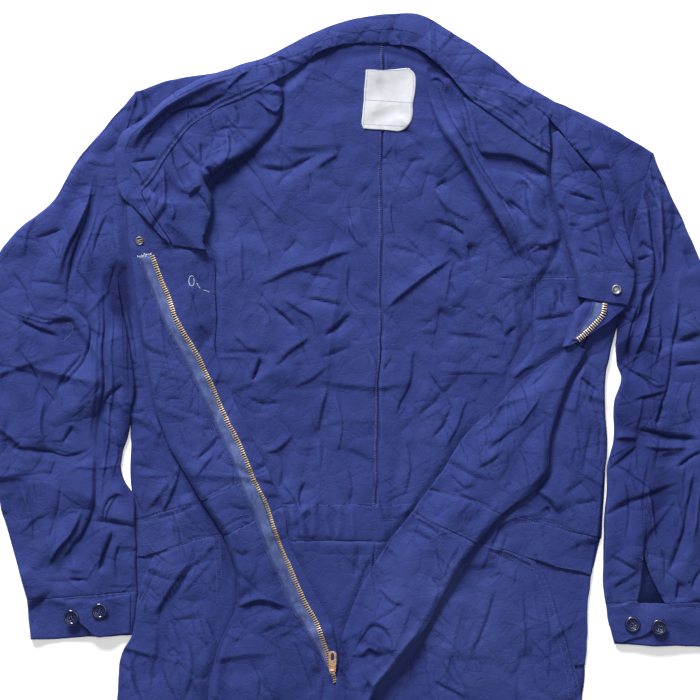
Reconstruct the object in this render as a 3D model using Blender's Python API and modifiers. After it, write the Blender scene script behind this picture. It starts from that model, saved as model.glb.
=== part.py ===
"""Boiler suit laid on its back on a floor, unzipped, with both fronts folded open.

Metres, +Z up. The origin is on the floor under the middle of the back waistband,
+Y runs to the collar. Right and left are the wearer's, so the left side is at +X.
Every table below is in millimetres: x, y are plan positions and z is the height
of the middle of the cloth's wall.
"""

import math
from typing import NamedTuple

import bmesh
import bpy
from mathutils import Matrix, Vector

MM = 0.001
CLOTH = 1.2  # thickness of the cloth's wall
SEAM = 0.5  # space between two pieces at a seam
ROLL_GAP = 1.0  # from the collar's roll line to each of its two pieces
FLOOR_Z = CLOTH / 2  # cloth that lies on the floor
REST_GAP = 0.3  # between a piece and what it lies on
REST_Z = FLOOR_Z + CLOTH + REST_GAP  # an edge that rests on the back panel
PLY = 4.0  # height from one folded layer to the next
LAYERS = (FLOOR_Z + PLY, FLOOR_Z + 2 * PLY, FLOOR_Z + 3 * PLY)
FREE_Z = 3.2  # a free front edge that has sunk onto the back
POCKET_MOUTH_Z = 4.0
TURN_STEPS = 4  # cells round a fold
TURN_REACH = PLY / 2  # how far a fold bulges past the ends of its layers
TURN_LENGTH = 6.0  # the same cloth laid flat
INNER_RUN = (0.0, 0.35, 0.7, 1.0)  # where each layer's points lie along it
FIRST_RUN = (0.0, 0.1, 0.35, 0.65, 1.0)
MIDDLE_RUN = (0.0, 0.35, 0.7, 1.0)
LAST_RUN = 7  # cells along the top layer
UNDER_RUN = tuple(i / 8 for i in range(9))
UPPER_RUN = (0.0, 0.14, 0.28, 0.42, 0.57, 0.72, 0.86, 1.0)
SLIT_COLUMN = 4  # the cell of the upper run that the placket opens
CURL_ANGLES = (0, 30, 60, 90)
TAPE_WIDTH = 18.0
TAPE_WALL = 0.8
TAPE_GAP = 0.8
WAIST_TOP = 34.0
BAND = 44.0  # height of the waistband
GATHERS = 20  # along the elastic of the back waistband
GATHERED = (-170.0, 110.0)  # where they show
BUTTON_RADIUS = 9.5
BUTTON_HEIGHT = 2.8
LABEL_WALL = 0.8
CUFF_TOP = FLOOR_Z + PLY + CLOTH / 2

NAVY = (0.052, 0.075, 0.26, 1.0)
TAPE_BLUE = (0.13, 0.20, 0.42, 1.0)
BRASS = (0.55, 0.36, 0.17, 1.0)
STEEL = (0.5, 0.5, 0.5, 1.0)
BUTTON_NAVY = (0.02, 0.03, 0.12, 1.0)
LABEL_WHITE = (0.78, 0.78, 0.76, 1.0)


class FoldRow(NamedTuple):
    """One section across a front panel, from its side seam to its zip edge."""

    name: str
    side: tuple
    hidden: tuple  # where the cloth first turns back, out of sight
    fold: tuple | None = None  # the fold that shows
    edge: tuple | None = None  # the free edge beside the zip
    side_z: float = REST_Z
    first_z: float = LAYERS[0]
    edge_z: float = FREE_Z
    underlap: float = 0.0  # cloth past the zip's teeth
    inner: tuple | None = None  # side seam, where the panel starts inside up on the floor
    crown: float = 0.0  # rise in +y of the middle of the first layer
    flat: bool = False  # the folds have run out


class TubeRow(NamedTuple):
    """One ring of a flattened sleeve."""

    inner: tuple
    outer: tuple
    bow: float = 0.0  # in x, at the middle of the ring
    slit: tuple | None = None  # the two edges of the placket in the upper wall


class CollarRow(NamedTuple):
    """One section across the collar, from the neck seam to the leaf's edge."""

    neck: tuple | None  # x, y, z
    roll: tuple
    edge: tuple


class TabRow(NamedTuple):
    """One section across a cuff's pointed end."""

    x: float
    upper: float
    lower: float
    z: float


class BackRow(NamedTuple):
    """Places along one row of a back half; a None side follows the armhole or stops."""

    y: float
    centre: float
    side: float | None
    seam: float = 0.0  # the left side seam


class SeatRow(NamedTuple):
    y: float
    inner: float
    right: float
    left: float


class PocketRow(NamedTuple):
    outer: tuple
    inner: tuple


class SpanRow(NamedTuple):
    """One section across a turned-back panel: its rolled side, its far side."""

    roll: tuple
    far: tuple
    z: float
    curled: bool = True
    low: float = REST_Z + 0.2  # where the rolled side ends
    underlap: float = 0.0


def lerp(a, b, t):
    return a + (b - a) * t


def mix(p, q, t):
    return tuple(lerp(a, b, t) for a, b in zip(p, q))


def smooth(t):
    t = min(max(t, 0.0), 1.0)
    return t * t * (3 - 2 * t)


def bowed(low, high, bow, t):
    """Point at t along a line whose middle is pushed by bow in x."""
    x, y = mix(low, high, t)
    return (x + bow * 4 * t * (1 - t), y)


RIGHT_ARMHOLE = ((-305.0, 226.0), (-293.0, 532.0), -20.0)
LEFT_ARMHOLE = ((282.0, 226.0), (326.0, 456.0), -7.0)


def armhole(side, y, offset=0.0):
    """The armhole seam at height y, moved by offset in x."""
    low, high, bow = side
    t = (y - low[1]) / (high[1] - low[1])
    x, _ = bowed(low, high, bow, t)
    return (x + offset, y)


def right_arm(y):
    return armhole(RIGHT_ARMHOLE, y, SEAM)


def left_arm(y):
    return armhole(LEFT_ARMHOLE, y, -SEAM)


FRONT_RIGHT = (
    FoldRow("shoulder", right_arm(530), (-158, 553), first_z=REST_Z, crown=7),
    FoldRow("yoke", right_arm(497), (-138, 515), first_z=3.0, crown=5),
    FoldRow("upper armhole", right_arm(450), (-180, 462), crown=2),
    FoldRow("collar end", right_arm(404), (-245, 400), (-307, 404), (-214, 385), underlap=72),
    FoldRow("below collar", right_arm(368), (-242, 366), (-306, 368), (-214, 360)),
    FoldRow("zip top", right_arm(332), (-240, 332), (-303, 332), (-203, 330), underlap=70),
    FoldRow("chest", right_arm(288), (-238, 288), (-297, 289), (-200, 284), underlap=56),
    FoldRow("under chest", right_arm(257), (-237, 256), (-293, 257), (-199, 252), underlap=45),
    FoldRow("underarm", (-303.5, 226), (-236, 222), (-287, 226), (-200, 220), underlap=25),
    FoldRow("armpit", (-301, 193), (-230, 190), (-281, 193), (-188, 188), underlap=20),
    FoldRow("ribs", (-299.5, 160), (-223, 157), (-274, 160), (-175, 157), underlap=19),
    FoldRow("midriff", (-300, 100), (-202, 102), (-248, 97), (-146, 100), underlap=20),
    FoldRow("waist top", (-298, 16), (-173, 50), (-214, 38), (-137, 78), underlap=20),
)
WAIST_RIGHT = (
    FRONT_RIGHT[-1],
    FoldRow("waist bottom", (-296.5, -30), (-156, 11), (-190, 0), (-118, 31), underlap=18),
)
TROUSER_RIGHT = (
    FoldRow("waist bottom", (-271, -22.6), (-156, 11), (-190, 0), (-118, 31),
            side_z=POCKET_MOUTH_Z, underlap=18),
    FoldRow("pocket mouth", (-286, -56), (-144, -28), (-173, -50), (-103, -28),
            side_z=POCKET_MOUTH_Z, underlap=11),
    FoldRow("pocket end", (-296, -88), (-139, -66), (-173, -84), (-86, -59),
            side_z=POCKET_MOUTH_Z, underlap=14),
    FoldRow("cuff end", (-300.5, -123.5), (-148, -98), (-183, -108), (-75, -80),
            side_z=3.6, underlap=16),
    FoldRow("hip", (-311, -138), (-158, -122), (-194, -132), (-64, -102), underlap=16),
    FoldRow("slider", (-316, -167), (-170, -162), (-202, -162), (-54, -134), underlap=14),
    FoldRow("seat", (-317, -200), (-185, -200), (-206, -200), (-48, -176), underlap=8),
    FoldRow("fly end", (-319, -242), (-198, -246), (-206, -246), (-46, -227), underlap=6),
    FoldRow("crotch", (-324, -314), (-218, -314), (-194, -314), (-44, -314), flat=True),
    FoldRow("knee", (-335, -650), (-235, -650), (-200, -650), (-85, -650),
            edge_z=REST_Z, flat=True),
    FoldRow("hem", (-350, -1090), (-255, -1090), (-220, -1090), (-125, -1090),
            edge_z=REST_Z, flat=True),
)
FRONT_LEFT = (
    FoldRow("shoulder", left_arm(454), (203, 521), first_z=REST_Z, crown=2),
    FoldRow("yoke", left_arm(416), (216, 474), first_z=4.0),
    FoldRow("upper armhole", left_arm(380), (221, 421)),
    FoldRow("lapel", left_arm(345), (229, 366)),
    FoldRow("pocket top", left_arm(307), (242, 318), inner=(142, 307)),
    FoldRow("snap", left_arm(262), (252, 262), inner=(143, 262)),
    FoldRow("underarm", (275, 220), (232, 210), (244, 220), (228, 228), edge_z=LAYERS[2],
            inner=(146, 226)),
    FoldRow("chest", (269, 184), (205, 179), (223, 182), (166, 182), inner=(154, 182)),
    FoldRow("ribs", (269, 150), (178, 145), (211, 150), (133, 150), inner=(165, 150)),
    FoldRow("midriff", (270.5, 112), (148, 112), (202, 112), (97, 112), inner=(184, 112)),
    FoldRow("gathers", (269, 74), (130, 71), (197, 74), (72, 74), inner=(212, 74)),
    FoldRow("waist top", (259, -5), (100, 37), (144, 23), (55, 52)),
)
WAIST_LEFT = (
    FRONT_LEFT[-1],
    FoldRow("waist bottom", (252, -50), (79, 0), (115, -12), (36, 25)),
)
TROUSER_LEFT = (
    FoldRow("waist bottom", (184, -30.8), (79, 0), (115, -12), (36, 25),
            side_z=POCKET_MOUTH_Z),
    FoldRow("pocket mouth", (197, -56), (52, -42), (88, -47), (-2, -26),
            side_z=POCKET_MOUTH_Z),
    FoldRow("pocket middle", (209, -92), (31, -80), (67, -83), (-29, -74),
            side_z=POCKET_MOUTH_Z),
    FoldRow("pocket end", (222, -128), (13, -116), (46, -120), (-46, -119),
            side_z=POCKET_MOUTH_Z, edge_z=5.0),
    FoldRow("slider", (234, -167), (-6, -155), (19, -152), (-50, -152), side_z=3.6, edge_z=7.5),
    FoldRow("seat", (241, -200), (-26, -188), (-8, -186), (-57, -188), edge_z=8.5),
    FoldRow("fly end", (241, -242), (-32, -242), (-24, -242), (-52, -227), edge_z=7.5),
    FoldRow("crotch", (247, -314), (0, -314), (-14, -314), (-46, -314), edge_z=6.5, flat=True),
    FoldRow("knee", (250, -650), (130, -650), (100, -650), (0, -650), edge_z=REST_Z, flat=True),
    FoldRow("hem", (265, -1090), (150, -1090), (120, -1090), (40, -1090),
            edge_z=REST_Z, flat=True),
)

SLEEVE_RIGHT = (
    TubeRow(armhole(RIGHT_ARMHOLE, 226, -SEAM), armhole(RIGHT_ARMHOLE, 532, -SEAM), -20.3),
    TubeRow((-304.5, 193), (-332, 485), -14),
    TubeRow((-303.5, 166), (-368, 442), -8),
    TubeRow((-305, 142), (-392, 401), -4),
    TubeRow((-307, 115), (-432, 366)),
    TubeRow((-310, 94), (-458, 336)),
    TubeRow((-308, 64), (-478, 292)),
    TubeRow((-303, 40), (-485, 220)),
    TubeRow((-301.5, 16), (-480, 136)),
    TubeRow((-300.5, -14), (-458, 40)),
    TubeRow((-300, -50), (-438, -35)),
    TubeRow((-299.5, -71), (-426, -80)),
)
SLEEVE_LEFT = (
    TubeRow(armhole(LEFT_ARMHOLE, 226, SEAM), armhole(LEFT_ARMHOLE, 456, SEAM), -7),
    TubeRow((281.5, 212), (343, 412), -4),
    TubeRow((283, 200), (361, 373), -2),
    TubeRow((288, 188), (382, 325)),
    TubeRow((281, 160), (400, 280)),
    TubeRow((278, 112), (418, 220)),
    TubeRow((272.5, 88), (431, 160)),
    TubeRow((270.5, 52), (433, 100)),
    TubeRow((267, 16), (427, 40)),
    TubeRow((266, -26), (415, -20), slit=((313.5, -26), (314.5, -26))),
    TubeRow((266, -56), (407, -52), slit=((311, -55), (324, -55))),
    TubeRow((270, -84.5), (401, -82.5), slit=((306, -83.9), (339, -83.4))),
)
CUFF_RIGHT = (
    TubeRow((-299.5, -71.7), (-426, -80.7)),
    TubeRow((-301, -96), (-424, -104)),
    TubeRow((-302, -121), (-421, -128)),
)
CUFF_LEFT = (
    TubeRow((270, -85.2), (401, -83.2)),
    TubeRow((272, -100), (403, -106)),
    TubeRow((280, -132), (406, -138)),
)
TAB_RIGHT = (
    TabRow(-301.5, -73.5, -119.5, 6.4),
    TabRow(-316, -75, -121, 6.8),
    TabRow(-325, -77, -121.5, 9.4),
    TabRow(-345, -80.5, -122, 9.4),
    TabRow(-353, -85.5, -114.5, 9.4),
    TabRow(-361, -91, -107, 9.4),
    TabRow(-368, -98.5, -101.5, 9.4),
)
TAB_LEFT = (
    TabRow(273, -87, -110, 6.4),
    TabRow(282, -85.5, -130, 6.5),
    TabRow(306, -82, -125, 6.7),
    TabRow(313, -86.5, -122.5, 7.6),
    TabRow(319, -90.5, -117.5, 9.3),
    TabRow(327, -94, -110.5, 9.4),
    TabRow(336, -99, -102, 9.4),
)

COLLAR = (
    CollarRow((-252, 344, 14.4), (-258, 350, 15.0), (-264, 355, 14.6)),
    CollarRow((-259, 356, 14.4), (-269, 365, 15.6), (-277, 371, 14.6)),
    CollarRow((-271, 376, 14.4), (-283, 390, 16.2), (-293, 388, 14.6)),
    CollarRow((-281, 394, 14.4), (-295, 413, 16.4), (-312, 406, 14.0)),
    CollarRow((-287, 410, 14.4), (-302, 436, 16.4), (-318, 430, 10.0)),
    CollarRow((-278, 426, 14.4), (-305, 457, 16.2), (-318, 457, 9.0)),
    CollarRow((-264, 449, 13.5), (-299, 472, 15.6), (-311, 476, 8.5)),
    CollarRow((-250, 469, 12.5), (-281, 491, 14.6), (-285, 496, 8.0)),
    CollarRow((-232, 492, 11.0), (-259, 511, 13.0), (-263, 516, 7.0)),
    CollarRow((-204, 510, 9.5), (-222, 534, 11.5), (-225, 540, 6.5)),
    CollarRow((-170, 523, 7.8), (-176, 551, 9.5), (-174, 560, 3.8)),
    CollarRow((-132, 542, 6.2), (-140, 559, 7.5), (-144, 571, 0.6)),
    CollarRow((-98, 563, 3.4), (-98, 574, 5.5), (-110, 588, 0.6)),
    CollarRow((-68, 580, 2.4), (-72, 589, 4.6), (-77, 602, 0.6)),
    CollarRow((-36, 588, 0.6), (-38, 599, 4.0), (-38, 616, 0.6)),
    CollarRow((4, 590, 0.6), (4, 605, 4.0), (7, 624, 0.6)),
    CollarRow((40, 584, 0.6), (43, 599, 4.2), (50, 622, 0.6)),
    CollarRow((67, 565, 2.6), (74, 577, 4.8), (84, 601, 0.6)),
    CollarRow((88, 544, 3.2), (96, 553, 5.4), (118, 580, 0.6)),
    CollarRow((106, 524, 4.4), (118, 534, 6.4), (142, 562, 0.6)),
    CollarRow((142, 498, 6.6), (151, 523, 8.0), (166, 542, 1.2)),
    CollarRow((181, 472, 7.4), (184, 512, 8.6), (187, 522, 4.0)),
    CollarRow((200, 460, 7.8), (200, 494, 8.6), (217, 494, 5.8)),
    CollarRow(None, (224, 468, 8.2), (248, 482, 6.4)),
    CollarRow(None, (245, 444, 8.2), (262, 454, 6.8)),
    CollarRow(None, (263, 420, 8.6), (276, 424, 7.6)),
    CollarRow(None, (266, 400, 9.8), (287, 394, 9.0)),
    CollarRow(None, (269, 373, 9.9), (290, 368, 9.9)),
)
FACING_RIGHT = (
    SpanRow((-119, 532), (-133, 540), 6.2),
    SpanRow((-118, 517), (-171, 521), 7.8),
    SpanRow((-121, 498), (-205, 507.5), 9.5),
    SpanRow((-139, 475), (-232, 489), 11.0),
    SpanRow((-167, 451), (-249, 467), 12.5),
    SpanRow((-191, 437), (-262, 447.5), 13.5),
    SpanRow((-209, 420), (-275, 425.5), 14.4),
    SpanRow((-203, 404), (-285, 410), 14.4),
    SpanRow((-203, 382), (-279.5, 394), 14.4),
    SpanRow((-211, 361), (-269, 375.5), 14.4, low=6.8),
    SpanRow((-214, 350), (-257, 356), 14.4, low=8.6),
    SpanRow((-211, 340), (-249.5, 343.5), 14.4, low=8.2),
)
FACING_LEFT = (
    SpanRow((203, 478), (210.5, 481), 8.0),
    SpanRow((203.5, 460), (227, 461), 8.0),
    SpanRow((204, 442), (242.5, 442), 8.0),
    SpanRow((205, 418), (260.5, 418), 8.0),
    SpanRow((209, 394), (264, 400), 8.0),
    SpanRow((215, 372), (281, 373), 8.0),
    SpanRow((222, 346), (296, 348), 8.6),
    SpanRow((228, 325), (302, 325), 9.8),
    SpanRow((234, 297), (301, 295), 12.4),
    SpanRow((236, 284), (294, 272), 13.6),
)
FLY_FLAP = (
    SpanRow((230, 345), (293, 345), 7.0, curled=False),
    SpanRow((236, 325), (300, 325), 8.0, curled=False),
    SpanRow((242, 296), (299, 294), 10.6, curled=False),
    SpanRow((244, 282.5), (293, 272), 11.8, curled=False, underlap=28),
    SpanRow((230, 265), (281, 262), 13.4, underlap=18),
    SpanRow((223, 246), (259, 245), 14.4, underlap=11),
    SpanRow((218, 232), (238, 233), 14.8, underlap=5),
    SpanRow((215, 224), (222, 225), 14.8),
)
BACK_RIGHT = (
    BackRow(WAIST_TOP, -7, -299),
    BackRow(100, -6, -301),
    BackRow(160, -5, -300.5),
    BackRow(226, -3, None),
    BackRow(257, -2, None),
    BackRow(288, -1, None),
    BackRow(328, 0, None),
    BackRow(368, 0, None),
    BackRow(404, 0.5, None),
    BackRow(450, 1, None),
)
BACK_LEFT = (
    BackRow(WAIST_TOP, -7, 262, seam=232),
    BackRow(73.5, -6.5, 267.5, seam=212),
    BackRow(112, -6, None, seam=184),
    BackRow(150, -5, None, seam=165),
    BackRow(182, -4.5, None, seam=154),
    BackRow(226, -3, None, seam=146),
    BackRow(262, -2, None, seam=143),
    BackRow(307.5, -0.5, 291, seam=142),
    BackRow(330, 0, 295, seam=142),
    BackRow(350, 0, 299, seam=142),
    BackRow(370, 0, 303, seam=142),
    BackRow(390, 0.5, 307.5, seam=142),
    BackRow(410, 0.5, 312.5, seam=142),
    BackRow(430, 1, 318, seam=142),
    BackRow(445, 1, 322.5, seam=142),
)
# x, y of the top edge, from the neck's middle to the armhole
NECK_RIGHT = ((1, 589.5), (-36, 587.4), (-66, 578), (-98, 561), (-130, 552),
              (-163, 556), (-212, 551.5), (-266, 541), (-293, 531))
NECK_LEFT = ((1, 589.5), (40, 583), (62, 566), (84, 546), (112, 526), (150, 518),
             (190, 519), (244, 500.5), (292, 477), (325, 455))
# x, y along the back's waist seam
WAIST_LINE = ((-300, 16), (-240, 20), (-180, 28), (-110, 34), (-7, 34), (60, 34), (130, 29),
              (202, 16), (262, -5))
SEAT = (
    SeatRow(-60, -11, -296, 250),
    SeatRow(-90, -12, -296, 247),
    SeatRow(-123.5, -14, -300.5, 248),
    SeatRow(-138, -16, -311, 246),
    SeatRow(-167, -20, -316, 244),
    SeatRow(-200, -26, -317, 241),
    SeatRow(-242, -34, -319, 241),
    SeatRow(-314, -45, -324, 247),
)
# y, x at the inner edge, x at the outer edge
LEGS = {"right": ((-650, -85, -335), (-1090, -125, -350)),
        "left": ((-650, 0, 250), (-1090, 40, 265))}
POCKET_RIGHT = (
    PocketRow((-296, -31), (-250, -17.5)),
    PocketRow((-296, -60), (-262, -60)),
    PocketRow((-296, -88), (-272, -88)),
    PocketRow((-297, -100), (-280, -100)),
)
POCKET_LEFT = (
    PocketRow((252, -51), (165, -26)),
    PocketRow((248, -92), (188, -92)),
    PocketRow((248, -128), (202, -128)),
    PocketRow((245, -158), (216, -158)),
)
# start x, y, end x, y, height, half width: the roll of slack cloth in the left back
ROLL = (66, 508, 160, 338, 9.0, 27.0)
LABEL_OUTLINE = ((-19, 556), (32, 558), (38, 552), (40, 538), (35, 492), (29, 486),
                 (19, 482), (-22, 484), (-24, 490))
CUFF_BUTTONS = ((-371, -100, CUFF_TOP), (-337, -92, CUFF_TOP), (300, -108, 7.3),
                (331, -111, CUFF_TOP))
SNAP_SOCKET = (-289, 350, LAYERS[2] + CLOTH / 2)
SNAP_STUD = (280, 292, 13.9)
HINGE = (-59.0, -163.0, 10.5)  # axis of the pull tab on the slider
PULL_LENGTH = 23.0
PULL_WIDTH = 9.5
PULL_WALL = 1.2
PULL_WINDOW = (3.8, 9.0)
BARREL_RADIUS = 1.2
BARREL_LENGTH = 4.8
SLIDER_SIZE = (8.5, 12.0, 2.4)
AXIS_HEIGHT = 1.8  # of the hinge above the slider's body
LUG_SIZE = (1.1, 3.0, 3.4)
LUG_SPACING = 6.6

PARTS = bpy.data.collections.new("boiler_suit")
CUTTERS = bpy.data.collections.new("cutters")


def clear_scene():
    for old in list(bpy.data.objects):
        bpy.data.objects.remove(old, do_unlink=True)
    for collection in (PARTS, CUTTERS):
        bpy.context.scene.collection.children.link(collection)


def make_material(name, color, roughness, metallic=0.0):
    material = bpy.data.materials.new(name)
    material.use_nodes = True
    shader = material.node_tree.nodes["Principled BSDF"]
    shader.inputs["Base Color"].default_value = color
    shader.inputs["Roughness"].default_value = roughness
    shader.inputs["Metallic"].default_value = metallic
    return material


def add_object(name, mesh, color, roughness=0.8, metallic=0.0):
    body = bpy.data.objects.new(name, mesh)
    PARTS.objects.link(body)
    body.data.materials.append(make_material(name, color, roughness, metallic))
    return body


def grid_mesh(name, rows, closed=False):
    """A surface through rows of points in millimetres; a None has no faces round it."""
    mesh = bmesh.new()
    points = [[mesh.verts.new(Vector(p) * MM) if p else None for p in row] for row in rows]
    for row, following in zip(points, points[1:]):
        count = len(row)
        for i in range(count if closed else count - 1):
            j = (i + 1) % count
            corners = (row[i], row[j], following[j], following[i])
            if all(corners):
                mesh.faces.new(corners)
    loose = [v for v in mesh.verts if not v.link_faces]
    bmesh.ops.delete(mesh, geom=loose, context="VERTS")
    data = bpy.data.meshes.new(name)
    mesh.to_mesh(data)
    mesh.free()
    return data


def add_cloth(name, rows, closed=False, wall=CLOTH, color=NAVY):
    """A wall of cloth: an open surface thickened by half its wall to each side."""
    body = add_object(name, grid_mesh(name, rows, closed), color)
    thick = body.modifiers.new("wall", "SOLIDIFY")
    thick.thickness = wall * MM
    thick.offset = 0
    return body


def turn(start, outward, reach, low, high):
    """Points round a fold between two layers, leaving out its first and last.

    A fold with less than its full reach is opened out, to TURN_LENGTH when it is flat.
    """
    opened = TURN_LENGTH * (1 - reach / TURN_REACH)
    points = []
    for step in range(1, TURN_STEPS):
        angle = math.pi * step / TURN_STEPS
        push = reach * math.sin(angle) + opened * step / TURN_STEPS
        x = start[0] + outward[0] * push
        y = start[1] + outward[1] * push
        points.append((x, y, lerp(low, high, (1 - math.cos(angle)) / 2)))
    return points


def inner_run(row):
    """The stretch that lies inside up on the floor, and its turn at the side."""
    end = (row.side[0] - TURN_REACH, row.side[1])
    flat = [(*mix(row.inner, end, t), FLOOR_Z) for t in INNER_RUN]
    return flat + turn(end, (1.0, 0.0), TURN_REACH, FLOOR_Z, LAYERS[0])


def first_run(row, side, hidden):
    """The lowest layer, from the side seam to its turn."""
    low = LAYERS[0] if row.inner else row.side_z
    points = []
    for t in FIRST_RUN:
        x, y = mix(side, hidden, t)
        z = lerp(low, row.first_z, smooth(t / FIRST_RUN[1]))
        points.append((x, y + row.crown * 4 * t * (1 - t), z))
    return points


def last_run(row, start, layer):
    """The top layer: level over the hidden turn, then sinking to its free edge."""
    length = math.dist(row.edge, start)
    level = (Vector(row.hidden) - Vector(start)).dot(fold_axis(row)) + 4.0
    level = min(max(level / length, 0.05), 0.75)
    points = []
    for step in range(LAST_RUN + 1):
        if step < 2:
            t = level * step / 2
        else:
            t = lerp(level, 1.0, (step - 2) / (LAST_RUN - 2))
        z = lerp(layer, row.edge_z, smooth((t - level) / (1 - level)))
        points.append((*mix(start, row.edge, t), z))
    return points


def fold_axis(row):
    """Unit direction in plan from the side seam to the free edge."""
    return (Vector(row.edge) - Vector(row.side)).normalized()


def folded_runs(row):
    """The first turn, the middle layer, the second turn and the top layer."""
    along = fold_axis(row)
    if row.flat:
        after = tuple(Vector(row.hidden) + along * TURN_LENGTH)
        start = tuple(Vector(row.fold) + along * TURN_LENGTH)
        z = row.first_z
        points = turn(row.hidden, along, 0.0, z, z)
        points += [(*mix(after, row.fold, t), z) for t in MIDDLE_RUN]
        points += turn(row.fold, along, 0.0, z, z)
        return points + last_run(row, start, z)
    hidden = tuple(Vector(row.hidden) - along * TURN_REACH)
    fold = tuple(Vector(row.fold) + along * TURN_REACH)
    points = turn(hidden, along, TURN_REACH, LAYERS[0], LAYERS[1])
    points += [(*mix(hidden, fold, t), LAYERS[1]) for t in MIDDLE_RUN]
    points += turn(fold, -along, TURN_REACH, LAYERS[1], LAYERS[2])
    return points + last_run(row, fold, LAYERS[2])


def fold_section(row):
    """Every point of a front panel's section, with None for stretches it lacks."""
    side, hidden = row.side, row.hidden
    before = [None] * (len(INNER_RUN) + TURN_STEPS - 1)
    if row.inner:
        before = inner_run(row)
        side = (row.side[0] - TURN_REACH, row.side[1])
    after = [None] * (len(MIDDLE_RUN) + 2 * (TURN_STEPS - 1) + LAST_RUN + 1)
    if row.fold:
        after = folded_runs(row)
        if not row.flat:
            hidden = tuple(Vector(hidden) - fold_axis(row) * TURN_REACH)
    return before + first_run(row, side, hidden) + after


def moved(row, by):
    """A copy of a row of points, moved by this much in y."""
    return [(p[0], p[1] + by, p[2]) if p else None for p in row]


def add_fronts():
    groups = (
        ("right", FRONT_RIGHT, WAIST_RIGHT, TROUSER_RIGHT),
        ("left", FRONT_LEFT, WAIST_LEFT, TROUSER_LEFT),
    )
    for side, bodice, waist, trouser in groups:
        upper = [fold_section(row) for row in bodice]
        upper[-1] = moved(upper[-1], SEAM / 2)
        add_cloth(f"front_{side}", upper)
        band = [fold_section(row) for row in waist]
        band = [moved(band[0], -SEAM / 2), moved(band[1], SEAM / 2)]
        add_cloth(f"front_waistband_{side}", band)
        lower = [fold_section(row) for row in trouser]
        lower[0] = moved(lower[0], -SEAM / 2)
        add_cloth(f"trouser_front_{side}", lower)


def table_at(points, x):
    """y of a polyline of x, y points at x."""
    ordered = sorted(points)
    for (x0, y0), (x1, y1) in zip(ordered, ordered[1:]):
        if x <= x1:
            return lerp(y0, y1, min(max((x - x0) / (x1 - x0), 0.0), 1.0))
    return ordered[-1][1]


def roll_height(x, y):
    """Height of the roll of slack cloth at a plan point."""
    x0, y0, x1, y1, height, half = ROLL
    line = Vector((x1 - x0, y1 - y0))
    offset = Vector((x - x0, y - y0))
    along = offset.dot(line) / line.length_squared
    across = abs(offset.cross(line)) / line.length
    return height * smooth(min(along, 1 - along) * 5) * smooth(1 - across / half)


def at_waist_corners(xs):
    """These x places, the nearest ones moved onto the corners of the waist line."""
    places = list(xs)
    inside = range(1, len(places) - 1)
    for corner, _ in WAIST_LINE:
        if min(places) < corner < max(places):
            nearest = min(inside, key=lambda i: abs(places[i] - corner))
            places[nearest] = corner
    return places


def back_row(y, xs):
    """A row of the back at these x places; its lowest row follows the waist seam."""
    row = []
    for x in at_waist_corners(xs) if y == WAIST_TOP else xs:
        if x is None:
            row.append(None)
            continue
        level = table_at(WAIST_LINE, x) + SEAM / 2 if y == WAIST_TOP else y
        row.append((x, level, FLOOR_Z + roll_height(x, level)))
    return row


def rows_up_to(bottom, top_line, shares, side):
    """Rows between a straight row and the shoulder line above it."""
    top = [(x, table_at(top_line, x), FLOOR_Z) for x in side]
    rows = []
    for share in shares:
        row = []
        for low, high in zip(bottom, top):
            x, y, _ = mix(low, high, share)
            row.append((x, y, FLOOR_Z + roll_height(x, y)))
        rows.append(row)
    return rows + [top]


def add_back_right():
    steps = (0.0, 0.12, 0.24, 0.38, 0.52, 0.66, 0.8, 0.92, 1.0)
    rows = []
    for row in BACK_RIGHT:
        side = row.side or right_arm(row.y)[0]
        rows.append(back_row(row.y, [lerp(row.centre - SEAM / 2, side, t) for t in steps]))
    top_xs = [lerp(1 - SEAM / 2, NECK_RIGHT[-1][0], t) for t in steps]
    above = rows_up_to(rows[-1], NECK_RIGHT, (0.5,), top_xs)
    above[0][-1] = (*right_arm(above[0][-1][1]), FLOOR_Z)
    add_cloth("back_right", rows + above)


def add_back_left():
    narrow = [i / 12 for i in range(13)]
    wide = [i / 7 for i in range(1, 8)]
    rows = []
    for row in BACK_LEFT:
        xs = [lerp(row.centre + SEAM / 2, row.seam - SEAM, t) for t in narrow]
        if row.side:
            xs += [lerp(row.seam - SEAM, row.side - 2 * SEAM, t) for t in wide]
        else:
            xs += [None] * len(wide)
        rows.append(back_row(row.y, xs))
    top_xs = [lerp(1 + SEAM / 2, 142 - SEAM, t) for t in narrow]
    top_xs += [lerp(142 - SEAM, NECK_LEFT[-1][0] - 2 * SEAM, t) for t in wide]
    add_cloth("back_left", rows + rows_up_to(rows[-1], NECK_LEFT, (0.25, 0.5, 0.75), top_xs))


def add_back_waistband():
    """One band, wavy on top where elastic gathers it, level under its middle."""
    start, end = GATHERED
    stations = [x for x, _ in WAIST_LINE if not start <= x <= end]
    stations = [max(x, -298.5) if x < 0 else min(x, 260.0) for x in stations]
    count = GATHERS * 4
    stations += [lerp(start, end, i / count) for i in range(count + 1)]
    rows = []
    for top in (1.0, 0.5, 0.0):
        row = []
        for x in sorted(stations):
            level = table_at(WAIST_LINE, x) - lerp(BAND, 0.0, top)
            level += SEAM / 2 * (1 - 2 * top)
            share = (x - start) / (end - start)
            fade = smooth(min(share, 1 - share) * 8) * smooth((abs(x + 8) - 20) / 12)
            wave = 0.5 - 0.5 * math.cos(2 * math.pi * share * GATHERS)
            height = 0.9 * fade * wave * (0.75 + 0.25 * math.sin(x * 0.6))
            row.append((x, level, FLOOR_Z + height))
        rows.append(row)
    add_cloth("back_waistband", rows)


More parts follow.
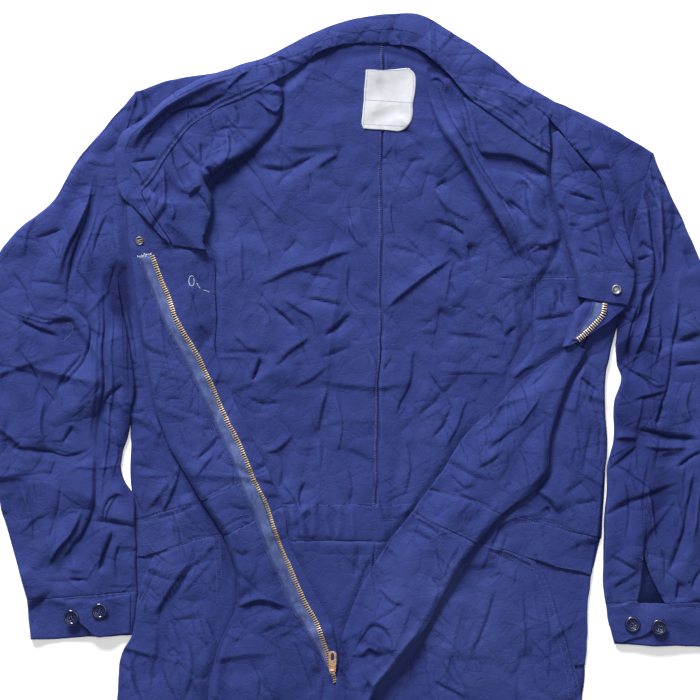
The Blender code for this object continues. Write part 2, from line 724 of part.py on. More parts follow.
def add_seats():
    """Seat and leg pieces; their columns at the waist are those of the waist seam."""
    for side, sign in (("right", -1), ("left", 1)):
        xs = [x for x, _ in WAIST_LINE if x * sign > 8]
        xs = [-7 + sign * SEAM / 2] + sorted(xs, key=abs)
        xs[-1] = -296.5 if sign < 0 else 257.0
        rows = [[(x, table_at(WAIST_LINE, x) - BAND - SEAM / 2, FLOOR_Z) for x in xs]]
        shares = [(x - xs[0]) / (xs[-1] - xs[0]) for x in xs]
        ends = [(row.y, row.inner, row.right if sign < 0 else row.left) for row in SEAT]
        for y, inner, outer in ends + list(LEGS[side]):
            start = inner + sign * SEAM / 2
            rows.append([(lerp(start, outer, t), y, FLOOR_Z) for t in shares])
        add_cloth(f"seat_{side}", rows)


def add_pockets():
    for side, table in (("right", POCKET_RIGHT), ("left", POCKET_LEFT)):
        rows = []
        for row in table:
            rows.append([(*mix(row.outer, row.inner, t), REST_Z) for t in (0.0, 0.5, 1.0)])
        rows[0] = moved(rows[0], -SEAM)
        add_cloth(f"hip_pocket_{side}", rows)


def sleeve_fold(share, length_share):
    """Height of the long folds in a sleeve's upper wall."""
    first = smooth(1 - abs(share - 0.28) / 0.14)
    second = smooth(1 - abs(share - 0.72) / 0.15)
    ends = smooth(min(length_share, 1 - length_share) * 4)
    return 3.0 * ends * (first + 0.8 * second)


def tube_ring(row, length_share):
    """Points round one ring: under wall, outer turn, upper wall, inner turn."""
    inner, outer = Vector(row.inner), Vector(row.outer)
    across = (outer - inner).normalized()
    near = tuple(inner + across * TURN_REACH)
    far = tuple(outer - across * TURN_REACH)
    low, high = FLOOR_Z, LAYERS[0]
    ring = [(*bowed(near, far, row.bow, t), low) for t in UNDER_RUN]
    ring += turn(far, tuple(across), TURN_REACH, low, high)
    upper = [1 - t for t in UPPER_RUN]
    if row.slit:
        width = math.dist(near, far)
        edges = [(Vector(p) - Vector(near)).dot(across) / width for p in row.slit]
        upper[SLIT_COLUMN + 1], upper[SLIT_COLUMN] = edges
    for t in upper:
        height = 0.0 if row.slit else sleeve_fold(t, length_share)
        ring.append((*bowed(near, far, row.bow, t), high + height))
    return ring + turn(near, tuple(-across), TURN_REACH, high, low)


def add_sleeve(name, table):
    """A flattened tube; between its slit edges the upper wall is open to the cuff."""
    rings = [tube_ring(row, i / (len(table) - 1)) for i, row in enumerate(table)]
    body = add_cloth(name, rings, closed=True)
    slit = [i for i, row in enumerate(table) if row.slit]
    column = len(UNDER_RUN) + TURN_STEPS - 1 + SLIT_COLUMN
    edit = bmesh.new()
    edit.from_mesh(body.data)
    edit.faces.ensure_lookup_table()
    open_cells = [edit.faces[ring * len(rings[0]) + column] for ring in slit[:-1]]
    bmesh.ops.delete(edit, geom=open_cells, context="FACES")
    edit.to_mesh(body.data)
    edit.free()


def add_cuff(name, table):
    add_cloth(name, [tube_ring(row, 0.0) for row in table], closed=True)


def add_tabs():
    for name, table in (("cuff_tab_right", TAB_RIGHT), ("cuff_tab_left", TAB_LEFT)):
        rows = []
        for row in table:
            rows.append([(row.x, lerp(row.upper, row.lower, t), row.z) for t in (0.0, 0.5, 1.0)])
        add_cloth(name, rows)


def add_collar():
    stand = []
    leaf = []
    for row in COLLAR:
        if row.neck:
            end = 1 - ROLL_GAP / math.dist(row.neck, row.roll)
            stand.append([mix(row.neck, row.roll, t) for t in (0.0, 0.5, end)])
        start = ROLL_GAP / math.dist(row.roll, row.edge)
        leaf.append([mix(row.roll, row.edge, t) for t in (start, 0.5, 1.0)])
    add_cloth("collar_stand", stand)
    add_cloth("collar_leaf", leaf)


def span_section(row):
    """A turned-back panel's section: a quarter roll at one side, then level."""
    roll, far = Vector(row.roll), Vector(row.far)
    across = (far - roll).normalized()
    width = (far - roll).length
    drop = row.z - row.low
    reach = min(7.0, width * 0.4)
    points = []
    for angle in CURL_ANGLES:
        turned = math.radians(angle)
        if row.curled:
            place = roll + across * reach * (1 - math.cos(turned))
            height = row.z - drop * (1 - math.sin(turned))
        else:
            place = roll + across * reach * angle / 90
            height = row.z
        points.append((*place, height))
    start = roll + across * reach
    for t in (0.25, 0.5, 0.75, 1.0):
        points.append((*mix(start, far, t), row.z))
    return points


def add_spans():
    add_cloth("facing_right", [span_section(row) for row in FACING_RIGHT])
    add_cloth("facing_left", [span_section(row) for row in FACING_LEFT])
    add_cloth("fly_flap_left", [span_section(row) for row in FLY_FLAP])


def along_section(points, from_end):
    """The point this far back from the end of a section, measured in plan."""
    left = from_end
    for end, start in zip(points[::-1], points[-2::-1]):
        step = math.dist(end[:2], start[:2])
        if left <= step:
            return mix(end, start, left / step)
        left -= step
    return points[0]


def tape_section(points, underlap, width):
    """Tape on a section, from its sewn side to its teeth, clear of the cloth."""
    lift = (CLOTH + TAPE_WALL) / 2 + TAPE_GAP
    section = []
    for share in (1.0, 0.8, 0.6, 0.4, 0.2, 0.0):
        place = underlap + width * share
        behind, ahead = (along_section(points, place + d) for d in (1.0, -1.0))
        run = math.dist(behind[:2], ahead[:2])
        slope = math.hypot(1.0, (ahead[2] - behind[2]) / run)
        x, y, z = along_section(points, place)
        section.append((x, y, z + lift * slope))
    return section


def add_tapes():
    rows = []
    for row in FRONT_RIGHT[5:] + TROUSER_RIGHT[:8]:
        top_run = fold_section(row)[-LAST_RUN - 1:]
        rows.append(tape_section(top_run, row.underlap, TAPE_WIDTH))
    add_cloth("zip_tape_right", rows, wall=TAPE_WALL, color=TAPE_BLUE)
    rows = []
    for row, width in zip(FLY_FLAP[3:7], (14.0, 15.0, 13.0, 8.0)):
        rows.append(tape_section(span_section(row), row.underlap, width))
    rows[0] = moved(rows[0], -2.5)
    add_cloth("zip_tape_left", rows, wall=TAPE_WALL, color=TAPE_BLUE)


def turned(name, profile, place, color, roughness, metallic, steps=24):
    """A closed profile of radius, height pairs spun round a vertical axis."""
    mesh = bpy.data.meshes.new(name)
    count = len(profile)
    points = [(r * MM, 0.0, z * MM) for r, z in profile]
    closed = profile[0][0] > 0
    edges = [(i, i + 1) for i in range(count - 1)]
    if closed:
        edges.append((count - 1, 0))
    mesh.from_pydata(points, edges, [])
    body = add_object(name, mesh, color, roughness, metallic)
    spin = body.modifiers.new("spin", "SCREW")
    spin.steps = steps
    spin.render_steps = steps
    spin.use_merge_vertices = True
    spin.merge_threshold = 0.00001
    spin.use_normal_calculate = True
    body.location = Vector(place) * MM
    return body


def add_fasteners():
    r, h = BUTTON_RADIUS, BUTTON_HEIGHT
    button = ((0.0, h - 0.9), (0.55 * r, h - 0.9), (0.72 * r, h), (0.9 * r, h - 0.1),
              (r, h - 0.9), (0.9 * r, 0.3), (0.6 * r, 0.0), (0.0, 0.0))
    for number, (x, y, z) in enumerate(CUFF_BUTTONS, start=1):
        place = (x, y, z + REST_GAP)
        turned(f"cuff_button_{number}", button, place, BUTTON_NAVY, 0.15, 0.0)
    socket = ((1.8, 1.4), (3.6, 1.7), (5.2, 1.2), (5.2, 0.3), (1.8, 0.3))
    turned("snap_socket", socket, SNAP_SOCKET, BRASS, 0.45, 1.0)
    stud = ((0.0, 1.0), (3.4, 1.0), (3.9, 1.9), (5.4, 1.7), (6.0, 0.6), (5.6, 0.3), (0.0, 0.3))
    turned("snap_stud", stud, SNAP_STUD, STEEL, 0.3, 1.0)


def add_label():
    curve = bpy.data.curves.new("label", "CURVE")
    curve.dimensions = "2D"
    curve.fill_mode = "BOTH"
    curve.extrude = LABEL_WALL / 2 * MM
    spline = curve.splines.new("POLY")
    spline.points.add(len(LABEL_OUTLINE) - 1)
    for point, (x, y) in zip(spline.points, LABEL_OUTLINE):
        point.co = (x * MM, y * MM, 0, 1)
    spline.use_cyclic_u = True
    label = add_object("label", curve, LABEL_WHITE)
    label.location.z = (CLOTH + REST_GAP + LABEL_WALL / 2) * MM


def box_mesh(name, size, place):
    """A box by size and centre, in millimetres."""
    mesh = bpy.data.meshes.new(name)
    cube = bmesh.new()
    bmesh.ops.create_cube(cube, size=MM)
    bmesh.ops.scale(cube, vec=size, verts=cube.verts)
    bmesh.ops.translate(cube, vec=Vector(place) * MM, verts=cube.verts)
    cube.to_mesh(mesh)
    cube.free()
    return mesh


def combine(body, operation, name, size, place):
    """Join a box to a body, or cut it out."""
    cutter = bpy.data.objects.new(name, box_mesh(name, size, place))
    CUTTERS.objects.link(cutter)
    cutter.hide_render = True
    cutter.display_type = "WIRE"
    step = body.modifiers.new(name, "BOOLEAN")
    step.operation = operation
    step.object = cutter


def add_slider():
    """Slider body with two lugs that hold the pull tab's barrel."""
    x, y, z = HINGE
    top = z - AXIS_HEIGHT
    centre = (x, y + SLIDER_SIZE[1] / 8, top - SLIDER_SIZE[2] / 2)
    slider = add_object("zip_slider", box_mesh("zip_slider", SLIDER_SIZE, centre), BRASS, 0.35, 1.0)
    for side in (-1, 1):
        place = (x + side * LUG_SPACING / 2, y, top + LUG_SIZE[2] / 2 - 0.5)
        combine(slider, "UNION", f"lug_{side}", LUG_SIZE, place)


def add_pull():
    """Pull tab: barrel on the hinge axis, a narrow neck and a windowed plate."""
    mesh = bpy.data.meshes.new("zip_pull")
    barrel = bmesh.new()
    turn_to_x = Matrix.Rotation(math.radians(90), 4, "Y")
    bmesh.ops.create_cone(barrel, cap_ends=True, segments=16, radius1=BARREL_RADIUS * MM,
                          radius2=BARREL_RADIUS * MM, depth=BARREL_LENGTH * MM, matrix=turn_to_x)
    barrel.to_mesh(mesh)
    barrel.free()
    pull = add_object("zip_pull", mesh, BRASS, 0.35, 1.0)
    pull.location = Vector(HINGE) * MM
    x, y, z = HINGE
    neck_end = 6.0
    plate = PULL_LENGTH - neck_end
    combine(pull, "UNION", "pull_neck", (4.4, neck_end, PULL_WALL), (x, y + neck_end / 2 + 0.4, z))
    combine(pull, "UNION", "pull_plate", (PULL_WIDTH, plate, PULL_WALL),
            (x, y + neck_end + plate / 2, z))
    combine(pull, "DIFFERENCE", "pull_window", (*PULL_WINDOW, 4 * PULL_WALL),
            (x, y + PULL_LENGTH - 2.2 - PULL_WINDOW[1] / 2, z))


def build():
    clear_scene()
    add_back_right()
    add_back_left()
    add_back_waistband()
    add_seats()
    add_pockets()
    add_fronts()
    add_sleeve("sleeve_right", SLEEVE_RIGHT)
    add_sleeve("sleeve_left", SLEEVE_LEFT)
    add_cuff("cuff_right", CUFF_RIGHT)
    add_cuff("cuff_left", CUFF_LEFT)
    add_tabs()
    add_collar()
    add_spans()
    add_tapes()
    add_fasteners()
    add_label()
    add_slider()
    add_pull()


build()
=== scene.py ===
"""Boiler suit laid open on its back: its cloth, seams, zip and fastenings.

Tables are in millimetres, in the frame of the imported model: +Y runs to the collar,
the wearer's left side is at +X and the floor is at z = 0. A z in a table is the
height of the middle of the cloth.
"""

from __future__ import annotations

import logging
import math
import sys
from dataclasses import dataclass, field
from enum import Enum
from typing import Any, NamedTuple

import bmesh
import bpy
import numpy as np
from mathutils import Matrix, Vector
from mathutils.bvhtree import BVHTree

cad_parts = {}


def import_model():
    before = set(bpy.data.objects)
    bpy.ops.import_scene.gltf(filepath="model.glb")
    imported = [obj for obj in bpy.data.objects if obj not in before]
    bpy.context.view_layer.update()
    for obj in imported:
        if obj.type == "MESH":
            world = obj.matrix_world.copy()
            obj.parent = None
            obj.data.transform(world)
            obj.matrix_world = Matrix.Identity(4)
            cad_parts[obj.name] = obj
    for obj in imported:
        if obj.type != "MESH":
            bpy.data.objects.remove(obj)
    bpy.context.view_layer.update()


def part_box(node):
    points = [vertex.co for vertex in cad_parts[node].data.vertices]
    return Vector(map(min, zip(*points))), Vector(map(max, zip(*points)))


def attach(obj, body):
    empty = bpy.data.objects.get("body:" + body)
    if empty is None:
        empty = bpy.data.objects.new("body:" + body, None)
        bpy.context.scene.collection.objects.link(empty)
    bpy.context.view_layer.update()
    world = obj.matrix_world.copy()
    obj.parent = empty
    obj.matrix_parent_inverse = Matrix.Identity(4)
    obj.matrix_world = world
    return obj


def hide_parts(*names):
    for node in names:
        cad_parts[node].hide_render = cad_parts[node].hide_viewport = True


Plan = tuple[float, float]
Point = tuple[float, float, float]
Row = list[Point | None]
LineRows = tuple[tuple[float, float, tuple[Plan, ...]], ...]

LOG = logging.getLogger("boiler_suit")
MM = 0.001
UV_UNIT = 0.01  # cloth UV units in a millimetre
CLOTH = 1.2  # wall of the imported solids
SHELL = 0.7  # wall of the cloth that shows
SEAM = -0.9  # space between two pieces at a seam, negative because they lap
ROLL_GAP = -0.6  # the same between the collar's stand and leaf
FLOOR_Z = CLOTH / 2
ABOVE_ALL = 60.0
FAR_AWAY = -9999.0  # stands for a point that a surface leaves out
REST_GAP = 0.3
REST_Z = FLOOR_Z + CLOTH + REST_GAP
PLY = 4.0  # height from one folded layer to the next
LAYERS = (FLOOR_Z + PLY, FLOOR_Z + 2 * PLY, FLOOR_Z + 3 * PLY)
FREE_Z = 3.2
POCKET_MOUTH_Z = 4.0
TURN_STEPS = 4
TURN_REACH = PLY / 2
TURN_LENGTH = 6.0
INNER_RUN = (0.0, 0.35, 0.7, 1.0)
FIRST_RUN = (0.0, 0.1, 0.35, 0.65, 1.0)
MIDDLE_RUN = (0.0, 0.35, 0.7, 1.0)
LAST_RUN = 7
UNDER_RUN = tuple(i / 8 for i in range(9))
UPPER_RUN = (0.0, 0.14, 0.28, 0.42, 0.57, 0.72, 0.86, 1.0)
SLIT_COLUMN = 4
CUFF_LAP = 1.6  # how far a cuff's top runs into its sleeve
CURL_ANGLES = (0, 30, 60, 90)
CURL_REACH = 7.0
TAPE_WIDTH = 18.0
PIT_DEPTH = 1.6
WAIST_TOP = 34.0
NARROW_END = 142.0  # x at the neck line where the left back's wide part starts
BAND = 44.0
GATHERS = 20
GATHERED = (-170.0, 110.0)
FINE = 2.4  # cells of cloth in full view
PLAIN = 6.0  # cells of cloth that is mostly covered
LONG = 10.0  # cells of the trouser legs
LARGE = 5000  # faces from which a cloth is thinned
KEPT = 0.62  # share of a large cloth's triangles that are kept, most of them in its creases
LEAST_SIDE = 0.012  # a sheet's least width, in metres
LEAST_FILL = 0.301  # and its least share of its flat box
IN_VIEW = -190.0  # y below which the legs lie out of view


class FoldRow(NamedTuple):
    """One section across a front panel, from its side seam to its zip edge."""

    name: str
    side: Plan
    hidden: Plan
    fold: Plan | None = None
    edge: Plan | None = None
    side_z: float = REST_Z
    first_z: float = LAYERS[0]
    edge_z: float = FREE_Z
    underlap: float = 0.0
    inner: Plan | None = None
    crown: float = 0.0
    flat: bool = False


class TubeRow(NamedTuple):
    """One ring of a flattened sleeve."""

    inner: Plan
    outer: Plan
    bow: float = 0.0
    slit: tuple[Plan, Plan] | None = None


class CollarRow(NamedTuple):
    """One section across the collar, from the neck seam to the leaf's edge."""

    neck: Point | None
    roll: Point
    edge: Point


class TabRow(NamedTuple):
    """One section across a cuff's pointed end."""

    x: float
    upper: float
    lower: float
    z: float


class SpanRow(NamedTuple):
    """One section across a turned-back panel: its rolled side, its far side."""

    roll: Plan
    far: Plan
    z: float
    curled: bool = True
    low: float = REST_Z + 0.2
    underlap: float = 0.0


class BackRow(NamedTuple):
    """Places along one row of a back half; with no side it follows the armhole or stops."""

    y: float
    centre: float
    side: float | None
    seam: float = 0.0


class SeatRow(NamedTuple):
    """One row across both seats."""

    y: float
    inner: float
    right: float
    left: float


class PocketRow(NamedTuple):
    """One row across a hip pocket's facing."""

    outer: Plan
    inner: Plan


def lerp(a: float, b: float, t: float) -> float:
    """The value at t between two values."""
    return a + (b - a) * t


def mix(p: tuple, q: tuple, t: float) -> tuple:
    """The point at t between two points."""
    return tuple(lerp(a, b, t) for a, b in zip(p, q))


def plan_points(text: str) -> tuple[Plan, ...]:
    """The x,y points written in a text."""
    return tuple(tuple(float(c) for c in point.split(",")) for point in text.split())


def line_rows(table: str) -> LineRows:
    """Rows of two numbers, a colon and the points of a line, one to each text line."""
    rows = (line.split(":") for line in table.strip().splitlines())
    return tuple((*(float(n) for n in head.split()), plan_points(path)) for head, path in rows)


def ease(t: Any) -> Any:
    """A smooth step from 0 to 1, for a number or an array."""
    t = np.clip(t, 0.0, 1.0)
    return t * t * (3 - 2 * t)


def bowed(low: Plan, high: Plan, bow: float, t: float) -> Plan:
    """Point at t along a line whose middle is pushed by bow in x."""
    x, y = mix(tuple(low), tuple(high), t)
    return (x + bow * 4 * t * (1 - t), y)


RIGHT_ARMHOLE = ((-305.0, 226.0), (-293.0, 532.0), -20.0)
LEFT_ARMHOLE = ((282.0, 226.0), (326.0, 456.0), -7.0)


def armhole(side: tuple[Plan, Plan, float], y: float, offset: float = 0.0) -> Plan:
    """The armhole seam at height y, moved by offset in x."""
    low, high, bow = side
    x, _ = bowed(low, high, bow, (y - low[1]) / (high[1] - low[1]))
    return (x + offset, y)


def right_arm(y: float) -> Plan:
    """The body's side of the right armhole seam."""
    return armhole(RIGHT_ARMHOLE, y, SEAM)


def left_arm(y: float) -> Plan:
    """The body's side of the left armhole seam."""
    return armhole(LEFT_ARMHOLE, y, -SEAM)


FRONT_RIGHT = (
    FoldRow("shoulder", right_arm(530), (-158, 553), first_z=REST_Z, crown=7),
    FoldRow("yoke", right_arm(497), (-138, 515), first_z=3.0, crown=5),
    FoldRow("upper armhole", right_arm(450), (-180, 462), crown=2),
    FoldRow("collar end", right_arm(404), (-245, 400), (-307, 404), (-214, 385), underlap=72),
    FoldRow("below collar", right_arm(368), (-242, 366), (-306, 368), (-214, 360)),
    FoldRow("zip top", right_arm(332), (-240, 332), (-303, 332), (-203, 330), underlap=70),
    FoldRow("chest", right_arm(288), (-238, 288), (-297, 289), (-200, 284), underlap=56),
    FoldRow("under chest", right_arm(257), (-237, 256), (-293, 257), (-199, 252), underlap=45),
    FoldRow("underarm", (-303.5, 226), (-236, 222), (-287, 226), (-200, 220), underlap=25),
    FoldRow("armpit", (-301, 193), (-230, 190), (-281, 193), (-188, 188), underlap=20),
    FoldRow("ribs", (-299.5, 160), (-223, 157), (-274, 160), (-175, 157), underlap=19),
    FoldRow("midriff", (-300, 100), (-202, 102), (-248, 97), (-146, 100), underlap=20),
    FoldRow("waist top", (-298, 16), (-173, 50), (-214, 38), (-137, 78), underlap=20),
)
WAIST_RIGHT = (
    FRONT_RIGHT[-1],
    FoldRow("waist bottom", (-296.5, -30), (-156, 11), (-190, 0), (-118, 31), underlap=18),
)
TROUSER_RIGHT = (
    FoldRow("waist bottom", (-271, -22.6), (-156, 11), (-190, 0), (-118, 31),
            side_z=POCKET_MOUTH_Z, underlap=18),
    FoldRow("pocket mouth", (-286, -56), (-144, -28), (-173, -50), (-103, -28),
            side_z=POCKET_MOUTH_Z, underlap=11),
    FoldRow("pocket end", (-296, -88), (-139, -66), (-173, -84), (-86, -59),
            side_z=POCKET_MOUTH_Z, underlap=14),
    FoldRow("cuff end", (-300.5, -123.5), (-148, -98), (-183, -108), (-75, -80),
            side_z=3.6, underlap=16),
    FoldRow("hip", (-311, -138), (-158, -122), (-194, -132), (-64, -102), underlap=16),
    FoldRow("slider", (-316, -167), (-170, -162), (-202, -162), (-54, -134), underlap=14),
    FoldRow("seat", (-317, -200), (-185, -200), (-206, -200), (-48, -176), underlap=8),
    FoldRow("fly end", (-319, -242), (-198, -246), (-206, -246), (-46, -227), underlap=6),
    FoldRow("crotch", (-324, -314), (-218, -314), (-194, -314), (-44, -314), flat=True),
    FoldRow("knee", (-335, -650), (-235, -650), (-200, -650), (-85, -650),
            edge_z=REST_Z, flat=True),
    FoldRow("hem", (-350, -1090), (-255, -1090), (-220, -1090), (-125, -1090),
            edge_z=REST_Z, flat=True),
)
FRONT_LEFT = (
    FoldRow("shoulder", left_arm(454), (200, 521), first_z=REST_Z, crown=4),
    FoldRow("yoke", left_arm(416), (216, 474), first_z=4.0),
    FoldRow("upper armhole", left_arm(380), (221, 421)),
    FoldRow("lapel", left_arm(345), (229, 366)),
    FoldRow("pocket top", left_arm(307), (242, 318), inner=(142, 307)),
    FoldRow("snap", left_arm(262), (252, 262), inner=(143, 262)),
    FoldRow("underarm", (275, 220), (232, 210), (244, 220), (228, 228), edge_z=LAYERS[2],
            inner=(146, 226)),
    FoldRow("chest", (269, 184), (205, 179), (223, 182), (166, 182), inner=(154, 182)),
    FoldRow("ribs", (269, 150), (178, 145), (211, 150), (133, 150), inner=(165, 150)),
    FoldRow("midriff", (270.5, 112), (148, 112), (202, 112), (97, 112), inner=(184, 112)),
    FoldRow("gathers", (269, 74), (130, 71), (197, 74), (72, 74), inner=(212, 74)),
    FoldRow("waist top", (259, -5), (100, 37), (144, 23), (55, 52)),
)
WAIST_LEFT = (
    FRONT_LEFT[-1],
    FoldRow("waist bottom", (252, -50), (79, 0), (115, -12), (36, 25)),
)
TROUSER_LEFT = (
    FoldRow("waist bottom", (184, -30.8), (79, 0), (115, -12), (36, 25),
            side_z=POCKET_MOUTH_Z),
    FoldRow("pocket mouth", (197, -56), (52, -42), (88, -47), (-2, -26),
            side_z=POCKET_MOUTH_Z),
    FoldRow("pocket middle", (209, -92), (31, -80), (67, -83), (-29, -74),
            side_z=POCKET_MOUTH_Z),
    FoldRow("pocket end", (222, -128), (13, -116), (46, -120), (-46, -119),
            side_z=POCKET_MOUTH_Z, edge_z=5.0),
    FoldRow("slider", (234, -167), (-6, -155), (19, -152), (-50, -152), side_z=3.6, edge_z=7.5),
    FoldRow("seat", (241, -200), (-26, -188), (-8, -186), (-57, -188), edge_z=8.5),
    FoldRow("fly end", (241, -242), (-32, -242), (-24, -242), (-52, -227), edge_z=7.5),
    FoldRow("crotch", (247, -314), (0, -314), (-14, -314), (-46, -314), edge_z=6.5, flat=True),
    FoldRow("knee", (250, -650), (130, -650), (100, -650), (0, -650), edge_z=REST_Z, flat=True),
    FoldRow("hem", (265, -1090), (150, -1090), (120, -1090), (40, -1090),
            edge_z=REST_Z, flat=True),
)

SLEEVE_RIGHT = (
    TubeRow(armhole(RIGHT_ARMHOLE, 226, -SEAM), armhole(RIGHT_ARMHOLE, 532, -SEAM), -20.3),
    TubeRow((-298.5, 193), (-332, 485), -14),
    TubeRow((-297.5, 166), (-368, 442), -8),
    TubeRow((-299, 142), (-392, 401), -4),
    TubeRow((-303, 118), (-432, 366)),
    TubeRow((-311, 96), (-458, 336)),
    TubeRow((-309, 66), (-478, 292)),
    TubeRow((-296.5, 44), (-485, 220)),
    TubeRow((-294.5, 16), (-480, 136)),
    TubeRow((-293.5, -14), (-458, 40)),
    TubeRow((-293.5, -50), (-438, -35)),
    TubeRow((-293.5, -71), (-426, -80)),
)
SLEEVE_LEFT = (
    TubeRow(armhole(LEFT_ARMHOLE, 226, SEAM), armhole(LEFT_ARMHOLE, 456, SEAM), -7),
    TubeRow((281.5, 212), (343, 412), -4),
    TubeRow((283, 200), (361, 373), -2),
    TubeRow((288, 188), (382, 325)),
    TubeRow((281, 160), (400, 280)),
    TubeRow((278, 112), (418, 220)),
    TubeRow((272.5, 88), (431, 160)),
    TubeRow((270.5, 52), (433, 100)),
    TubeRow((267, 16), (427, 40)),
    TubeRow((266, -26), (415, -20), slit=((313.5, -26), (314.5, -26))),
    TubeRow((266, -56), (407, -52), slit=((311, -55), (324, -55))),
    TubeRow((270, -84.5), (401, -82.5), slit=((306, -83.9), (339, -83.4))),
)
CUFF_RIGHT = (
    TubeRow((-293.5, -71.7), (-426, -80.7)),
    TubeRow((-295.5, -96), (-424, -104)),
    TubeRow((-299, -121), (-421, -128)),
)
CUFF_LEFT = (
    TubeRow((270, -85.2), (401, -83.2)),
    TubeRow((272, -100), (403, -106)),
    TubeRow((280, -132), (406, -138)),
)
TAB_RIGHT = (
    TabRow(-301.5, -73.5, -119.5, 6.4),
    TabRow(-316, -75, -121, 6.8),
    TabRow(-325, -77, -121.5, 9.4),
    TabRow(-345, -80.5, -122, 9.4),
    TabRow(-353, -85.5, -114.5, 9.4),
    TabRow(-361, -91, -107, 9.4),
    TabRow(-368, -98.5, -101.5, 9.4),
)
TAB_LEFT = (
    TabRow(273, -87, -110, 6.4),
    TabRow(282, -85.5, -130, 6.5),
    TabRow(306, -82, -125, 6.7),
    TabRow(313, -86.5, -122.5, 7.6),
    TabRow(319, -90.5, -117.5, 9.3),
    TabRow(327, -94, -110.5, 9.4),
    TabRow(336, -99, -102, 9.4),
)

COLLAR = (
    CollarRow((-252, 344, 14.4), (-258, 350, 15.0), (-264, 355, 14.6)),
    CollarRow((-259, 356, 14.4), (-269, 365, 15.6), (-277, 371, 14.6)),
    CollarRow((-271, 376, 14.4), (-283, 390, 16.2), (-293, 388, 14.6)),
    CollarRow((-281, 394, 14.4), (-295, 413, 16.4), (-312, 406, 14.0)),
    CollarRow((-287, 410, 14.4), (-302, 436, 16.4), (-318, 430, 10.0)),
    CollarRow((-278, 426, 14.4), (-305, 457, 16.2), (-318, 457, 9.0)),
    CollarRow((-264, 449, 13.5), (-299, 472, 15.6), (-311, 476, 8.5)),
    CollarRow((-250, 469, 12.5), (-281, 491, 14.6), (-285, 496, 8.0)),
    CollarRow((-232, 492, 11.0), (-259, 511, 13.0), (-263, 516, 7.0)),
    CollarRow((-204, 510, 9.5), (-222, 534, 11.5), (-225, 540, 6.5)),
    CollarRow((-170, 523, 7.8), (-176, 551, 9.5), (-174, 560, 3.8)),
    CollarRow((-132, 542, 6.2), (-140, 559, 7.5), (-144, 571, 0.6)),
    CollarRow((-98, 563, 3.4), (-98, 574, 5.5), (-110, 588, 0.6)),
    CollarRow((-68, 580, 2.4), (-72, 589, 4.6), (-77, 602, 0.6)),
    CollarRow((-36, 588, 0.6), (-38, 599, 4.0), (-38, 616, 0.6)),
    CollarRow((4, 590, 0.6), (4, 605, 4.0), (7, 624, 0.6)),
    CollarRow((40, 584, 0.6), (43, 599, 4.2), (50, 622, 0.6)),
    CollarRow((67, 565, 2.6), (74, 577, 4.8), (84, 601, 0.6)),
    CollarRow((88, 544, 3.2), (96, 553, 5.4), (118, 580, 0.6)),
    CollarRow((106, 524, 4.4), (118, 534, 6.4), (142, 562, 0.6)),
    CollarRow((142, 498, 6.6), (151, 523, 8.0), (166, 542, 1.2)),
    CollarRow((181, 472, 7.4), (184, 512, 8.6), (193, 527, 4.4)),
    CollarRow((200, 460, 7.8), (200, 497, 8.6), (222, 506, 5.8)),
    CollarRow(None, (224, 468, 8.2), (250, 482, 6.6)),
    CollarRow(None, (245, 444, 8.2), (263, 455, 7.0)),
    CollarRow(None, (263, 420, 8.6), (277, 425, 7.8)),
    CollarRow(None, (267, 400, 9.8), (287, 394, 9.2)),
    CollarRow(None, (273, 373, 10.2), (292, 367, 10.0)),
    CollarRow(None, (284, 347, 11.2), (298, 344, 11.0)),
    CollarRow(None, (297, 322, 12.4), (301.5, 321, 12.4)),
)
FACING_RIGHT = (
    SpanRow((-119, 532), (-133, 540), 6.2),
    SpanRow((-118, 517), (-171, 521), 7.8),
    SpanRow((-121, 498), (-205, 507.5), 9.5),
    SpanRow((-139, 475), (-232, 489), 11.0),
    SpanRow((-167, 451), (-249, 467), 12.5),
    SpanRow((-191, 437), (-262, 447.5), 13.5),
    SpanRow((-209, 420), (-275, 425.5), 14.4),
    SpanRow((-203, 404), (-285, 410), 14.4),
    SpanRow((-203, 382), (-279.5, 394), 14.4),
    SpanRow((-211, 361), (-269, 375.5), 14.4, low=6.8),
    SpanRow((-214, 350), (-257, 356), 14.4, low=8.6),
    SpanRow((-211, 340), (-249.5, 343.5), 14.4, low=8.2),
)
FACING_LEFT = (
    SpanRow((203, 478), (210.5, 481), 8.0),
    SpanRow((203.5, 460), (227, 461), 8.0),
    SpanRow((204, 442), (242.5, 442), 8.0),
    SpanRow((205, 418), (260.5, 418), 8.0),
    SpanRow((209, 394), (264, 400), 8.0),
    SpanRow((215, 372), (281, 373), 8.0),
    SpanRow((222, 346), (296, 348), 8.6),
    SpanRow((228, 325), (302, 325), 9.8),
    SpanRow((234, 297), (301, 295), 12.4),
    SpanRow((236, 284), (294, 272), 13.6),
)
FLY_FLAP = (
    SpanRow((230, 345), (293, 345), 7.0, curled=False),
    SpanRow((236, 325), (300, 325), 8.0, curled=False),
    SpanRow((242, 296), (299, 294), 10.6, curled=False),
    SpanRow((244, 282.5), (293, 272), 11.8, curled=False, underlap=28),
    SpanRow((230, 265), (281, 262), 13.4, underlap=18),
    SpanRow((223, 246), (259, 245), 14.4, underlap=11),
    SpanRow((218, 232), (238, 233), 14.8, underlap=5),
    SpanRow((215, 224), (222, 225), 14.8),
)
BACK_RIGHT = (
    BackRow(WAIST_TOP, -7, -299),
    BackRow(100, -6, -301),
    BackRow(160, -5, -300.5),
    BackRow(226, -3, None),
    BackRow(257, -2, None),
    BackRow(288, -1, None),
    BackRow(328, 0, None),
    BackRow(368, 0, None),
    BackRow(404, 0.5, None),
    BackRow(450, 1, None),
)
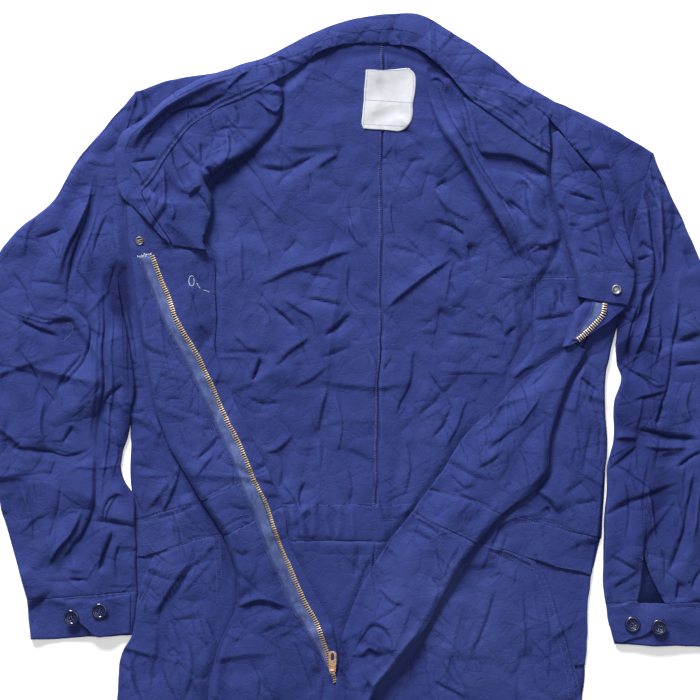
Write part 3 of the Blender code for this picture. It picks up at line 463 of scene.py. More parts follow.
BACK_LEFT = (
    BackRow(WAIST_TOP, -7, 262, seam=232),
    BackRow(73.5, -6.5, 267.5, seam=212),
    BackRow(112, -6, None, seam=184),
    BackRow(150, -5, None, seam=165),
    BackRow(182, -4.5, None, seam=154),
    BackRow(226, -3, None, seam=146),
    BackRow(262, -2, None, seam=143),
    BackRow(306, -0.5, 291, seam=142),
    BackRow(330, 0, 295, seam=142),
    BackRow(350, 0, 299, seam=142),
    BackRow(370, 0, 303, seam=142),
    BackRow(390, 0.5, 307.5, seam=142),
    BackRow(410, 0.5, 312.5, seam=142),
    BackRow(430, 1, 318, seam=142),
    BackRow(445, 1, 322.5, seam=142),
)
# x, y of the top edge, from the neck's middle to the armhole
NECK_RIGHT = ((1, 589.5), (-36, 587.4), (-66, 578), (-98, 561), (-130, 552),
              (-163, 556), (-212, 551.5), (-266, 541), (-293, 531))
NECK_LEFT = ((1, 589.5), (40, 583), (62, 566), (84, 546), (112, 526), (150, 518),
             (190, 521), (244, 503.5), (292, 477), (325, 455))
# x, y along the back's waist seam
WAIST_LINE = ((-300, 16), (-240, 20), (-180, 28), (-110, 34), (-7, 34), (60, 34), (130, 29),
              (202, 16), (262, -5))
SEAT = (
    SeatRow(-60, -11, -296, 250),
    SeatRow(-90, -12, -296, 247),
    SeatRow(-123.5, -14, -300.5, 248),
    SeatRow(-138, -16, -311, 246),
    SeatRow(-167, -20, -316, 244),
    SeatRow(-200, -26, -317, 241),
    SeatRow(-242, -34, -319, 241),
    SeatRow(-314, -45, -324, 247),
)
# y, x at the inner edge, x at the outer edge
LEGS = {"right": ((-650, -85, -335), (-1090, -125, -350)),
        "left": ((-650, 0, 250), (-1090, 40, 265))}
POCKET_RIGHT = (
    PocketRow((-296, -31), (-250, -17.5)),
    PocketRow((-296, -60), (-262, -60)),
    PocketRow((-296, -88), (-272, -88)),
    PocketRow((-297, -100), (-280, -100)),
)
POCKET_LEFT = (
    PocketRow((252, -51), (165, -26)),
    PocketRow((248, -92), (188, -92)),
    PocketRow((248, -128), (202, -128)),
    PocketRow((245, -158), (216, -158)),
)

EXPOSED_BACK = plan_points("""
    -119,532 -118,517 -122,497 -139,475 -167,451 -191,440 -204,428 -202,414 -203,382 -211,355 -202,330
    -200,253 -200,214 -197,188 -187,163 -167,145 -164,131 -149,102 -138,85 -132,61 -122,34 -110,4 -109,-14
    -100,-32 -89,-55 -74,-78 -60,-107 -53,-128 -41,-103 -24,-64 -6,-32 10,-6 35,24 60,56 85,95 110,130
    151,166 179,196 214,220 234,238 238,268 234,292 224,331 221,353 209,392 203,425 204,449 202,472
    181,486 148,508 106,524 79,553 46,565 2,580 -44,572 -86,565
""")

GROUND_CREASES = line_rows("""
    3.4 8: 55,538 70,490 100,448 126,400 154,352 166,330
    -2.6 5: 66,538 83,493 112,451 139,404 163,361
    2.4 7: 97,522 112,484 120,454
    -2.4 5: 89,520 103,481 113,450 139,406 175,377
    -2.6 8: 52,558 70,556 86,544
    1.8 5: 55,544 67,546 77,536 74,527
    2.6 7: 157,422 170,424 179,412 178,390 185,377 197,366
    2 6: 175,340 196,348 216,354
    2.2 7: -151,299 -127,308 -106,317 -80,325 -58,334 -29,342
    -1.2 5: -106,317 -80,311 -46,304
    1.2 6: -137,344 -136,317
    -1.5 5: -120,335 -108,346 -103,355
    -1.6 5: -133,275 -122,264 -100,245
    1.8 6: -120,284 -102,271 -79,256 -76,234
    -2.6 6: -68,235 -50,251 -35,264
    -2.4 6: -158,181 -151,193 -144,212
    1.8 6: -127,203 -114,217 -100,227 -84,238
    -1 4: -200,217 -157,218 -127,217
    1 4: -200,211 -161,209
    1.6 7: -170,356 -170,328 -168,295
    -1.3 5: -92,284 -44,274
    1.6 6: -40,384 -36,361 -19,342
    -1.4 5: -38,323 -36,277 -22,262
    -1.2 5: -74,209 -35,228
    1.6 6: -142,101 -128,102 -116,110 -107,122
    -1.6 5: -124,101 -118,79 -124,50
    1.2 5: -77,122 -76,72
    1.8 7: -65,178 -72,150 -79,121
    -1.8 7: -91,64 -98,43 -94,25
    1.3 6: -120,66 -103,42 -96,22
    1.2 6: -155,112 -144,94 -137,70
    -2.2 6: -151,439 -110,437 -94,446 -77,454
    -1.4 5: -128,415 -109,437
    -1.3 4: -84,437 -88,421 -91,403
    1.8 7: -83,437 -66,448 -49,457
    -1.6 4: -200,395 -185,392 -173,386
    -1 4: -197,384 -180,392 -170,385
    1.1 6: -158,412 -137,395 -113,371
    2.2 6: 88,334 62,317 32,294 2,269
    -1.8 6: 80,344 88,336 98,325
    1.2 6: 11,400 10,378 14,352
    -1.4 4: 10,346 26,342 43,337
    2 7: 66,412 78,392 94,383 108,376
    -1.9 5: 62,377 83,370 102,356
    -1.3 4: 30,448 42,449 54,449
    -1.9 4: 62,414 80,425
    -1.1 5: 16,463 19,450 24,436
    -1.4 4: 28,358 46,338
    -2 8: 103,349 106,328
    1.3 6: 84,328 78,298 76,277
    -1.2 4: 83,304 90,286
    -2.6 10: 72,274 70,244 58,218
    -1 4: 82,274 102,271
    1 4: 12,244 70,241 142,235
    0.9 4: 118,214 142,217
    0.9 4: 58,196 106,194 154,193
    -1.4 7: 130,262 144,250 143,235
    -2.8 9: 40,220 36,184 17,139
    -1.6 5: 54,196 70,172 88,145
    -1.5 5: 108,178 124,162
    -1.5 5: 126,184 114,170
    -1.2 4: 0,196 12,212
    -1.3 5: 43,241 71,241 136,235
    1.2 4: 114,268 120,258
    -2.5 7: 148,403 162,392 176,379
    2.8 8: 175,421 176,396 181,379 197,366
    -2 6: 174,340 185,347 203,340
    -3.2 9: 120,450 155,450 185,437 203,427
    -1.2 3: 182,304 182,280 179,256
    -1.6 5: 180,257 205,260 230,265
    -2.6 6: 180,256 169,226 149,202
    -1.8 5: 160,250 144,236
    1.6 6: 154,184 172,199 191,202
    -2 4: 222,232 232,256
    -1.4 3: 204,300 209,284 205,265
    -1.4 3: 220,298 215,282 221,268
    -1.6 6: -30,-14 -31,-32 -36,-54
    -1.6 6: -13,-28 -22,-48 -30,-71
    1.4 6: 103,166 88,124 70,94
    -1.3 6: 28,112 36,76 26,40
    1.2 6: -56,166 -48,130 -56,94
    -1.3 5: -44,82 -36,52 -38,28
    -1.5 6: 58,112 74,130 84,154
    1.6 7: -20,226 -8,193 -12,162
    -1.2 5: -152,280 -137,265 -134,244
    1.2 6: -179,244 -163,226 -144,217
    -1.3 5: -164,166 -144,157 -116,160
    1.3 6: -110,178 -86,186 -59,205
    -1.2 3.5: -170,454 -152,430 -140,412 -122,382
    -1.2 3.5: -41,412 -40,382 -24,346
    -1 3: -102,284 -74,280 -41,272
    -1 3: -38,316 -37,280 -24,265
    -0.9 3: -113,220 -116,210 -132,200
    -0.9 3: -144,214 -151,196 -158,184
    -0.9 3: -127,270 -101,244
    -0.9 3: 36,340 58,325 71,304
    -0.9 3: 17,136 34,154 60,162
""")
FIRST_RIGHT_CREASES = line_rows("""
    1.6 4: -272,139 -265,124 -270,112
    -1.5 4: -269,110 -260,103 -256,115
    -1.5 5: -300,142 -281,148
    -1.5 4: -300,85 -284,82 -268,77
    2.8 7: -244,100 -244,70 -252,48 -266,19
    -2.5 6: -238,78 -232,61 -222,48
    1.5 5: -276,34 -266,49 -254,64
    -1.3 5: -296,52 -284,22
    -1.8 5: -305,306 -294,268 -282,220 -281,192
    -2 6: -312,298 -300,244 -293,193
    1.4 6: -302,178 -290,124
    2.6 7: -276,-102 -265,-83 -254,-64 -228,-28
    -2.3 6: -269,-107 -246,-68 -230,-43 -214,-30
    1.5 5: -242,-74 -224,-53 -204,-32
    -1.5 6: -210,-97 -230,-101 -254,-107 -294,-107
    -2.2 5: -212,-101 -200,-128 -194,-155
    -1.4 4: -216,-176 -198,-161
    -1.2 6: -313,-146 -296,-176 -283,-203
    -1 5: -254,-134 -234,-152
    -2.6 14: -258,-71 -266,-128 -278,-194
    1.5 8: -296,-128 -302,-164 -290,-206
    -1.8 6: -194,-155 -186,-179 -179,-203
    1.6 7: -236,-128 -230,-162 -239,-200
    -1.4 4: -254,25 -247,0 -239,-29
    -1.2 4: -332,457 -331,427 -325,400
    -1.2 5: -319,460 -318,421 -316,409
    2 8: -290,535 -298,515 -306,492
    -2 6: -286,532 -283,506 -298,486
    -1.5 4: -312,476 -301,474
""")
TOP_RIGHT_CREASES = line_rows("""
    -3.2 6: -254,373 -239,356 -228,340
    2.6 7: -230,372 -211,352 -200,323 -198,292
    1.8 5: -223,412 -215,402 -205,390
    -1.6 4: -229,290 -224,274 -220,253
    -1.8 4: -220,253 -212,241 -205,226
    -1.2 4: -258,164 -248,162 -239,162
    -1.3 4: -218,130 -209,126 -197,126
    -2 5: -224,85 -212,98 -200,109 -193,119
    2 5: -224,66 -212,82 -200,97
    -1.2 4: -198,85 -187,100
    -1 3: -180,64 -175,50
    -1.4 4: -170,16 -156,12
    -1.6 6: -176,-14 -168,-23 -157,-17
    2.4 7: -176,-89 -161,-82 -142,-77 -122,-83 -103,-89
    -1.6 5: -175,-96 -144,-84 -110,-94
    -1.2 5: -145,-32 -156,-56
    -1.2 5: -128,-44 -116,-66
    -1.6 6: -158,-149 -146,-176 -150,-203
    -1.3 5: -104,-125 -92,-161 -85,-188
    1.3 5: -132,-188 -152,-203
    1.5 7: -269,280 -263,232 -252,184
    -1 5: -247,244 -230,217 -223,193
    1.2 6: -242,136 -230,104
    -1.2 5: -185,40 -170,30 -156,32
    -2 5: -71,-168 -73,-187 -76,-203
    1.5 5: -84,-140 -77,-167
""")
FIRST_LEFT_CREASES = line_rows("""
    -1.8 5: 136,-64 125,-102 110,-144
    -2 5: 60,-174 84,-186 109,-199
    -1.6 8: 152,-178 164,-162 166,-140
    -1.4 4: 221,-140 228,-157 226,-179
    1.2 4: 228,-145 234,-167 235,-196
    -1.6 5: 125,-19 142,-26 163,-34 181,-42
    -2.6 4: 131,-18 139,0 148,18
    -1.3 4: 142,-19 152,4
    3.2 8: 185,54 198,47 208,38 215,25
    -2 6: 199,34 204,22
    -1.7 6: 229,35 247,38 264,41
    -1.6 5: 217,44 230,55 246,66
    1.2 4: 226,26 229,17
    -1.3 4: 235,-8 232,-34
    -1.3 4: 251,-8 248,-28
    -1.2 3: 191,14 193,-10
    1.9 6: 238,-84 229,-102 221,-121
    -2 5: 234,190 250,178 262,169
    1.5 5: 214,154 232,148
    -1.3 5: 256,175 248,152
    -1.8 7: 227,193 217,166 209,138
    1.8 7: 244,214 238,184 228,136
    -1.5 6: 252,136 245,100 238,66
    1.5 7: 232,112 223,78
    -1.5 5: 262,130 258,88
    1.4 8: 166,-68 170,-116 166,-164
    -1.1 7: 196,-80 202,-128 199,-188
    1.2 8: 96,-80 84,-128 70,-188
    -1.2 4: 127,-52 148,-48
""")
TOP_LEFT_CREASES = line_rows("""
    -1.8 5: 82,54 95,47 109,41 131,48
    -1.5 5: 82,71 92,61 103,52
    -1.5 4: 122,62 137,67
    1.3 5: 88,22 97,31 107,41
    -1.3 4: 146,53 154,64
    -2.2 4: 41,17 55,10 71,2
    -1.8 4: 37,5 48,-1 60,-8
    1.4 4: 46,19 65,11 82,0
    -1.3 6: 35,-53 49,-41 62,-28
    1.6 5: -4,-60 6,-71 16,-80 30,-83
    -1.3 5: -8,-104 6,-96 19,-86 19,-77
    -2.4 7: -34,-143 -22,-125 -8,-110 2,-113 11,-125 11,-144
    2 6: -26,-146 -14,-134 -2,-140
    -2 5: -38,-148 -22,-148 -11,-139
    -2.8 5: -18,-175 -12,-186 -5,-200
    -1.3 5: -17,-137 -6,-143
    -1.8 6: 113,77 133,88 146,102
    1.6 7: 190,169 175,145 160,126
    -1.8 7: 166,130 142,114 124,97
    1.5 7: 142,160 130,136 106,114
    -1.4 6: 214,217 196,193 175,174
    1.4 6: 34,-80 22,-116 4,-152
    -1.4 5: 58,-50 67,-68 58,-90
    1.3 6: 94,-8 78,-32 70,-56
    -1.3 4: 73,40 66,25
""")
SLEEVE_RIGHT_CREASES = line_rows("""
    -3 7: -343,431 -342,402 -355,373 -367,341 -377,301
    2.6 7: -348,424 -350,400 -365,368 -379,337 -389,300
    -2 6: -377,276 -362,265 -352,253 -353,217 -368,193 -391,170
    1.5 5: -442,265 -422,259 -404,254 -394,254 -377,259 -365,254
    -1.6 5: -436,257 -413,246 -396,240 -382,235
    -1.3 5: -414,354 -398,360 -382,366
    1.3 4: -394,350 -386,331 -380,352
    -1 4: -424,304 -402,302 -378,300
    -1.8 8: -332,312 -332,244 -334,160 -340,120 -343,60 -346,0
    1.8 8: -341,292 -341,232 -343,166 -350,112
    1.6 6: -320,312 -312,286 -307,260 -306,214 -306,160
    -1.5 5: -446,100 -428,102 -410,101 -392,98 -383,94 -359,96 -341,108
    1.3 5: -398,70 -392,92
    -1.3 5: -380,110 -368,130
    -2.4 7: -392,-52 -380,-31 -362,-10 -346,30 -341,60
    2 7: -403,-44 -389,-20 -372,0 -358,34
    -1.9 6: -337,-49 -331,-25 -323,5
    1.6 5: -334,8 -328,36 -316,50 -307,47
    -1 4: -410,-55 -380,-56 -350,-55
    -1.5 7: -434,220 -416,193 -408,160
    1.6 8: -404,166 -410,130 -401,102
    -1.4 6: -326,388 -338,361 -348,330
    1.3 6: -410,394 -422,364 -432,325
    -1.3 5: -444,316 -427,292 -422,265
    1.4 6: -434,64 -422,28 -419,-14
    -1.2 5: -384,64 -389,28 -398,-8
    1.2 5: -324,136 -317,100 -324,58
    -1.4 6: -312,-8 -317,-32 -314,-62
    -1.6 4: -343,436 -353,382 -362,352 -372,325 -377,298 -378,258
    1.4 6: -334,430 -343,382 -353,352 -364,325 -370,292
    -1.4 3.5: -439,266 -398,256 -365,257
    1 4: -434,258 -382,234
    -0.8 3: -392,361 -379,368
    -1 3.5: -382,355 -386,340 -390,325
    -1.8 4: -355,221 -368,205 -386,179 -391,170
    -1 3: -406,178 -390,157
    -0.9 3: -353,157 -362,145 -372,139
    -0.9 3: -336,178 -348,160
    -1.8 4: -308,181 -330,160 -336,142
    -1.8 4: -334,310 -334,160 -342,94 -342,64 -353,22 -360,4
    1.6 6: -324,310 -324,160 -331,94 -334,64 -343,22
    -1.2 3.5: -320,325 -329,280
    1.2 5: -314,310 -308,184
    -0.9 3.5: -446,102 -392,100
    -0.9 3.5: -444,100 -430,112
    -0.9 3: -368,130 -382,107
    -0.9 3: -394,94 -398,73
    -0.9 3: -419,64 -410,34
    -1.8 4.5: -314,52 -329,40 -335,10
    -1.6 4: -324,0 -334,-32 -338,-48
    -1.4 4: -360,1 -374,-23 -392,-50
    -0.9 3: -377,-53 -350,-55
    -2.4 7: -317,330 -310,304 -305,274
""")
SLEEVE_LEFT_CREASES = line_rows("""
    -3.2 9: 307,433 313,412 320,391 324,370 326,346 328,325 328,300 318,289 313,268 307,253 302,238 \
        294,217 288,202
    2.8 9: 328,442 332,400 335,352 334,310 324,284 319,258 311,234 302,210 295,184
    -2.4 6: 344,402 348,364 342,322 338,280 336,250 335,220 324,190
    -1.9 6: 359,280 353,250 348,222
    -1.5 5: 352,226 367,234 384,241
    -1.2 4: 348,199 365,203 384,206
    1.5 5: 300,196 316,186 330,178 340,181
    1.3 5: 348,364 360,378
    -1.2 5: 318,430 334,421 347,409
    -1.4 6: 360,342 370,313
    1.2 5: 298,160 319,167 340,172
    -1.6 4: 288,448 290,433 288,414
    -1.4 4: 281,440 282,424 288,409
    -1.4 5: 306,328 322,334
    -1.6 5: 311,352 326,337
    -1.8 5: 326,130 330,143 335,157
    -2.4 12: 304,126 328,119 358,114 384,114
    1.6 8: 310,107 334,103 370,104
    -1.9 5: 272,73 288,89 306,107
    1.6 5: 280,115 293,116 306,114
    -2 7: 352,79 367,90 384,101
    -3 6: 374,79 365,28 358,-2 340,-52
    2 8: 384,76 376,25 370,-14
    -1.4 5: 274,-26 292,-35 310,-46
    -1.2 4: 336,-17 338,-59
    -1.8 5: 354,-56 352,-80
    -1.4 5: 370,-68 374,-54 384,-40
    1.3 5: 316,64 324,28 328,-8
    -1.2 6: 292,64 295,28 288,-8
    1.5 7: 310,166 307,142 302,121
    1.4 6: 370,184 362,154 370,130
    2 7: 317,460 323,418 334,382 337,340 336,298
    -1.8 4.5: 310,460 316,418 324,382 328,340 328,298
    -1.6 4: 340,448 349,388 341,304 337,244 334,220 322,196
    -1.8 4.5: 310,280 295,220 298,196
    -1.6 4: 358,292 353,256 348,226 343,184 328,136 323,106
    -1.4 4: 348,226 382,244
    -1.2 4: 295,196 334,180
    -1.2 4: 300,160 343,172
    -1.2 4: 349,202 382,205
""")
COLLAR_RIGHT_CREASES = line_rows("""
    3.6 7: -299,460 -278,491 -252,512 -218,532 -175,548
    -2.2 6: -289,450 -277,470 -260,490 -242,505 -211,515 -180,529
    -2.6 6: -259,371 -242,356 -226,340
    -2.6 5: -211,440 -204,426 -202,414
    -2.6 5: -191,440 -197,428 -204,419
    -1.9 5: -251,462 -247,440 -240,424 -233,410
    1.8 6: -262,438 -259,412 -259,382
    -1.5 4: -299,443 -281,446 -264,449
    1.6 5: -299,443 -288,428 -278,412
    -1.8 5: -218,469 -217,454 -215,440
    1.7 5: -215,440 -212,433 -208,426
    1.8 4: -187,484 -185,462 -191,440 -196,433
    -1.3 4: -208,480 -185,486 -161,485 -139,484
    -1.6 5: -278,412 -266,402 -269,385
    -1.5 4: -241,412 -228,407 -215,416
    1.5 5: -234,400 -222,416 -209,421
    -1.6 5: -224,412 -212,400 -204,385
    -1.4 4: -222,392 -212,392 -203,385
    1.6 6: -144,514 -125,505 -118,520
    -1.6 6: -152,520 -137,505 -132,486
    -1.4 5: -176,514 -170,498 -173,486
    1.4 6: -278,526 -259,529 -236,539
    -1.6 5: -257,541 -252,529 -245,520
    -1.6 4: -144,565 -132,556 -127,539
    1.8 5: -188,529 -175,544 -156,556
    -2 5: -127,574 -118,560 -118,544
    1.6 5: -254,404 -247,385 -252,373
""")
COLLAR_LEFT_CREASES = line_rows("""
    -2.4 7: 120,460 142,450 178,443 202,431
    -1.8 4: 220,408 238,404 258,398
    1.4 5: 209,398 220,389 224,380 223,367
    -1.2 4: 224,368 239,368
    -1.5 5: 232,341 250,337 264,330
    1.3 6: 250,382 259,354 262,325
    -1.2 6: 268,394 276,364
    1.2 6: 214,460 232,433 238,412
    -1.4 5: 151,510 166,498 178,480
    1.5 5: 139,532 160,520 175,510
    -1.3 4: 34,568 52,560 70,565
    -1.5 4: -98,577 -86,565 -62,568
    1.4 5: -79,570 -50,577 -24,582
    -1.4 4: -19,589 -12,580 2,582
    1.5 5: 12,587 28,577 46,577
    -1.6 4: 16,599 24,587 19,577
    -1.5 5: 58,556 72,539 84,520
    1.4 5: 72,556 89,536 103,515
    -1.4 4: 252,325 262,308
""")

# painted shade and painted light: paleness, reach and line of each broad streak; the dark rows shade
# hollows and folds, the pale rows light ridges and lift shadows
PAINTED_STREAKS = line_rows("""
    2 8: 96,-28 76,-68 52,-109 22,-145 -12,-188
    -3 7: -329,313 -318,292 -312,260
    -0.7 8: 214,460 250,428 271,383 276,340
    -0.6 6: 196,232 209,280 221,306
    -0.7 7: -98,64 -77,136 -72,169
    -0.6 6: 5,-32 12,64 34,184
    0.4 8: -62,184 -77,124 -84,76
    0.5 7: 19,40 24,112 50,220
    -0.6 6: -197,220 -158,217 -118,220
    -0.6 6: -144,193 -110,184 -98,208
    -0.6 6: 142,226 166,256 180,292
    -3 9: -316,330 -314,310 -312,289 -307,265
    -0.9 8: -310,280 -305,220 -304,160 -306,112
    -0.9 7: -307,112 -305,64 -307,40
    -1 9: 245,485 276,468 317,452
    -0.9 9: 274,450 283,412 302,373 319,337
    0.5 7: 328,433 334,394 336,349
    -0.6 12: 286,292 288,244 293,196
    -0.8 8: -289,450 -277,470 -260,490 -242,505 -211,515 -180,529
    0.5 6: -301,460 -278,493 -233,522 -167,548
    -0.9 7: -259,371 -242,356 -226,340
    -1.2 7: -205,407 -194,424 -173,440 -144,464
    -0.7 7: -230,59 -211,23 -187,-32 -172,-71 -181,-104 -192,-152 -187,-200
    -1.2 7: -43,-124 -48,-150 -43,-188
    -0.9 6: -36,-119 -14,-130 5,-116
    -0.8 8: 118,394 142,371 166,340 196,325
    -0.6 10: -370,385 -374,340 -377,280
    -0.6 8: -334,318 -326,280 -324,244
    0.8 60: 58,-68 106,-128 166,-200
    -0.8 40: 310,280 310,136 322,-32
    -0.3 26: -278,436 -242,460 -182,496
    -0.5 14: -8,265 -8,236
""")

# height and outline of the slack beside the left facing
PATCHES = (
    (7.0, ((97, 522), (108, 480), (120, 454), (155, 450), (203, 427), (206, 462), (160, 500),
           (118, 530))),
)


# ---------------------------------------------------------------- surfaces


@dataclass
class Surface:
    """A grid of points through the middle of a cloth, in millimetres."""

    points: np.ndarray
    row_at: np.ndarray
    column_at: np.ndarray
    closed: bool = False
    cut: tuple[float, float, float] | None = None

    @property
    def plan(self) -> np.ndarray:
        """The x and y of every point, one to a row."""
        return self.points[..., :2].reshape(-1, 2)

    def cells(self) -> np.ndarray:
        """Corner numbers of every cell that has cloth."""
        rows, columns = self.points.shape[:2]
        index = np.arange(rows * columns).reshape(rows, columns)
        if self.closed:
            index = np.hstack([index, index[:, :1]])
        corners = np.stack(
            [index[:-1, :-1], index[:-1, 1:], index[1:, 1:], index[1:, :-1]], axis=-1
        )
        if self.cut:
            column, first, last = self.cut
            middle_row = (self.row_at[:-1] + self.row_at[1:]) / 2
            at = self.column_at if not self.closed else np.append(self.column_at, np.inf)
            middle = (at[:-1] + at[1:]) / 2
            open_row = (middle_row > first) & (middle_row < last)
            open_column = (middle > column) & (middle < column + 1)
            corners = corners[~(open_row[:, None] & open_column[None, :])]
        corners = corners.reshape(-1, 4)
        there = ~np.isnan(self.points.reshape(-1, 3)[:, 0])
        return corners[there[corners].all(axis=1)]

    def flat_sizes(self) -> tuple[float, float, float]:
        """The width, length and area of the cut, in metres."""
        ring = self.points
        if self.closed:
            ring = np.concatenate([ring, ring[:, :1]], axis=1)
        across = np.linalg.norm(np.diff(ring, axis=1), axis=2)
        along = np.linalg.norm(np.diff(ring, axis=0), axis=2)
        width = np.nanmax(np.nansum(across, axis=1)) * MM
        length = np.nanmax(np.nansum(along, axis=0)) * MM
        corners = self.points.reshape(-1, 3)[self.cells()]
        sides = corners[:, 2] - corners[:, 0], corners[:, 3] - corners[:, 1]
        area = np.linalg.norm(np.cross(*sides), axis=1).sum() / 2 * MM * MM
        return float(width), float(length), float(min(area, width * length))


def as_grid(rows: list[Row]) -> np.ndarray:
    """Rows of points as one array, with not-a-number where there is no cloth."""
    empty = (math.nan,) * 3
    return np.array([[p if p is not None else empty for p in row] for row in rows], float)


def curve_through(points: np.ndarray, cells: np.ndarray) -> np.ndarray:
    """Points along a cubic curve through each row.

    Args:
        points: rows by columns by 3.
        cells: how many cells each interval between two columns becomes.

    Returns:
        The finer rows, not-a-number where the coarse ones are.
    """
    chord = np.diff(points, axis=1)
    step = np.maximum(np.linalg.norm(chord, axis=2), 1e-6)[..., None]
    slope = chord / step
    before, after = slope[:, :-1], slope[:, 1:]
    both = (before * step[:, 1:] + after * step[:, :-1]) / (step[:, 1:] + step[:, :-1])
    one = np.where(np.isnan(before), after, before)
    tangent = np.concatenate(
        [slope[:, :1], np.where(np.isnan(both), one, both), slope[:, -1:]], axis=1
    )
    blocks = []
    for j, count in enumerate(cells):
        t = (np.arange(count) / count)[None, :, None]
        h = step[:, j, None]
        start, end = points[:, j, None], points[:, j + 1, None]
        block = (2 * t**3 - 3 * t**2 + 1) * start + (3 * t**2 - 2 * t**3) * end
        block = block + (t**3 - 2 * t**2 + t) * h * tangent[:, j, None]
        block = block + (t**3 - t**2) * h * tangent[:, j + 1, None]
        block[:, 0] = points[:, j]
        blocks.append(block)
    blocks.append(points[:, -1:])
    return np.concatenate(blocks, axis=1)


def cell_counts(points: np.ndarray, sizes: np.ndarray) -> np.ndarray:
    """How many cells of these sizes each interval of the columns needs."""
    step = np.linalg.norm(np.diff(points, axis=1), axis=2)
    longest = np.nanmax(np.where(np.isnan(step), 0.0, step), axis=0)
    return np.maximum(np.ceil(longest / sizes).astype(int), 1)


def places(cells: np.ndarray, closed: bool = False) -> np.ndarray:
    """The coarse place of every fine column."""
    found = [j + np.arange(count) / count for j, count in enumerate(cells)]
    return np.concatenate(found + ([] if closed else [[len(cells)]]))


def fine_surface(
    rows: list[Row],
    row_size: Any = FINE,
    column_size: Any = FINE,
    closed: bool = False,
    cut: tuple[float, float, float] | None = None,
) -> Surface:
    """A finely divided surface through coarse rows.

    Args:
        rows: the coarse rows of points.
        row_size: length of the cells between rows, one number or one for each interval.
        column_size: width of the cells, in the same way.
        closed: whether each row is a ring.
        cut: column, first and last row of the cells that are left open.

    Returns:
        The surface.
    """
    grid = as_grid(rows)
    count = grid.shape[1] if closed else grid.shape[1] - 1
    column_size = np.broadcast_to(np.asarray(column_size, float), (count,))
    row_size = np.broadcast_to(np.asarray(row_size, float), (grid.shape[0] - 1,))
    if closed:
        ring = np.concatenate([grid, grid[:, :1]], axis=1)
        cells = cell_counts(ring, column_size)
        padded = np.concatenate([grid[:, -2:], grid, grid[:, :3]], axis=1)
        across = curve_through(padded, np.concatenate([[1, 1], cells, [1, 1]]))
        across = across[:, 2 : 2 + cells.sum()]
    else:
        cells = cell_counts(grid, column_size)
        across = curve_through(grid, cells)
    turned = across.transpose(1, 0, 2)
    row_cells = cell_counts(grid.transpose(1, 0, 2), row_size)
    points = np.ascontiguousarray(curve_through(turned, row_cells).transpose(1, 0, 2))
    return Surface(points, places(row_cells), places(cells, closed), closed, cut)


# ------------------------------------------------------------------ relief


class Chance:
    """Repeatable patterns over a plan, from one seed."""

    SIDE = 61
    TILT = 2.6

    def __init__(self, seed: int) -> None:
        """Draw the tables that the patterns read."""
        self.table = np.random.default_rng(seed).random((self.SIDE, self.SIDE, 4))

    def waves(self, plan: np.ndarray, size: float, layer: int = 0) -> np.ndarray:
        """Soft hills from -1 to 1, about this far apart."""
        at = plan / size
        cell = np.floor(at).astype(int)
        t = ease(at - cell)
        corner = [
            self.table[(cell[:, 0] + i) % self.SIDE, (cell[:, 1] + j) % self.SIDE, layer]
            for i in (0, 1)
            for j in (0, 1)
        ]
        low = corner[0] + (corner[2] - corner[0]) * t[:, 0]
        high = corner[1] + (corner[3] - corner[1]) * t[:, 0]
        return 2 * (low + (high - low) * t[:, 1]) - 1

    def facets(self, plan: np.ndarray, size: float) -> tuple[np.ndarray, np.ndarray]:
        """Tilted facets that meet in sharp ridges.

        Args:
            plan: the points.
            size: how far apart the facets are.

        Returns:
            Heights from about 0 to 1, and the distance of each point from a ridge.
        """
        at = plan / size
        cell = np.floor(at).astype(int)
        best = np.full(len(plan), np.inf)
        second = best.copy()
        for i in range(-2, 3):
            for j in range(-2, 3):
                near = cell + (i, j)
                drawn = self.table[near[:, 0] % self.SIDE, near[:, 1] % self.SIDE]
                gap = at - near - drawn[:, :2]
                lean = ((drawn[:, 2:] - 0.5) * gap).sum(axis=1)
                height = (gap**2).sum(axis=1) + self.TILT * lean
                second = np.minimum(second, np.maximum(best, height))
                best = np.minimum(best, height)
        return best, (second - best) * size / 2


WANDER = Chance(71)


def wandered(plan: np.ndarray) -> np.ndarray:
    """How far the whole garment strays in plan at these points, so no edge is ruled."""
    plan = np.nan_to_num(plan, nan=FAR_AWAY)
    broad = [1.7 * WANDER.waves(plan, 36.0, layer) for layer in (0, 1)]
    small = [0.55 * WANDER.waves(plan, 13.0, layer) for layer in (2, 3)]
    return np.stack(broad, axis=1) + np.stack(small, axis=1)


@dataclass(frozen=True)
class Crease:
    """A ridge along a line, or a trough where its height is negative.

    Its flank away from the light is short and steep, and the other one is long.
    """

    height: float
    width: float
    path: np.ndarray
    taper: float = 0.42
    steep: float = 0.6
    gentle: float = 3.6

    LIGHT = np.array([-0.35, 0.94])

    def add_to(self, plan: np.ndarray, heights: np.ndarray) -> None:
        """Add the crease to the heights at these plan points."""
        reach = self.gentle * self.width
        low, high = self.path.min(axis=0) - reach, self.path.max(axis=0) + reach
        near = np.flatnonzero(((plan > low) & (plan < high)).all(axis=1))
        if not near.size:
            return
        side, along, length = measured_from(plan[near], self.path)
        run = self.path[-1] - self.path[0]
        lit = -run[1] * self.LIGHT[0] + run[0] * self.LIGHT[1]
        shaded = (side * lit < 0) != (self.height < 0)
        width = self.width * np.where(shaded, self.steep, self.gentle)
        share = along / max(length, 1e-6)
        fade = ease(np.minimum(share, 1 - share) / self.taper + 0.04)
        away = np.abs(side)
        tent = np.clip(1 - away / width, 0, 1) ** 1.3
        pinch = np.exp(-away / (0.4 * self.width))
        heights[near] += self.height * fade * (0.66 * tent + 0.34 * pinch)


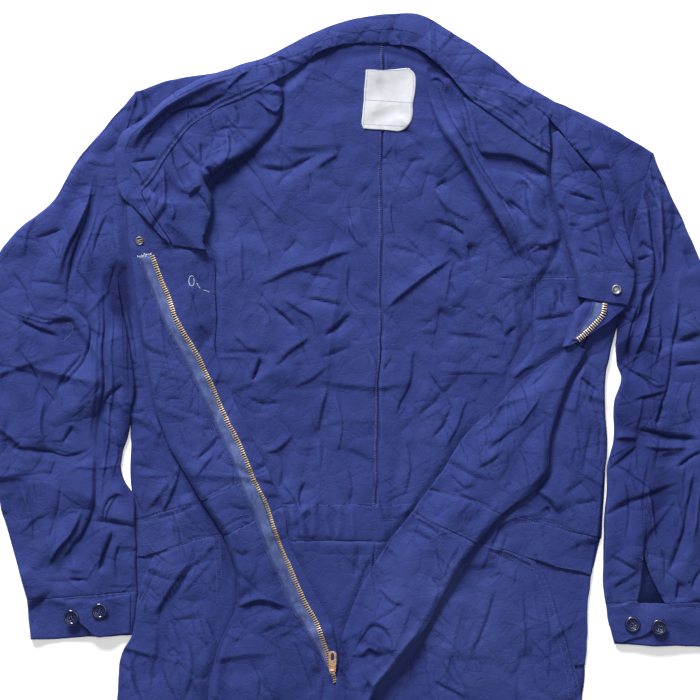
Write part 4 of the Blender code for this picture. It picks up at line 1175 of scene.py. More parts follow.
def measured_from(plan: np.ndarray, path: np.ndarray) -> tuple[np.ndarray, np.ndarray, float]:
    """How far points lie from a line.

    Args:
        plan: the points.
        path: the line's points.

    Returns:
        Each point's distance, positive to the line's left, the place along the line
        that is nearest to it, and the line's length.
    """
    away = np.full(len(plan), np.inf)
    side = np.ones(len(plan))
    along = np.zeros(len(plan))
    done = 0.0
    for start, end in zip(path[:-1], path[1:]):
        run = end - start
        length = max(float(np.linalg.norm(run)), 1e-6)
        offset = plan - start
        t = np.clip((offset @ run) / length**2, 0, 1)
        gap = np.linalg.norm(offset - t[:, None] * run, axis=1)
        nearer = gap < away
        away[nearer] = gap[nearer]
        left = run[0] * offset[:, 1] - run[1] * offset[:, 0]
        side[nearer] = np.sign(left)[nearer]
        along[nearer] = (done + t * length)[nearer]
        done += length
    return away * side, along, done


def smooth_path(path: Any, step: float = 6.0) -> np.ndarray:
    """A line through the same plan points, rounded at its corners."""
    points = np.array(path, float)[None]
    cells = cell_counts(points, np.full(points.shape[1] - 1, step))
    return curve_through(points, cells)[0]


class Stitch(Enum):
    """How a seam is sewn."""

    TOP = "top"
    DOUBLE = "double"
    OVERLOCK = "overlock"
    PLAIN = "plain"


@dataclass(frozen=True)
class Seam:
    """A sewn line on the cloth: its stitches, its groove and its puckers."""

    path: tuple[Plan, ...]
    on: tuple[str, ...]
    stitch: Stitch
    groove: float
    pucker: float
    offset: float

    REACH = 14.0

    def add_to(self, plan: np.ndarray, heights: np.ndarray) -> None:
        """Press the seam into the heights at these plan points."""
        line = smooth_path(self.path)
        low, high = line.min(axis=0) - self.REACH, line.max(axis=0) + self.REACH
        near = np.flatnonzero(((plan > low) & (plan < high)).all(axis=1))
        if not near.size:
            return
        side, along, length = measured_from(plan[near], line)
        away = np.abs(side)
        inside = ease(np.minimum(along, length - along) / 4.0)
        wave = np.sin(along / 1.9 + 2.6 * np.sin(along / 7.3) + 1.9 * np.sin(along / 19.0))
        wave *= 0.5 + 0.5 * np.sin(along / 11.0 + side * 0.2)
        heights[near] += inside * (
            self.pucker * wave * np.exp(-away / 6.0)
            - 1.7 * self.groove * np.exp(-((away / 1.7) ** 2))
        )


def seam_rows(table: str) -> tuple[Seam, ...]:
    """Seams from a table.

    Args:
        table: a seam to each line: its stitch, groove, pucker and offset, the nodes
            that it is sewn on, a colon and its points.

    Returns:
        The seams.
    """
    made = []
    for line in table.strip().splitlines():
        head, path = line.split(":")
        stitch, groove, pucker, offset, *on = head.split()
        sizes = float(groove), float(pucker), float(offset)
        made.append(Seam(plan_points(path), tuple(on), Stitch(stitch), *sizes))
    return tuple(made)


class CreaseKind(NamedTuple):
    """One class of chance creases: how many there are and how big they get."""

    density: float
    height: tuple[float, float]
    width: tuple[float, float]
    length: tuple[float, float]
    stars: float


# density, height, width, length and share of stars
KINDS = (
    CreaseKind(1.1, (2.4, 5.0), (8.0, 15.0), (80, 210), 0.0),
    CreaseKind(2.1, (1.0, 2.2), (4.0, 7.5), (35, 110), 0.1),
    CreaseKind(9.0, (0.4, 1.0), (2.2, 3.6), (26, 100), 0.25),
)
# size, height, depth of the grooves between facets and their width
FACETS = ((66, 4.8, 0.5, 2.2), (35, -1.9, 0.45, 1.8), (21, 0.8, 0.25, 1.4))


@dataclass(frozen=True)
class Relief:
    """Folds, creases and seams of one layer of cloth, as heights over its plan."""

    seed: int
    box: tuple[float, float, float, float]
    rows: LineRows = ()
    seams: tuple[Seam, ...] = ()
    patches: tuple[tuple[float, tuple[Plan, ...]], ...] = ()
    swell: float = 1.1
    crumple: float = 1.0
    lowest: float = -1.3
    highest: float = 8.0
    raised: float = 0.0
    grain: float | None = None
    strength: float = 1.8
    slim: float = 0.8

    def random_creases(self) -> list[Crease]:
        """Creases scattered over the box, some of the small ones meeting in stars."""
        rng = np.random.default_rng(self.seed)
        x0, y0, x1, y1 = self.box
        made = []
        for kind in KINDS:
            for _ in range(int((x1 - x0) * (y1 - y0) / 1e4 * kind.density)):
                centre = np.array([rng.uniform(x0, x1), rng.uniform(y0, y1)])
                rays = 3 if rng.random() < kind.stars else 1
                lean = self.grain if self.grain is not None else centre[0] * 0.7 + 90
                angle = math.radians(lean) + 1.1 * math.sin(centre[1] / 90 + self.seed)
                angle += rng.normal(0, 0.35) + (math.pi / 2.4) * rng.integers(0, 3)
                for _ in range(rays):
                    length = rng.uniform(*kind.length) * (0.5 + 0.5 * rng.random())
                    share = rng.random()
                    width = lerp(*kind.width, share)
                    height = lerp(*kind.height, 0.6 * share + 0.4 * rng.random())
                    height *= -1 if rng.random() < 0.5 else 1
                    heading = np.array([math.cos(angle), math.sin(angle)])
                    side = np.array([-heading[1], heading[0]])
                    bend = rng.normal(0, 0.045) * length
                    first = centre if rays > 1 else centre - heading * length / 2
                    last = first + heading * length
                    path = smooth_path([first, (first + last) / 2 + side * bend, last], 9.0)
                    made.append(Crease(height * self.crumple, width, path))
                    angle += rng.uniform(1.3, 2.9)
        return made

    def heights(self, plan: np.ndarray) -> np.ndarray:
        """The height that the cloth gains at each plan point."""
        plan = np.nan_to_num(plan, nan=FAR_AWAY)
        chance = Chance(self.seed)
        warp = np.stack([chance.waves(plan, 31, 0), chance.waves(plan, 31, 1)], axis=1)
        bent = plan + 9.0 * warp
        total = self.swell * chance.waves(plan, 78, 2)
        total += 0.45 * self.swell * chance.waves(plan, 37, 3)
        calm = 0.55 + 0.9 * ease(0.5 + 0.8 * chance.waves(plan + 900, 95, 1))
        for size, height, groove, width in FACETS:
            facet, away = chance.facets(bent + 7 * size, size)
            total += self.crumple * calm * height * facet
            open_here = ease(0.35 + 2.2 * chance.waves(plan + 3 * size, 0.75 * size + 16, 0))
            total -= groove * self.crumple * open_here * np.exp(-away / width)
        for crease in self.random_creases():
            crease.add_to(plan, total)
        for height, width, path in self.rows:
            line = smooth_path(path)
            size = self.strength * (abs(height) / 2) ** 0.6
            Crease(height * size, width * self.slim, line, 0.3).add_to(plan, total)
        for height, outline in self.patches:
            inside = inside_by(plan, np.array(outline, float))
            total += height * ease((inside + 1.0) / 4.0)
        total += self.raised
        total = np.where(total > 0, self.highest * np.tanh(total / self.highest), total)
        if self.lowest < 0:
            total = np.where(total < 0, self.lowest * np.tanh(total / self.lowest), total)
        else:
            total = np.where(total < 0.8, 0.8 * np.exp((total - 0.8) / 0.8), total)
        for seam in self.seams:
            seam.add_to(plan, total)
        return np.maximum(total, 0.1) if self.lowest >= 0 else total

    def over(self, surface: Surface) -> np.ndarray:
        """The heights over a surface's grid."""
        return self.heights(surface.plan).reshape(surface.points.shape[:2])


def inside_by(plan: np.ndarray, outline: np.ndarray) -> np.ndarray:
    """How far points lie inside a closed outline; negative outside it."""
    ring = np.vstack([outline, outline[:1]])
    away = np.abs(measured_from(plan, ring)[0])
    x, y = plan[:, 0], plan[:, 1]
    crossings = np.zeros(len(plan), int)
    for (x0, y0), (x1, y1) in zip(ring[:-1], ring[1:]):
        spans = (y0 > y) != (y1 > y)
        at = x0 + (y - y0) / (y1 - y0 if y1 != y0 else 1e-9) * (x1 - x0)
        crossings += spans & (x < at)
    return np.where(crossings % 2 == 1, away, -away)


# --------------------------------------------------------------- materials


class Wire:
    """The output socket of a node, which takes arithmetic."""

    def __init__(self, bench: Bench, socket: bpy.types.NodeSocket) -> None:
        """Wrap a socket of a bench's tree."""
        self.bench = bench
        self.socket = socket

    def math(self, operation: str, *values: Any) -> Wire:
        """A Math node's result on these values."""
        inputs = dict(enumerate(values))
        return self.bench.node("ShaderNodeMath", {"operation": operation}, inputs)

    def __add__(self, other: Any) -> Wire:
        """This plus other."""
        return self.math("ADD", self, other)

    def __radd__(self, other: Any) -> Wire:
        """Other plus this."""
        return self.math("ADD", other, self)

    def __sub__(self, other: Any) -> Wire:
        """This minus other."""
        return self.math("SUBTRACT", self, other)

    def __rsub__(self, other: Any) -> Wire:
        """Other minus this."""
        return self.math("SUBTRACT", other, self)

    def __mul__(self, other: Any) -> Wire:
        """This times other."""
        return self.math("MULTIPLY", self, other)

    def __rmul__(self, other: Any) -> Wire:
        """Other times this."""
        return self.math("MULTIPLY", other, self)

    def sine(self) -> Wire:
        """The sine of this."""
        return self.math("SINE", self)

    def between(self, low: float, high: float) -> Wire:
        """A smooth step from 0, where this is at low, to 1, where it is at high."""
        inputs = {"Value": self, "From Min": low, "From Max": high}
        settings = {"interpolation_type": "SMOOTHSTEP"}
        return self.bench.node("ShaderNodeMapRange", settings, inputs, "Result")


class Bench:
    """A material under construction: nodes, wires and the shader they feed."""

    def __init__(self, name: str) -> None:
        """Start a material with one shader."""
        self.material = bpy.data.materials.new(name)
        self.material.use_nodes = True
        self.tree = self.material.node_tree
        self.shader = self.tree.nodes["Principled BSDF"]

    def node(
        self,
        kind: str,
        settings: dict[str, Any] | None = None,
        inputs: dict[Any, Any] | None = None,
        out: str | int = 0,
    ) -> Wire:
        """Add a node.

        Args:
            kind: the node's type.
            settings: its properties; "stops" holds the places and colours of a ramp.
            inputs: values or wires for its sockets.
            out: the output to return.

        Returns:
            The wire from that output.
        """
        node = self.tree.nodes.new(kind)
        for key, value in (settings or {}).items():
            if key == "stops":
                ramp = node.color_ramp
                while len(ramp.elements) < len(value):
                    ramp.elements.new(0.5)
                for element, (place, color) in zip(ramp.elements, value):
                    element.position = place
                    element.color = color
            else:
                setattr(node, key, value)
        for key, value in (inputs or {}).items():
            self.feed(node.inputs[key], value)
        return Wire(self, node.outputs[out])

    def feed(self, socket: bpy.types.NodeSocket, value: Any) -> None:
        """Give a socket a value or a wire."""
        if isinstance(value, Wire):
            self.tree.links.new(value.socket, socket)
        else:
            socket.default_value = value

    def blend(self, share: Any, low: Any, high: Any) -> Wire:
        """A colour between two colours."""
        inputs = {0: share, 6: low, 7: high}
        return self.node("ShaderNodeMix", {"data_type": "RGBA"}, inputs, 2)

    def noise(self, at: Wire, scale: float, detail: float = 2.0, rough: float = 0.5) -> Wire:
        """Noise from 0 to 1."""
        inputs = {"Vector": at, "Scale": scale, "Detail": detail, "Roughness": rough}
        return self.node("ShaderNodeTexNoise", None, inputs, "Fac")

    def object_place(self) -> Wire:
        """Object coordinates."""
        return self.node("ShaderNodeTexCoord", None, None, "Object")

    def axis(self, at: Wire, name: str) -> Wire:
        """One coordinate of a place."""
        return self.node("ShaderNodeSeparateXYZ", None, {"Vector": at}, name)

    def stretched(self, at: Wire, scale: tuple[float, float, float]) -> Wire:
        """A place with its axes scaled."""
        return self.node("ShaderNodeMapping", None, {"Vector": at, "Scale": scale})

    def bump(self, height: Wire, strength: float, distance: float, under: Any = None) -> Wire:
        """A normal bent by a height."""
        inputs = {"Height": height, "Strength": strength, "Distance": distance}
        if under is not None:
            inputs["Normal"] = under
        return self.node("ShaderNodeBump", None, inputs)

    def dress(self, **inputs: Any) -> bpy.types.Material:
        """Feed the shader and return the material; an underscore stands for a space."""
        for key, value in inputs.items():
            self.feed(self.shader.inputs[key.replace("_", " ")], value)
        return self.material


Color = tuple[float, float, float, float]


@dataclass(frozen=True)
class Cotton:
    """Plain woven cotton, paler where rubbed on its ridges, with painted shade in its troughs, creases
    and dark streaks and painted light in its pale streaks.
    """

    name: str
    color: Color
    # pale colour of rubbed ridges and random flecks, and of the painted light of the pale streaks
    faded: Color
    # colour of the painted shade in troughs, creases and dark streaks
    shade_tone: Color
    weave: float = 0.55
    pocks: float = 1.0

    def make(self) -> bpy.types.Material:
        """Build the material; the cloth map counts in units of 100 mm."""
        bench = Bench(self.name)
        at = bench.node("ShaderNodeUVMap", {"uv_map": "cloth"})
        worn = bench.node("ShaderNodeAttribute", {"attribute_name": "worn"}, None, "Fac")
        place = bench.object_place()
        broad = bench.noise(place, 9.0, 3.0, 0.55).between(0.3, 0.72)
        blotch = bench.noise(place, 46.0, 4.0, 0.6)
        yarn = (
            bench.noise(bench.stretched(at, (12.0, 210.0, 1.0)), 1.0)
            + bench.noise(bench.stretched(at, (210.0, 12.0, 1.0)), 1.0)
            - 1.0
        )
        fleck = bench.noise(place, 900.0, 1.0).between(0.74, 0.82)
        # paleness from rubbed ridges, random tone and the painted light of the pale streaks
        fade = worn * 0.3 + broad * 0.2 + (blotch - 0.5) * 0.55 + yarn * 0.5 + 0.25
        base = bench.blend(fade.between(0.0, 1.15), self.color, self.faded)
        # painted shade: where the tone attribute is negative, the cloth darkens to the shade colour
        base = bench.blend((worn * -0.6).between(0.1, 1.1), base, self.shade_tone)
        base = bench.blend(fleck * 0.35, base, self.faded)
        pitch = 2 * math.pi * 100 / self.weave
        woven = (bench.axis(at, "X") * pitch).sine() * (bench.axis(at, "Y") * pitch).sine()
        swirl = {"Vector": place, "Scale": 30.0, "Detail": 2.0}
        bent = bench.blend(0.06, place, bench.node("ShaderNodeTexNoise", None, swirl, "Color"))
        cell = bench.node(
            "ShaderNodeTexVoronoi",
            {"feature": "DISTANCE_TO_EDGE"},
            {"Vector": bent, "Scale": 70.0},
            "Distance",
        )
        drift = {"Vector": place, "Scale": 14.0, "Detail": 1.0}
        bent = bench.blend(0.02, place, bench.node("ShaderNodeTexNoise", None, drift, "Color"))
        fold = bench.node(
            "ShaderNodeTexVoronoi",
            {"feature": "DISTANCE_TO_EDGE"},
            {"Vector": bent, "Scale": 27.0},
            "Distance",
        )
        # painted shade: thin dark lines of colour, in patches, along the edges of the fold cells
        patchy = bench.noise(place, 17.0, 2.0).between(0.5, 0.66)
        pinch = (1.0 - fold.between(0.0, 0.035)) * patchy
        base = bench.blend(pinch * 0.14, base, self.shade_tone)
        normal = bench.bump(pinch * -0.5 + fold * 2.2, 0.26, 0.0016)
        normal = bench.bump(cell.between(0.0, 0.1), 0.3 * self.pocks, 0.0006, normal)
        normal = bench.bump(bench.noise(place, 120.0, 4.0, 0.6), 0.4 * self.pocks, 0.0008, normal)
        normal = bench.bump(woven + yarn, 0.12, 0.0002, normal)
        return bench.dress(
            Base_Color=base,
            Roughness=0.86 - 0.06 * fade,
            Normal=normal,
            Specular_IOR_Level=0.18,
            Sheen_Weight=0.04,
            Sheen_Roughness=0.45,
            Sheen_Tint=(0.62, 0.7, 1.0, 1.0),
        )


# ------------------------------------------------------------------ sewing


class Workroom:
    """Makes pieces of cloth and keeps what later pieces are laid or sewn on."""

    def __init__(self, cotton: bpy.types.Material) -> None:
        """Start with the main cloth and nothing laid."""
        self.cotton = cotton
        self.trees: dict[str, BVHTree] = {}
        self.count = 0

    def mesh(self, name: str, surface: Surface, worn: np.ndarray) -> bpy.types.Mesh:
        """A mesh of a surface with its cloth map and its tone attribute, which holds rubbed paleness,
        marks, painted light and painted shade.
        """
        points = surface.points.reshape(-1, 3)
        cells = surface.cells()
        used = np.unique(cells)
        renumber = np.full(len(points), -1)
        renumber[used] = np.arange(len(used))
        cells = renumber[cells]
        across = np.linalg.norm(np.diff(surface.points, axis=1, prepend=np.nan), axis=2)
        along = np.linalg.norm(np.diff(surface.points, axis=0, prepend=np.nan), axis=2)
        u = np.cumsum(np.nan_to_num(across), axis=1)
        v = np.cumsum(np.nan_to_num(along), axis=0)
        v = np.broadcast_to(np.nanmedian(v, axis=1)[:, None], v.shape)
        uv = np.stack([u.reshape(-1)[used], v.reshape(-1)[used]], axis=1) * UV_UNIT
        data = bpy.data.meshes.new(name)
        data.vertices.add(len(used))
        data.vertices.foreach_set("co", (points[used] * MM).ravel())
        data.loops.add(cells.size)
        data.loops.foreach_set("vertex_index", cells.ravel())
        data.polygons.add(len(cells))
        data.polygons.foreach_set("loop_start", np.arange(0, cells.size, 4))
        data.polygons.foreach_set("use_smooth", np.ones(len(cells), bool))
        data.update(calc_edges=True)
        layer = data.uv_layers.new(name="cloth")
        layer.data.foreach_set("uv", uv[cells.ravel()].ravel())
        marks_and_shade = data.attributes.new("worn", "FLOAT", "POINT")
        marks_and_shade.data.foreach_set("value", worn.reshape(-1)[used].astype(np.float32))
        data.validate()
        self.trees[name] = BVHTree.FromPolygons(
            [tuple(p) for p in points[used]], [tuple(int(i) for i in c) for c in cells]
        )
        return data

    def sew(
        self,
        node: str,
        surface: Surface,
        gain: np.ndarray | None = None,
        material: bpy.types.Material | None = None,
        slot: str = "cotton",
        shell: float = SHELL,
        rests_on: tuple[str, ...] = (),
        marks_and_shade: Any = 0.0,
    ) -> None:
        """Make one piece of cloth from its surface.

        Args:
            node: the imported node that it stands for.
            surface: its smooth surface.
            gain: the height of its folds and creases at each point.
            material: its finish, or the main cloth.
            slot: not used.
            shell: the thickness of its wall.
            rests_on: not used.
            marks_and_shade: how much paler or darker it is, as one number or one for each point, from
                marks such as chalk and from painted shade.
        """
        width, length, area = surface.flat_sizes()
        worn = np.full(surface.points.shape[:2], marks_and_shade)
        if material is None:
            # painted shade and painted light of the streak table, on the main cloth only
            worn = worn + self.streaks(surface.plan).reshape(worn.shape)
        if gain is not None:
            raised = surface.points[..., 2] + gain
            surface.points[..., 2] = np.maximum(raised, SHELL / 2)
            # rubbed paleness on ridges and painted shade in troughs
            worn = worn + self.wear_of(surface)
        surface.points[..., :2] += wandered(surface.plan).reshape(*worn.shape, 2)
        data = self.mesh(node, surface, worn)
        body = bpy.data.objects.new(f"{node}_cloth", data)
        bpy.context.scene.collection.objects.link(body)
        data.materials.append(material or self.cotton)
        kept = KEPT if len(data.polygons) > LARGE else 1
        if kept < 1:
            body.modifiers.new("fewer_triangles", "DECIMATE").ratio = kept
        wall = body.modifiers.new("wall", "SOLIDIFY")
        wall.thickness = shell * MM
        wall.offset = 0
        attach(body, "garment")
        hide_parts(node)
        flat = (max(width, LEAST_SIDE), max(length, LEAST_SIDE))
        area = min(max(area, LEAST_FILL * flat[0] * flat[1]), flat[0] * flat[1])
        triangles = round(4 * len(data.polygons) * kept)
        self.count += triangles
        LOG.info(
            "%s: %.3f x %.3f m, %.4f m2, %d triangles", body.name, *flat, area, triangles
        )

    @staticmethod
    def streaks(plan: np.ndarray) -> np.ndarray:
        """How much paler the painted light and how much darker the painted shade of the streak table make
        the cloth at plan points.
        """
        plan = np.nan_to_num(plan, nan=FAR_AWAY)
        total = np.zeros(len(plan))
        for pale, reach, path in PAINTED_STREAKS:
            line = smooth_path(path, 12.0)
            low, high = line.min(axis=0) - 2.5 * reach, line.max(axis=0) + 2.5 * reach
            near = np.flatnonzero(((plan > low) & (plan < high)).all(axis=1))
            if near.size:
                side, along, length = measured_from(plan[near], line)
                fade = ease(np.minimum(along, length - along) / (1.6 * reach) + 0.2)
                total[near] += pale * fade * np.exp(-((side / reach) ** 2))
        return total

    @staticmethod
    def wear_of(surface: Surface) -> np.ndarray:
        """Paler on ridges, where the cloth is rubbed, and darker in troughs, which is painted shade in
        the creases.
        """
        z = surface.points[..., 2]
        across = np.linalg.norm(np.diff(surface.points[..., :2], axis=1), axis=2)
        step = max(float(np.nanmedian(across)), 1.0)
        bend = np.zeros_like(z)
        bend[:, 1:-1] += z[:, 1:-1] - (z[:, 2:] + z[:, :-2]) / 2
        bend[1:-1] += z[1:-1] - (z[2:] + z[:-2]) / 2
        bend = np.nan_to_num(bend / step)
        return np.clip(np.where(bend > 0, 1.2 * bend, 4.0 * bend), -1.0, 0.6)

    def drop(self, names: tuple[str, ...], x: float, y: float) -> float | None:
        """The height of the uppermost of these cloths at a plan point."""
        start = Vector((x, y, ABOVE_ALL))
        hits = [self.trees[name].ray_cast(start, Vector((0, 0, -1)))[0] for name in names]
        return max((hit.z for hit in hits if hit is not None), default=None)

    def sinking(self, surface: Surface, gain: np.ndarray, names: tuple[str, ...]) -> np.ndarray:
        """How far each point would sink into these cloths."""
        lift = np.zeros(gain.shape)
        for at in np.ndindex(gain.shape):
            p = surface.points[at]
            if not math.isnan(p[0]):
                under = self.drop(names, p[0], p[1])
                if under is not None:
                    lift[at] = max(0.0, under + SHELL + 0.5 - p[2] - gain[at])
        return lift

    def seat(self, x: float, y: float, reach: float, low: float) -> float:
        """The height at which a disc of this reach lies on the cloth, at least low."""
        names = tuple(name for name in self.trees if "tape" not in name)
        around = [(0.0, 0.0), (0.7, 0.0), (-0.7, 0.0), (0.0, 0.7), (0.0, -0.7)]
        found = [self.drop(names, x + reach * i, y + reach * j) for i, j in around]
        return max([low] + [h + SHELL / 2 - 0.4 for h in found if h is not None])

    def lay(self, surface: Surface, names: tuple[str, ...], gap: float) -> None:
        """Lay a surface on these cloths, keeping its own height where none is under it."""
        flat = surface.points.reshape(-1, 3)
        for p in flat:
            if math.isnan(p[0]):
                continue
            under = self.drop(names, p[0], p[1])
            if under is not None:
                p[2] = under + gap


# ------------------------------------------------------------------- seams

SEAMS = {
    "ground": seam_rows("""
        overlock 0.9 0.25 2.5 back_right back_left: 2.4,586.8 1.2,481.2 -0.6,375.6 -1.2,279.6 -3.6,183.6 \
            -4.8,99.6 -6.6,34.8
        plain 0.8 0 0: 2.4,586.8 1.2,481.2 -0.6,375.6 -1.2,279.6 -3.6,183.6 -4.8,99.6 -6.6,34.8
        top 0.45 0.25 0 front_left: 139.2,306 177.6,310.8 234,312
        top 0.2 0.1 0 front_left: 139.2,299.4 177.6,304.2 234,305.4
        top 0.35 0.15 0 front_left: 182.4,303.6 183.6,279.6 182.4,258
        top 0.8 0.35 0 back_waistband: -102,-6 -50.4,-9.6 12,-9.6
        top 0.4 0.2 0 back_waistband: -94.8,-20.4 -50.4,-24.6 -4.8,-25.2
        top 0.3 0 0 back_waistband: -8.4,16.8 -8.4,-8.4
        top 0.3 0 0 back_waistband: 13.2,16.8 13.2,-8.4
        top 0.3 0 0 back_waistband: -8.4,16.8 13.2,17.4
        double 0.5 0.3 0 seat_right seat_left: -9.6,-27.6 -10.8,-50.4 -13.2,-75.6
    """),
    "first_right": seam_rows("""
        double 0.4 0.2 0 front_waistband_right trouser_front_right: -295.2,-28.8 -271.2,-29.4
        top 0.5 0.3 0 front_right front_waistband_right: -297.6,15.6 -283.2,16.8 -268.8,18
        double 0.4 0.25 0 front_right front_waistband_right: -249.6,26.4 -242.4,-2.4 -234,-31.2
        top 0.6 0.4 0 front_waistband_right trouser_front_right: -271.2,-26.4 -242.4,-14.4 -230.4,-8.4 \
            -200.4,-2.4 -187.2,0
        double 0.35 0.25 -2 trouser_front_right: -266.4,-32.4 -274.8,-51.6 -282,-68.4 -289.2,-84
        plain 0.8 0.4 0: -268.8,18 -242.4,25.2 -212.4,39.6
    """),
    "top_right": seam_rows("""
        top 0.6 0.45 0 front_right front_waistband_right: -214.8,38.4 -196.8,51.6 -180,61.2
        double 0.6 0.4 0 front_waistband_right trouser_front_right: -199.2,-1.2 -182.4,14.4 -156,21.6
        double 0.5 0.3 0 trouser_front_right: -198,-9.6 -196.2,-32.4 -194.4,-56.4 -194.4,-82.8
        top 0.2 0.2 0 front_right: -278.4,325.2 -254.4,255.6 -228,183.6 -212.4,142.8 -192,99.6 -170.4,49.2
    """),
    "first_left": seam_rows("""
        top 0.7 0.5 0 front_left front_waistband_left: 157.2,13.2 201.6,15.6 234,1.2 259.2,-4.8
        double 0.6 0.4 0 front_waistband_left trouser_front_left: 128.4,-19.2 160.8,-28.8 181.2,-38.4
        double 0.5 0.3 0 back_waistband front_waistband_left hip_pocket_left: 210,-40.8 231.6,-45.6 \
            252,-50.4
        double 0.45 0.3 5.5 trouser_front_left: 183.6,-21.6 192,-39.6 204,-72 211.2,-102 224.4,-135.6 \
            229.2,-158.4 234,-196.8
    """),
    "top_left": seam_rows("""
        top 0.7 0.5 0 front_left front_waistband_left: 54,52.8 105.6,40.8 142.8,24
        double 0.6 0.45 0 front_waistband_left trouser_front_left: 38.4,25.2 72,7.8 114,-12
    """),
    "collar": seam_rows("""
        top 0.5 0.3 0 collar_leaf collar_stand facing_right: -87.6,578.4 -132,564 -174,550.8
        double 0.5 0.45 0 facing_right collar_stand: -136.8,538.8 -204,508.8 -231.6,490.8 -249.6,468 \
            -264,447.6 -286.8,411.6
        top 0.6 0.4 0 facing_left collar_leaf: 115.2,534 183.6,511.2 201.6,493.2 224.4,466.8 244.8,442.8 \
            261.6,420 264,403.2
        double 0.5 0.4 0 facing_left collar_stand: 108,522 153.6,498 181.2,472.8 200.4,459.6
        top 0.4 0.2 0 facing_left fly_flap_left: 235.2,314.4 261.6,313.8 292.8,314.4
    """),
    "sleeve_right": seam_rows("""
        top 0.7 0.5 0 cuff_right sleeve_right: -423.6,-81 -406.8,-78.6 -355.2,-76.2 -326.4,-73.8 \
            -302.4,-70.8
    """),
    "sleeve_left": seam_rows("""
        top 0.6 0.4 0 cuff_left sleeve_left cuff_tab_left: 272.4,-85.2 306,-81.6
        top 0.6 0.4 0 cuff_left sleeve_left: 340.8,-87 356.4,-88.2 379.2,-89.4
        top 0.4 0.2 0 sleeve_left: 318,27.6 318,-2.4 312,-30
        top 0.2 0 0 sleeve_left: 306,46.8 316.8,46.8 316.8,28.8 306,28.2 306,46.8
        top 0.3 0.15 0 sleeve_left: 309.6,-28.8 306,-49.2 302.4,-78
        top 0.3 0.15 0 sleeve_left: 320.4,-27.6 327.6,-46.8 337.2,-68.4 346.8,-84
    """),
}


# ---------------------------------------------------------------- sections


def turn(start: Plan, outward: Plan, reach: float, low: float, high: float) -> Row:
    """Points round a fold between two layers, leaving out its first and last.

    Args:
        start: where the fold begins.
        outward: its direction in plan.
        reach: how far it bulges; a fold with less than its full reach is opened out.
        low: height of the layer it leaves.
        high: height of the layer it joins.

    Returns:
        The points.
    """
    opened = TURN_LENGTH * (1 - reach / TURN_REACH)
    points: Row = []
    for step in range(1, TURN_STEPS):
        angle = math.pi * step / TURN_STEPS
        push = reach * math.sin(angle) + opened * step / TURN_STEPS
        x, y = start[0] + outward[0] * push, start[1] + outward[1] * push
        points.append((x, y, lerp(low, high, (1 - math.cos(angle)) / 2)))
    return points


@dataclass
class FrontSection:
    """One section of a folded front, from the side seam to the free edge."""

    row: FoldRow

    @property
    def along(self) -> Vector:
        """Unit direction in plan from the side seam to the free edge."""
        return (Vector(self.row.edge) - Vector(self.row.side)).normalized()

    def inner(self) -> Row:
        """The stretch that lies inside up on the floor, and its turn."""
        row = self.row
        end = (row.side[0] - TURN_REACH, row.side[1])
        flat: Row = [(*mix(row.inner, end, t), FLOOR_Z) for t in INNER_RUN]
        return flat + turn(end, (1.0, 0.0), TURN_REACH, FLOOR_Z, LAYERS[0])

    def first(self, side: Plan, hidden: Plan) -> Row:
        """The lowest layer."""
        row = self.row
        low = LAYERS[0] if row.inner else row.side_z
        points: Row = []
        for t in FIRST_RUN:
            x, y = mix(side, hidden, t)
            z = lerp(low, row.first_z, float(ease(t / FIRST_RUN[1])))
            points.append((x, y + row.crown * 4 * t * (1 - t), z))
        return points

    def last(self, start: Plan, layer: float) -> Row:
        """The top layer: level over the hidden turn, then sinking to its edge."""
        row = self.row
        length = math.dist(row.edge, start)
        level = (Vector(row.hidden) - Vector(start)).dot(self.along) + 4.0
        level = min(max(level / length, 0.05), 0.75)
        points: Row = []
        for step in range(LAST_RUN + 1):
            t = level * step / 2 if step < 2 else lerp(level, 1.0, (step - 2) / (LAST_RUN - 2))
            z = lerp(layer, row.edge_z, float(ease((t - level) / (1 - level))))
            points.append((*mix(start, row.edge, t), z))
        return points

    def folded(self) -> Row:
        """The first turn, the middle layer, the second turn and the top layer."""
        row, along = self.row, self.along
        if row.flat:
            after = tuple(Vector(row.hidden) + along * TURN_LENGTH)
            start = tuple(Vector(row.fold) + along * TURN_LENGTH)
            z = row.first_z
            points = turn(row.hidden, along, 0.0, z, z)
            points += [(*mix(after, row.fold, t), z) for t in MIDDLE_RUN]
            return points + turn(row.fold, along, 0.0, z, z) + self.last(start, z)
        hidden = tuple(Vector(row.hidden) - along * TURN_REACH)
        fold = tuple(Vector(row.fold) + along * TURN_REACH)
        points = turn(hidden, along, TURN_REACH, LAYERS[0], LAYERS[1])
        points += [(*mix(hidden, fold, t), LAYERS[1]) for t in MIDDLE_RUN]
        points += turn(fold, -along, TURN_REACH, LAYERS[1], LAYERS[2])
        return points + self.last(fold, LAYERS[2])

    def points(self) -> Row:
        """Every point, with None for the stretches that the section lacks."""
        row, side, hidden = self.row, self.row.side, self.row.hidden
        before: Row = [None] * (len(INNER_RUN) + TURN_STEPS - 1)
        if row.inner:
            before = self.inner()
            side = (row.side[0] - TURN_REACH, row.side[1])
        after: Row = [None] * (len(MIDDLE_RUN) + 2 * (TURN_STEPS - 1) + LAST_RUN + 1)
        if row.fold:
            after = self.folded()
            if not row.flat:
                hidden = tuple(Vector(hidden) - self.along * TURN_REACH)
        return before + self.first(side, hidden) + after


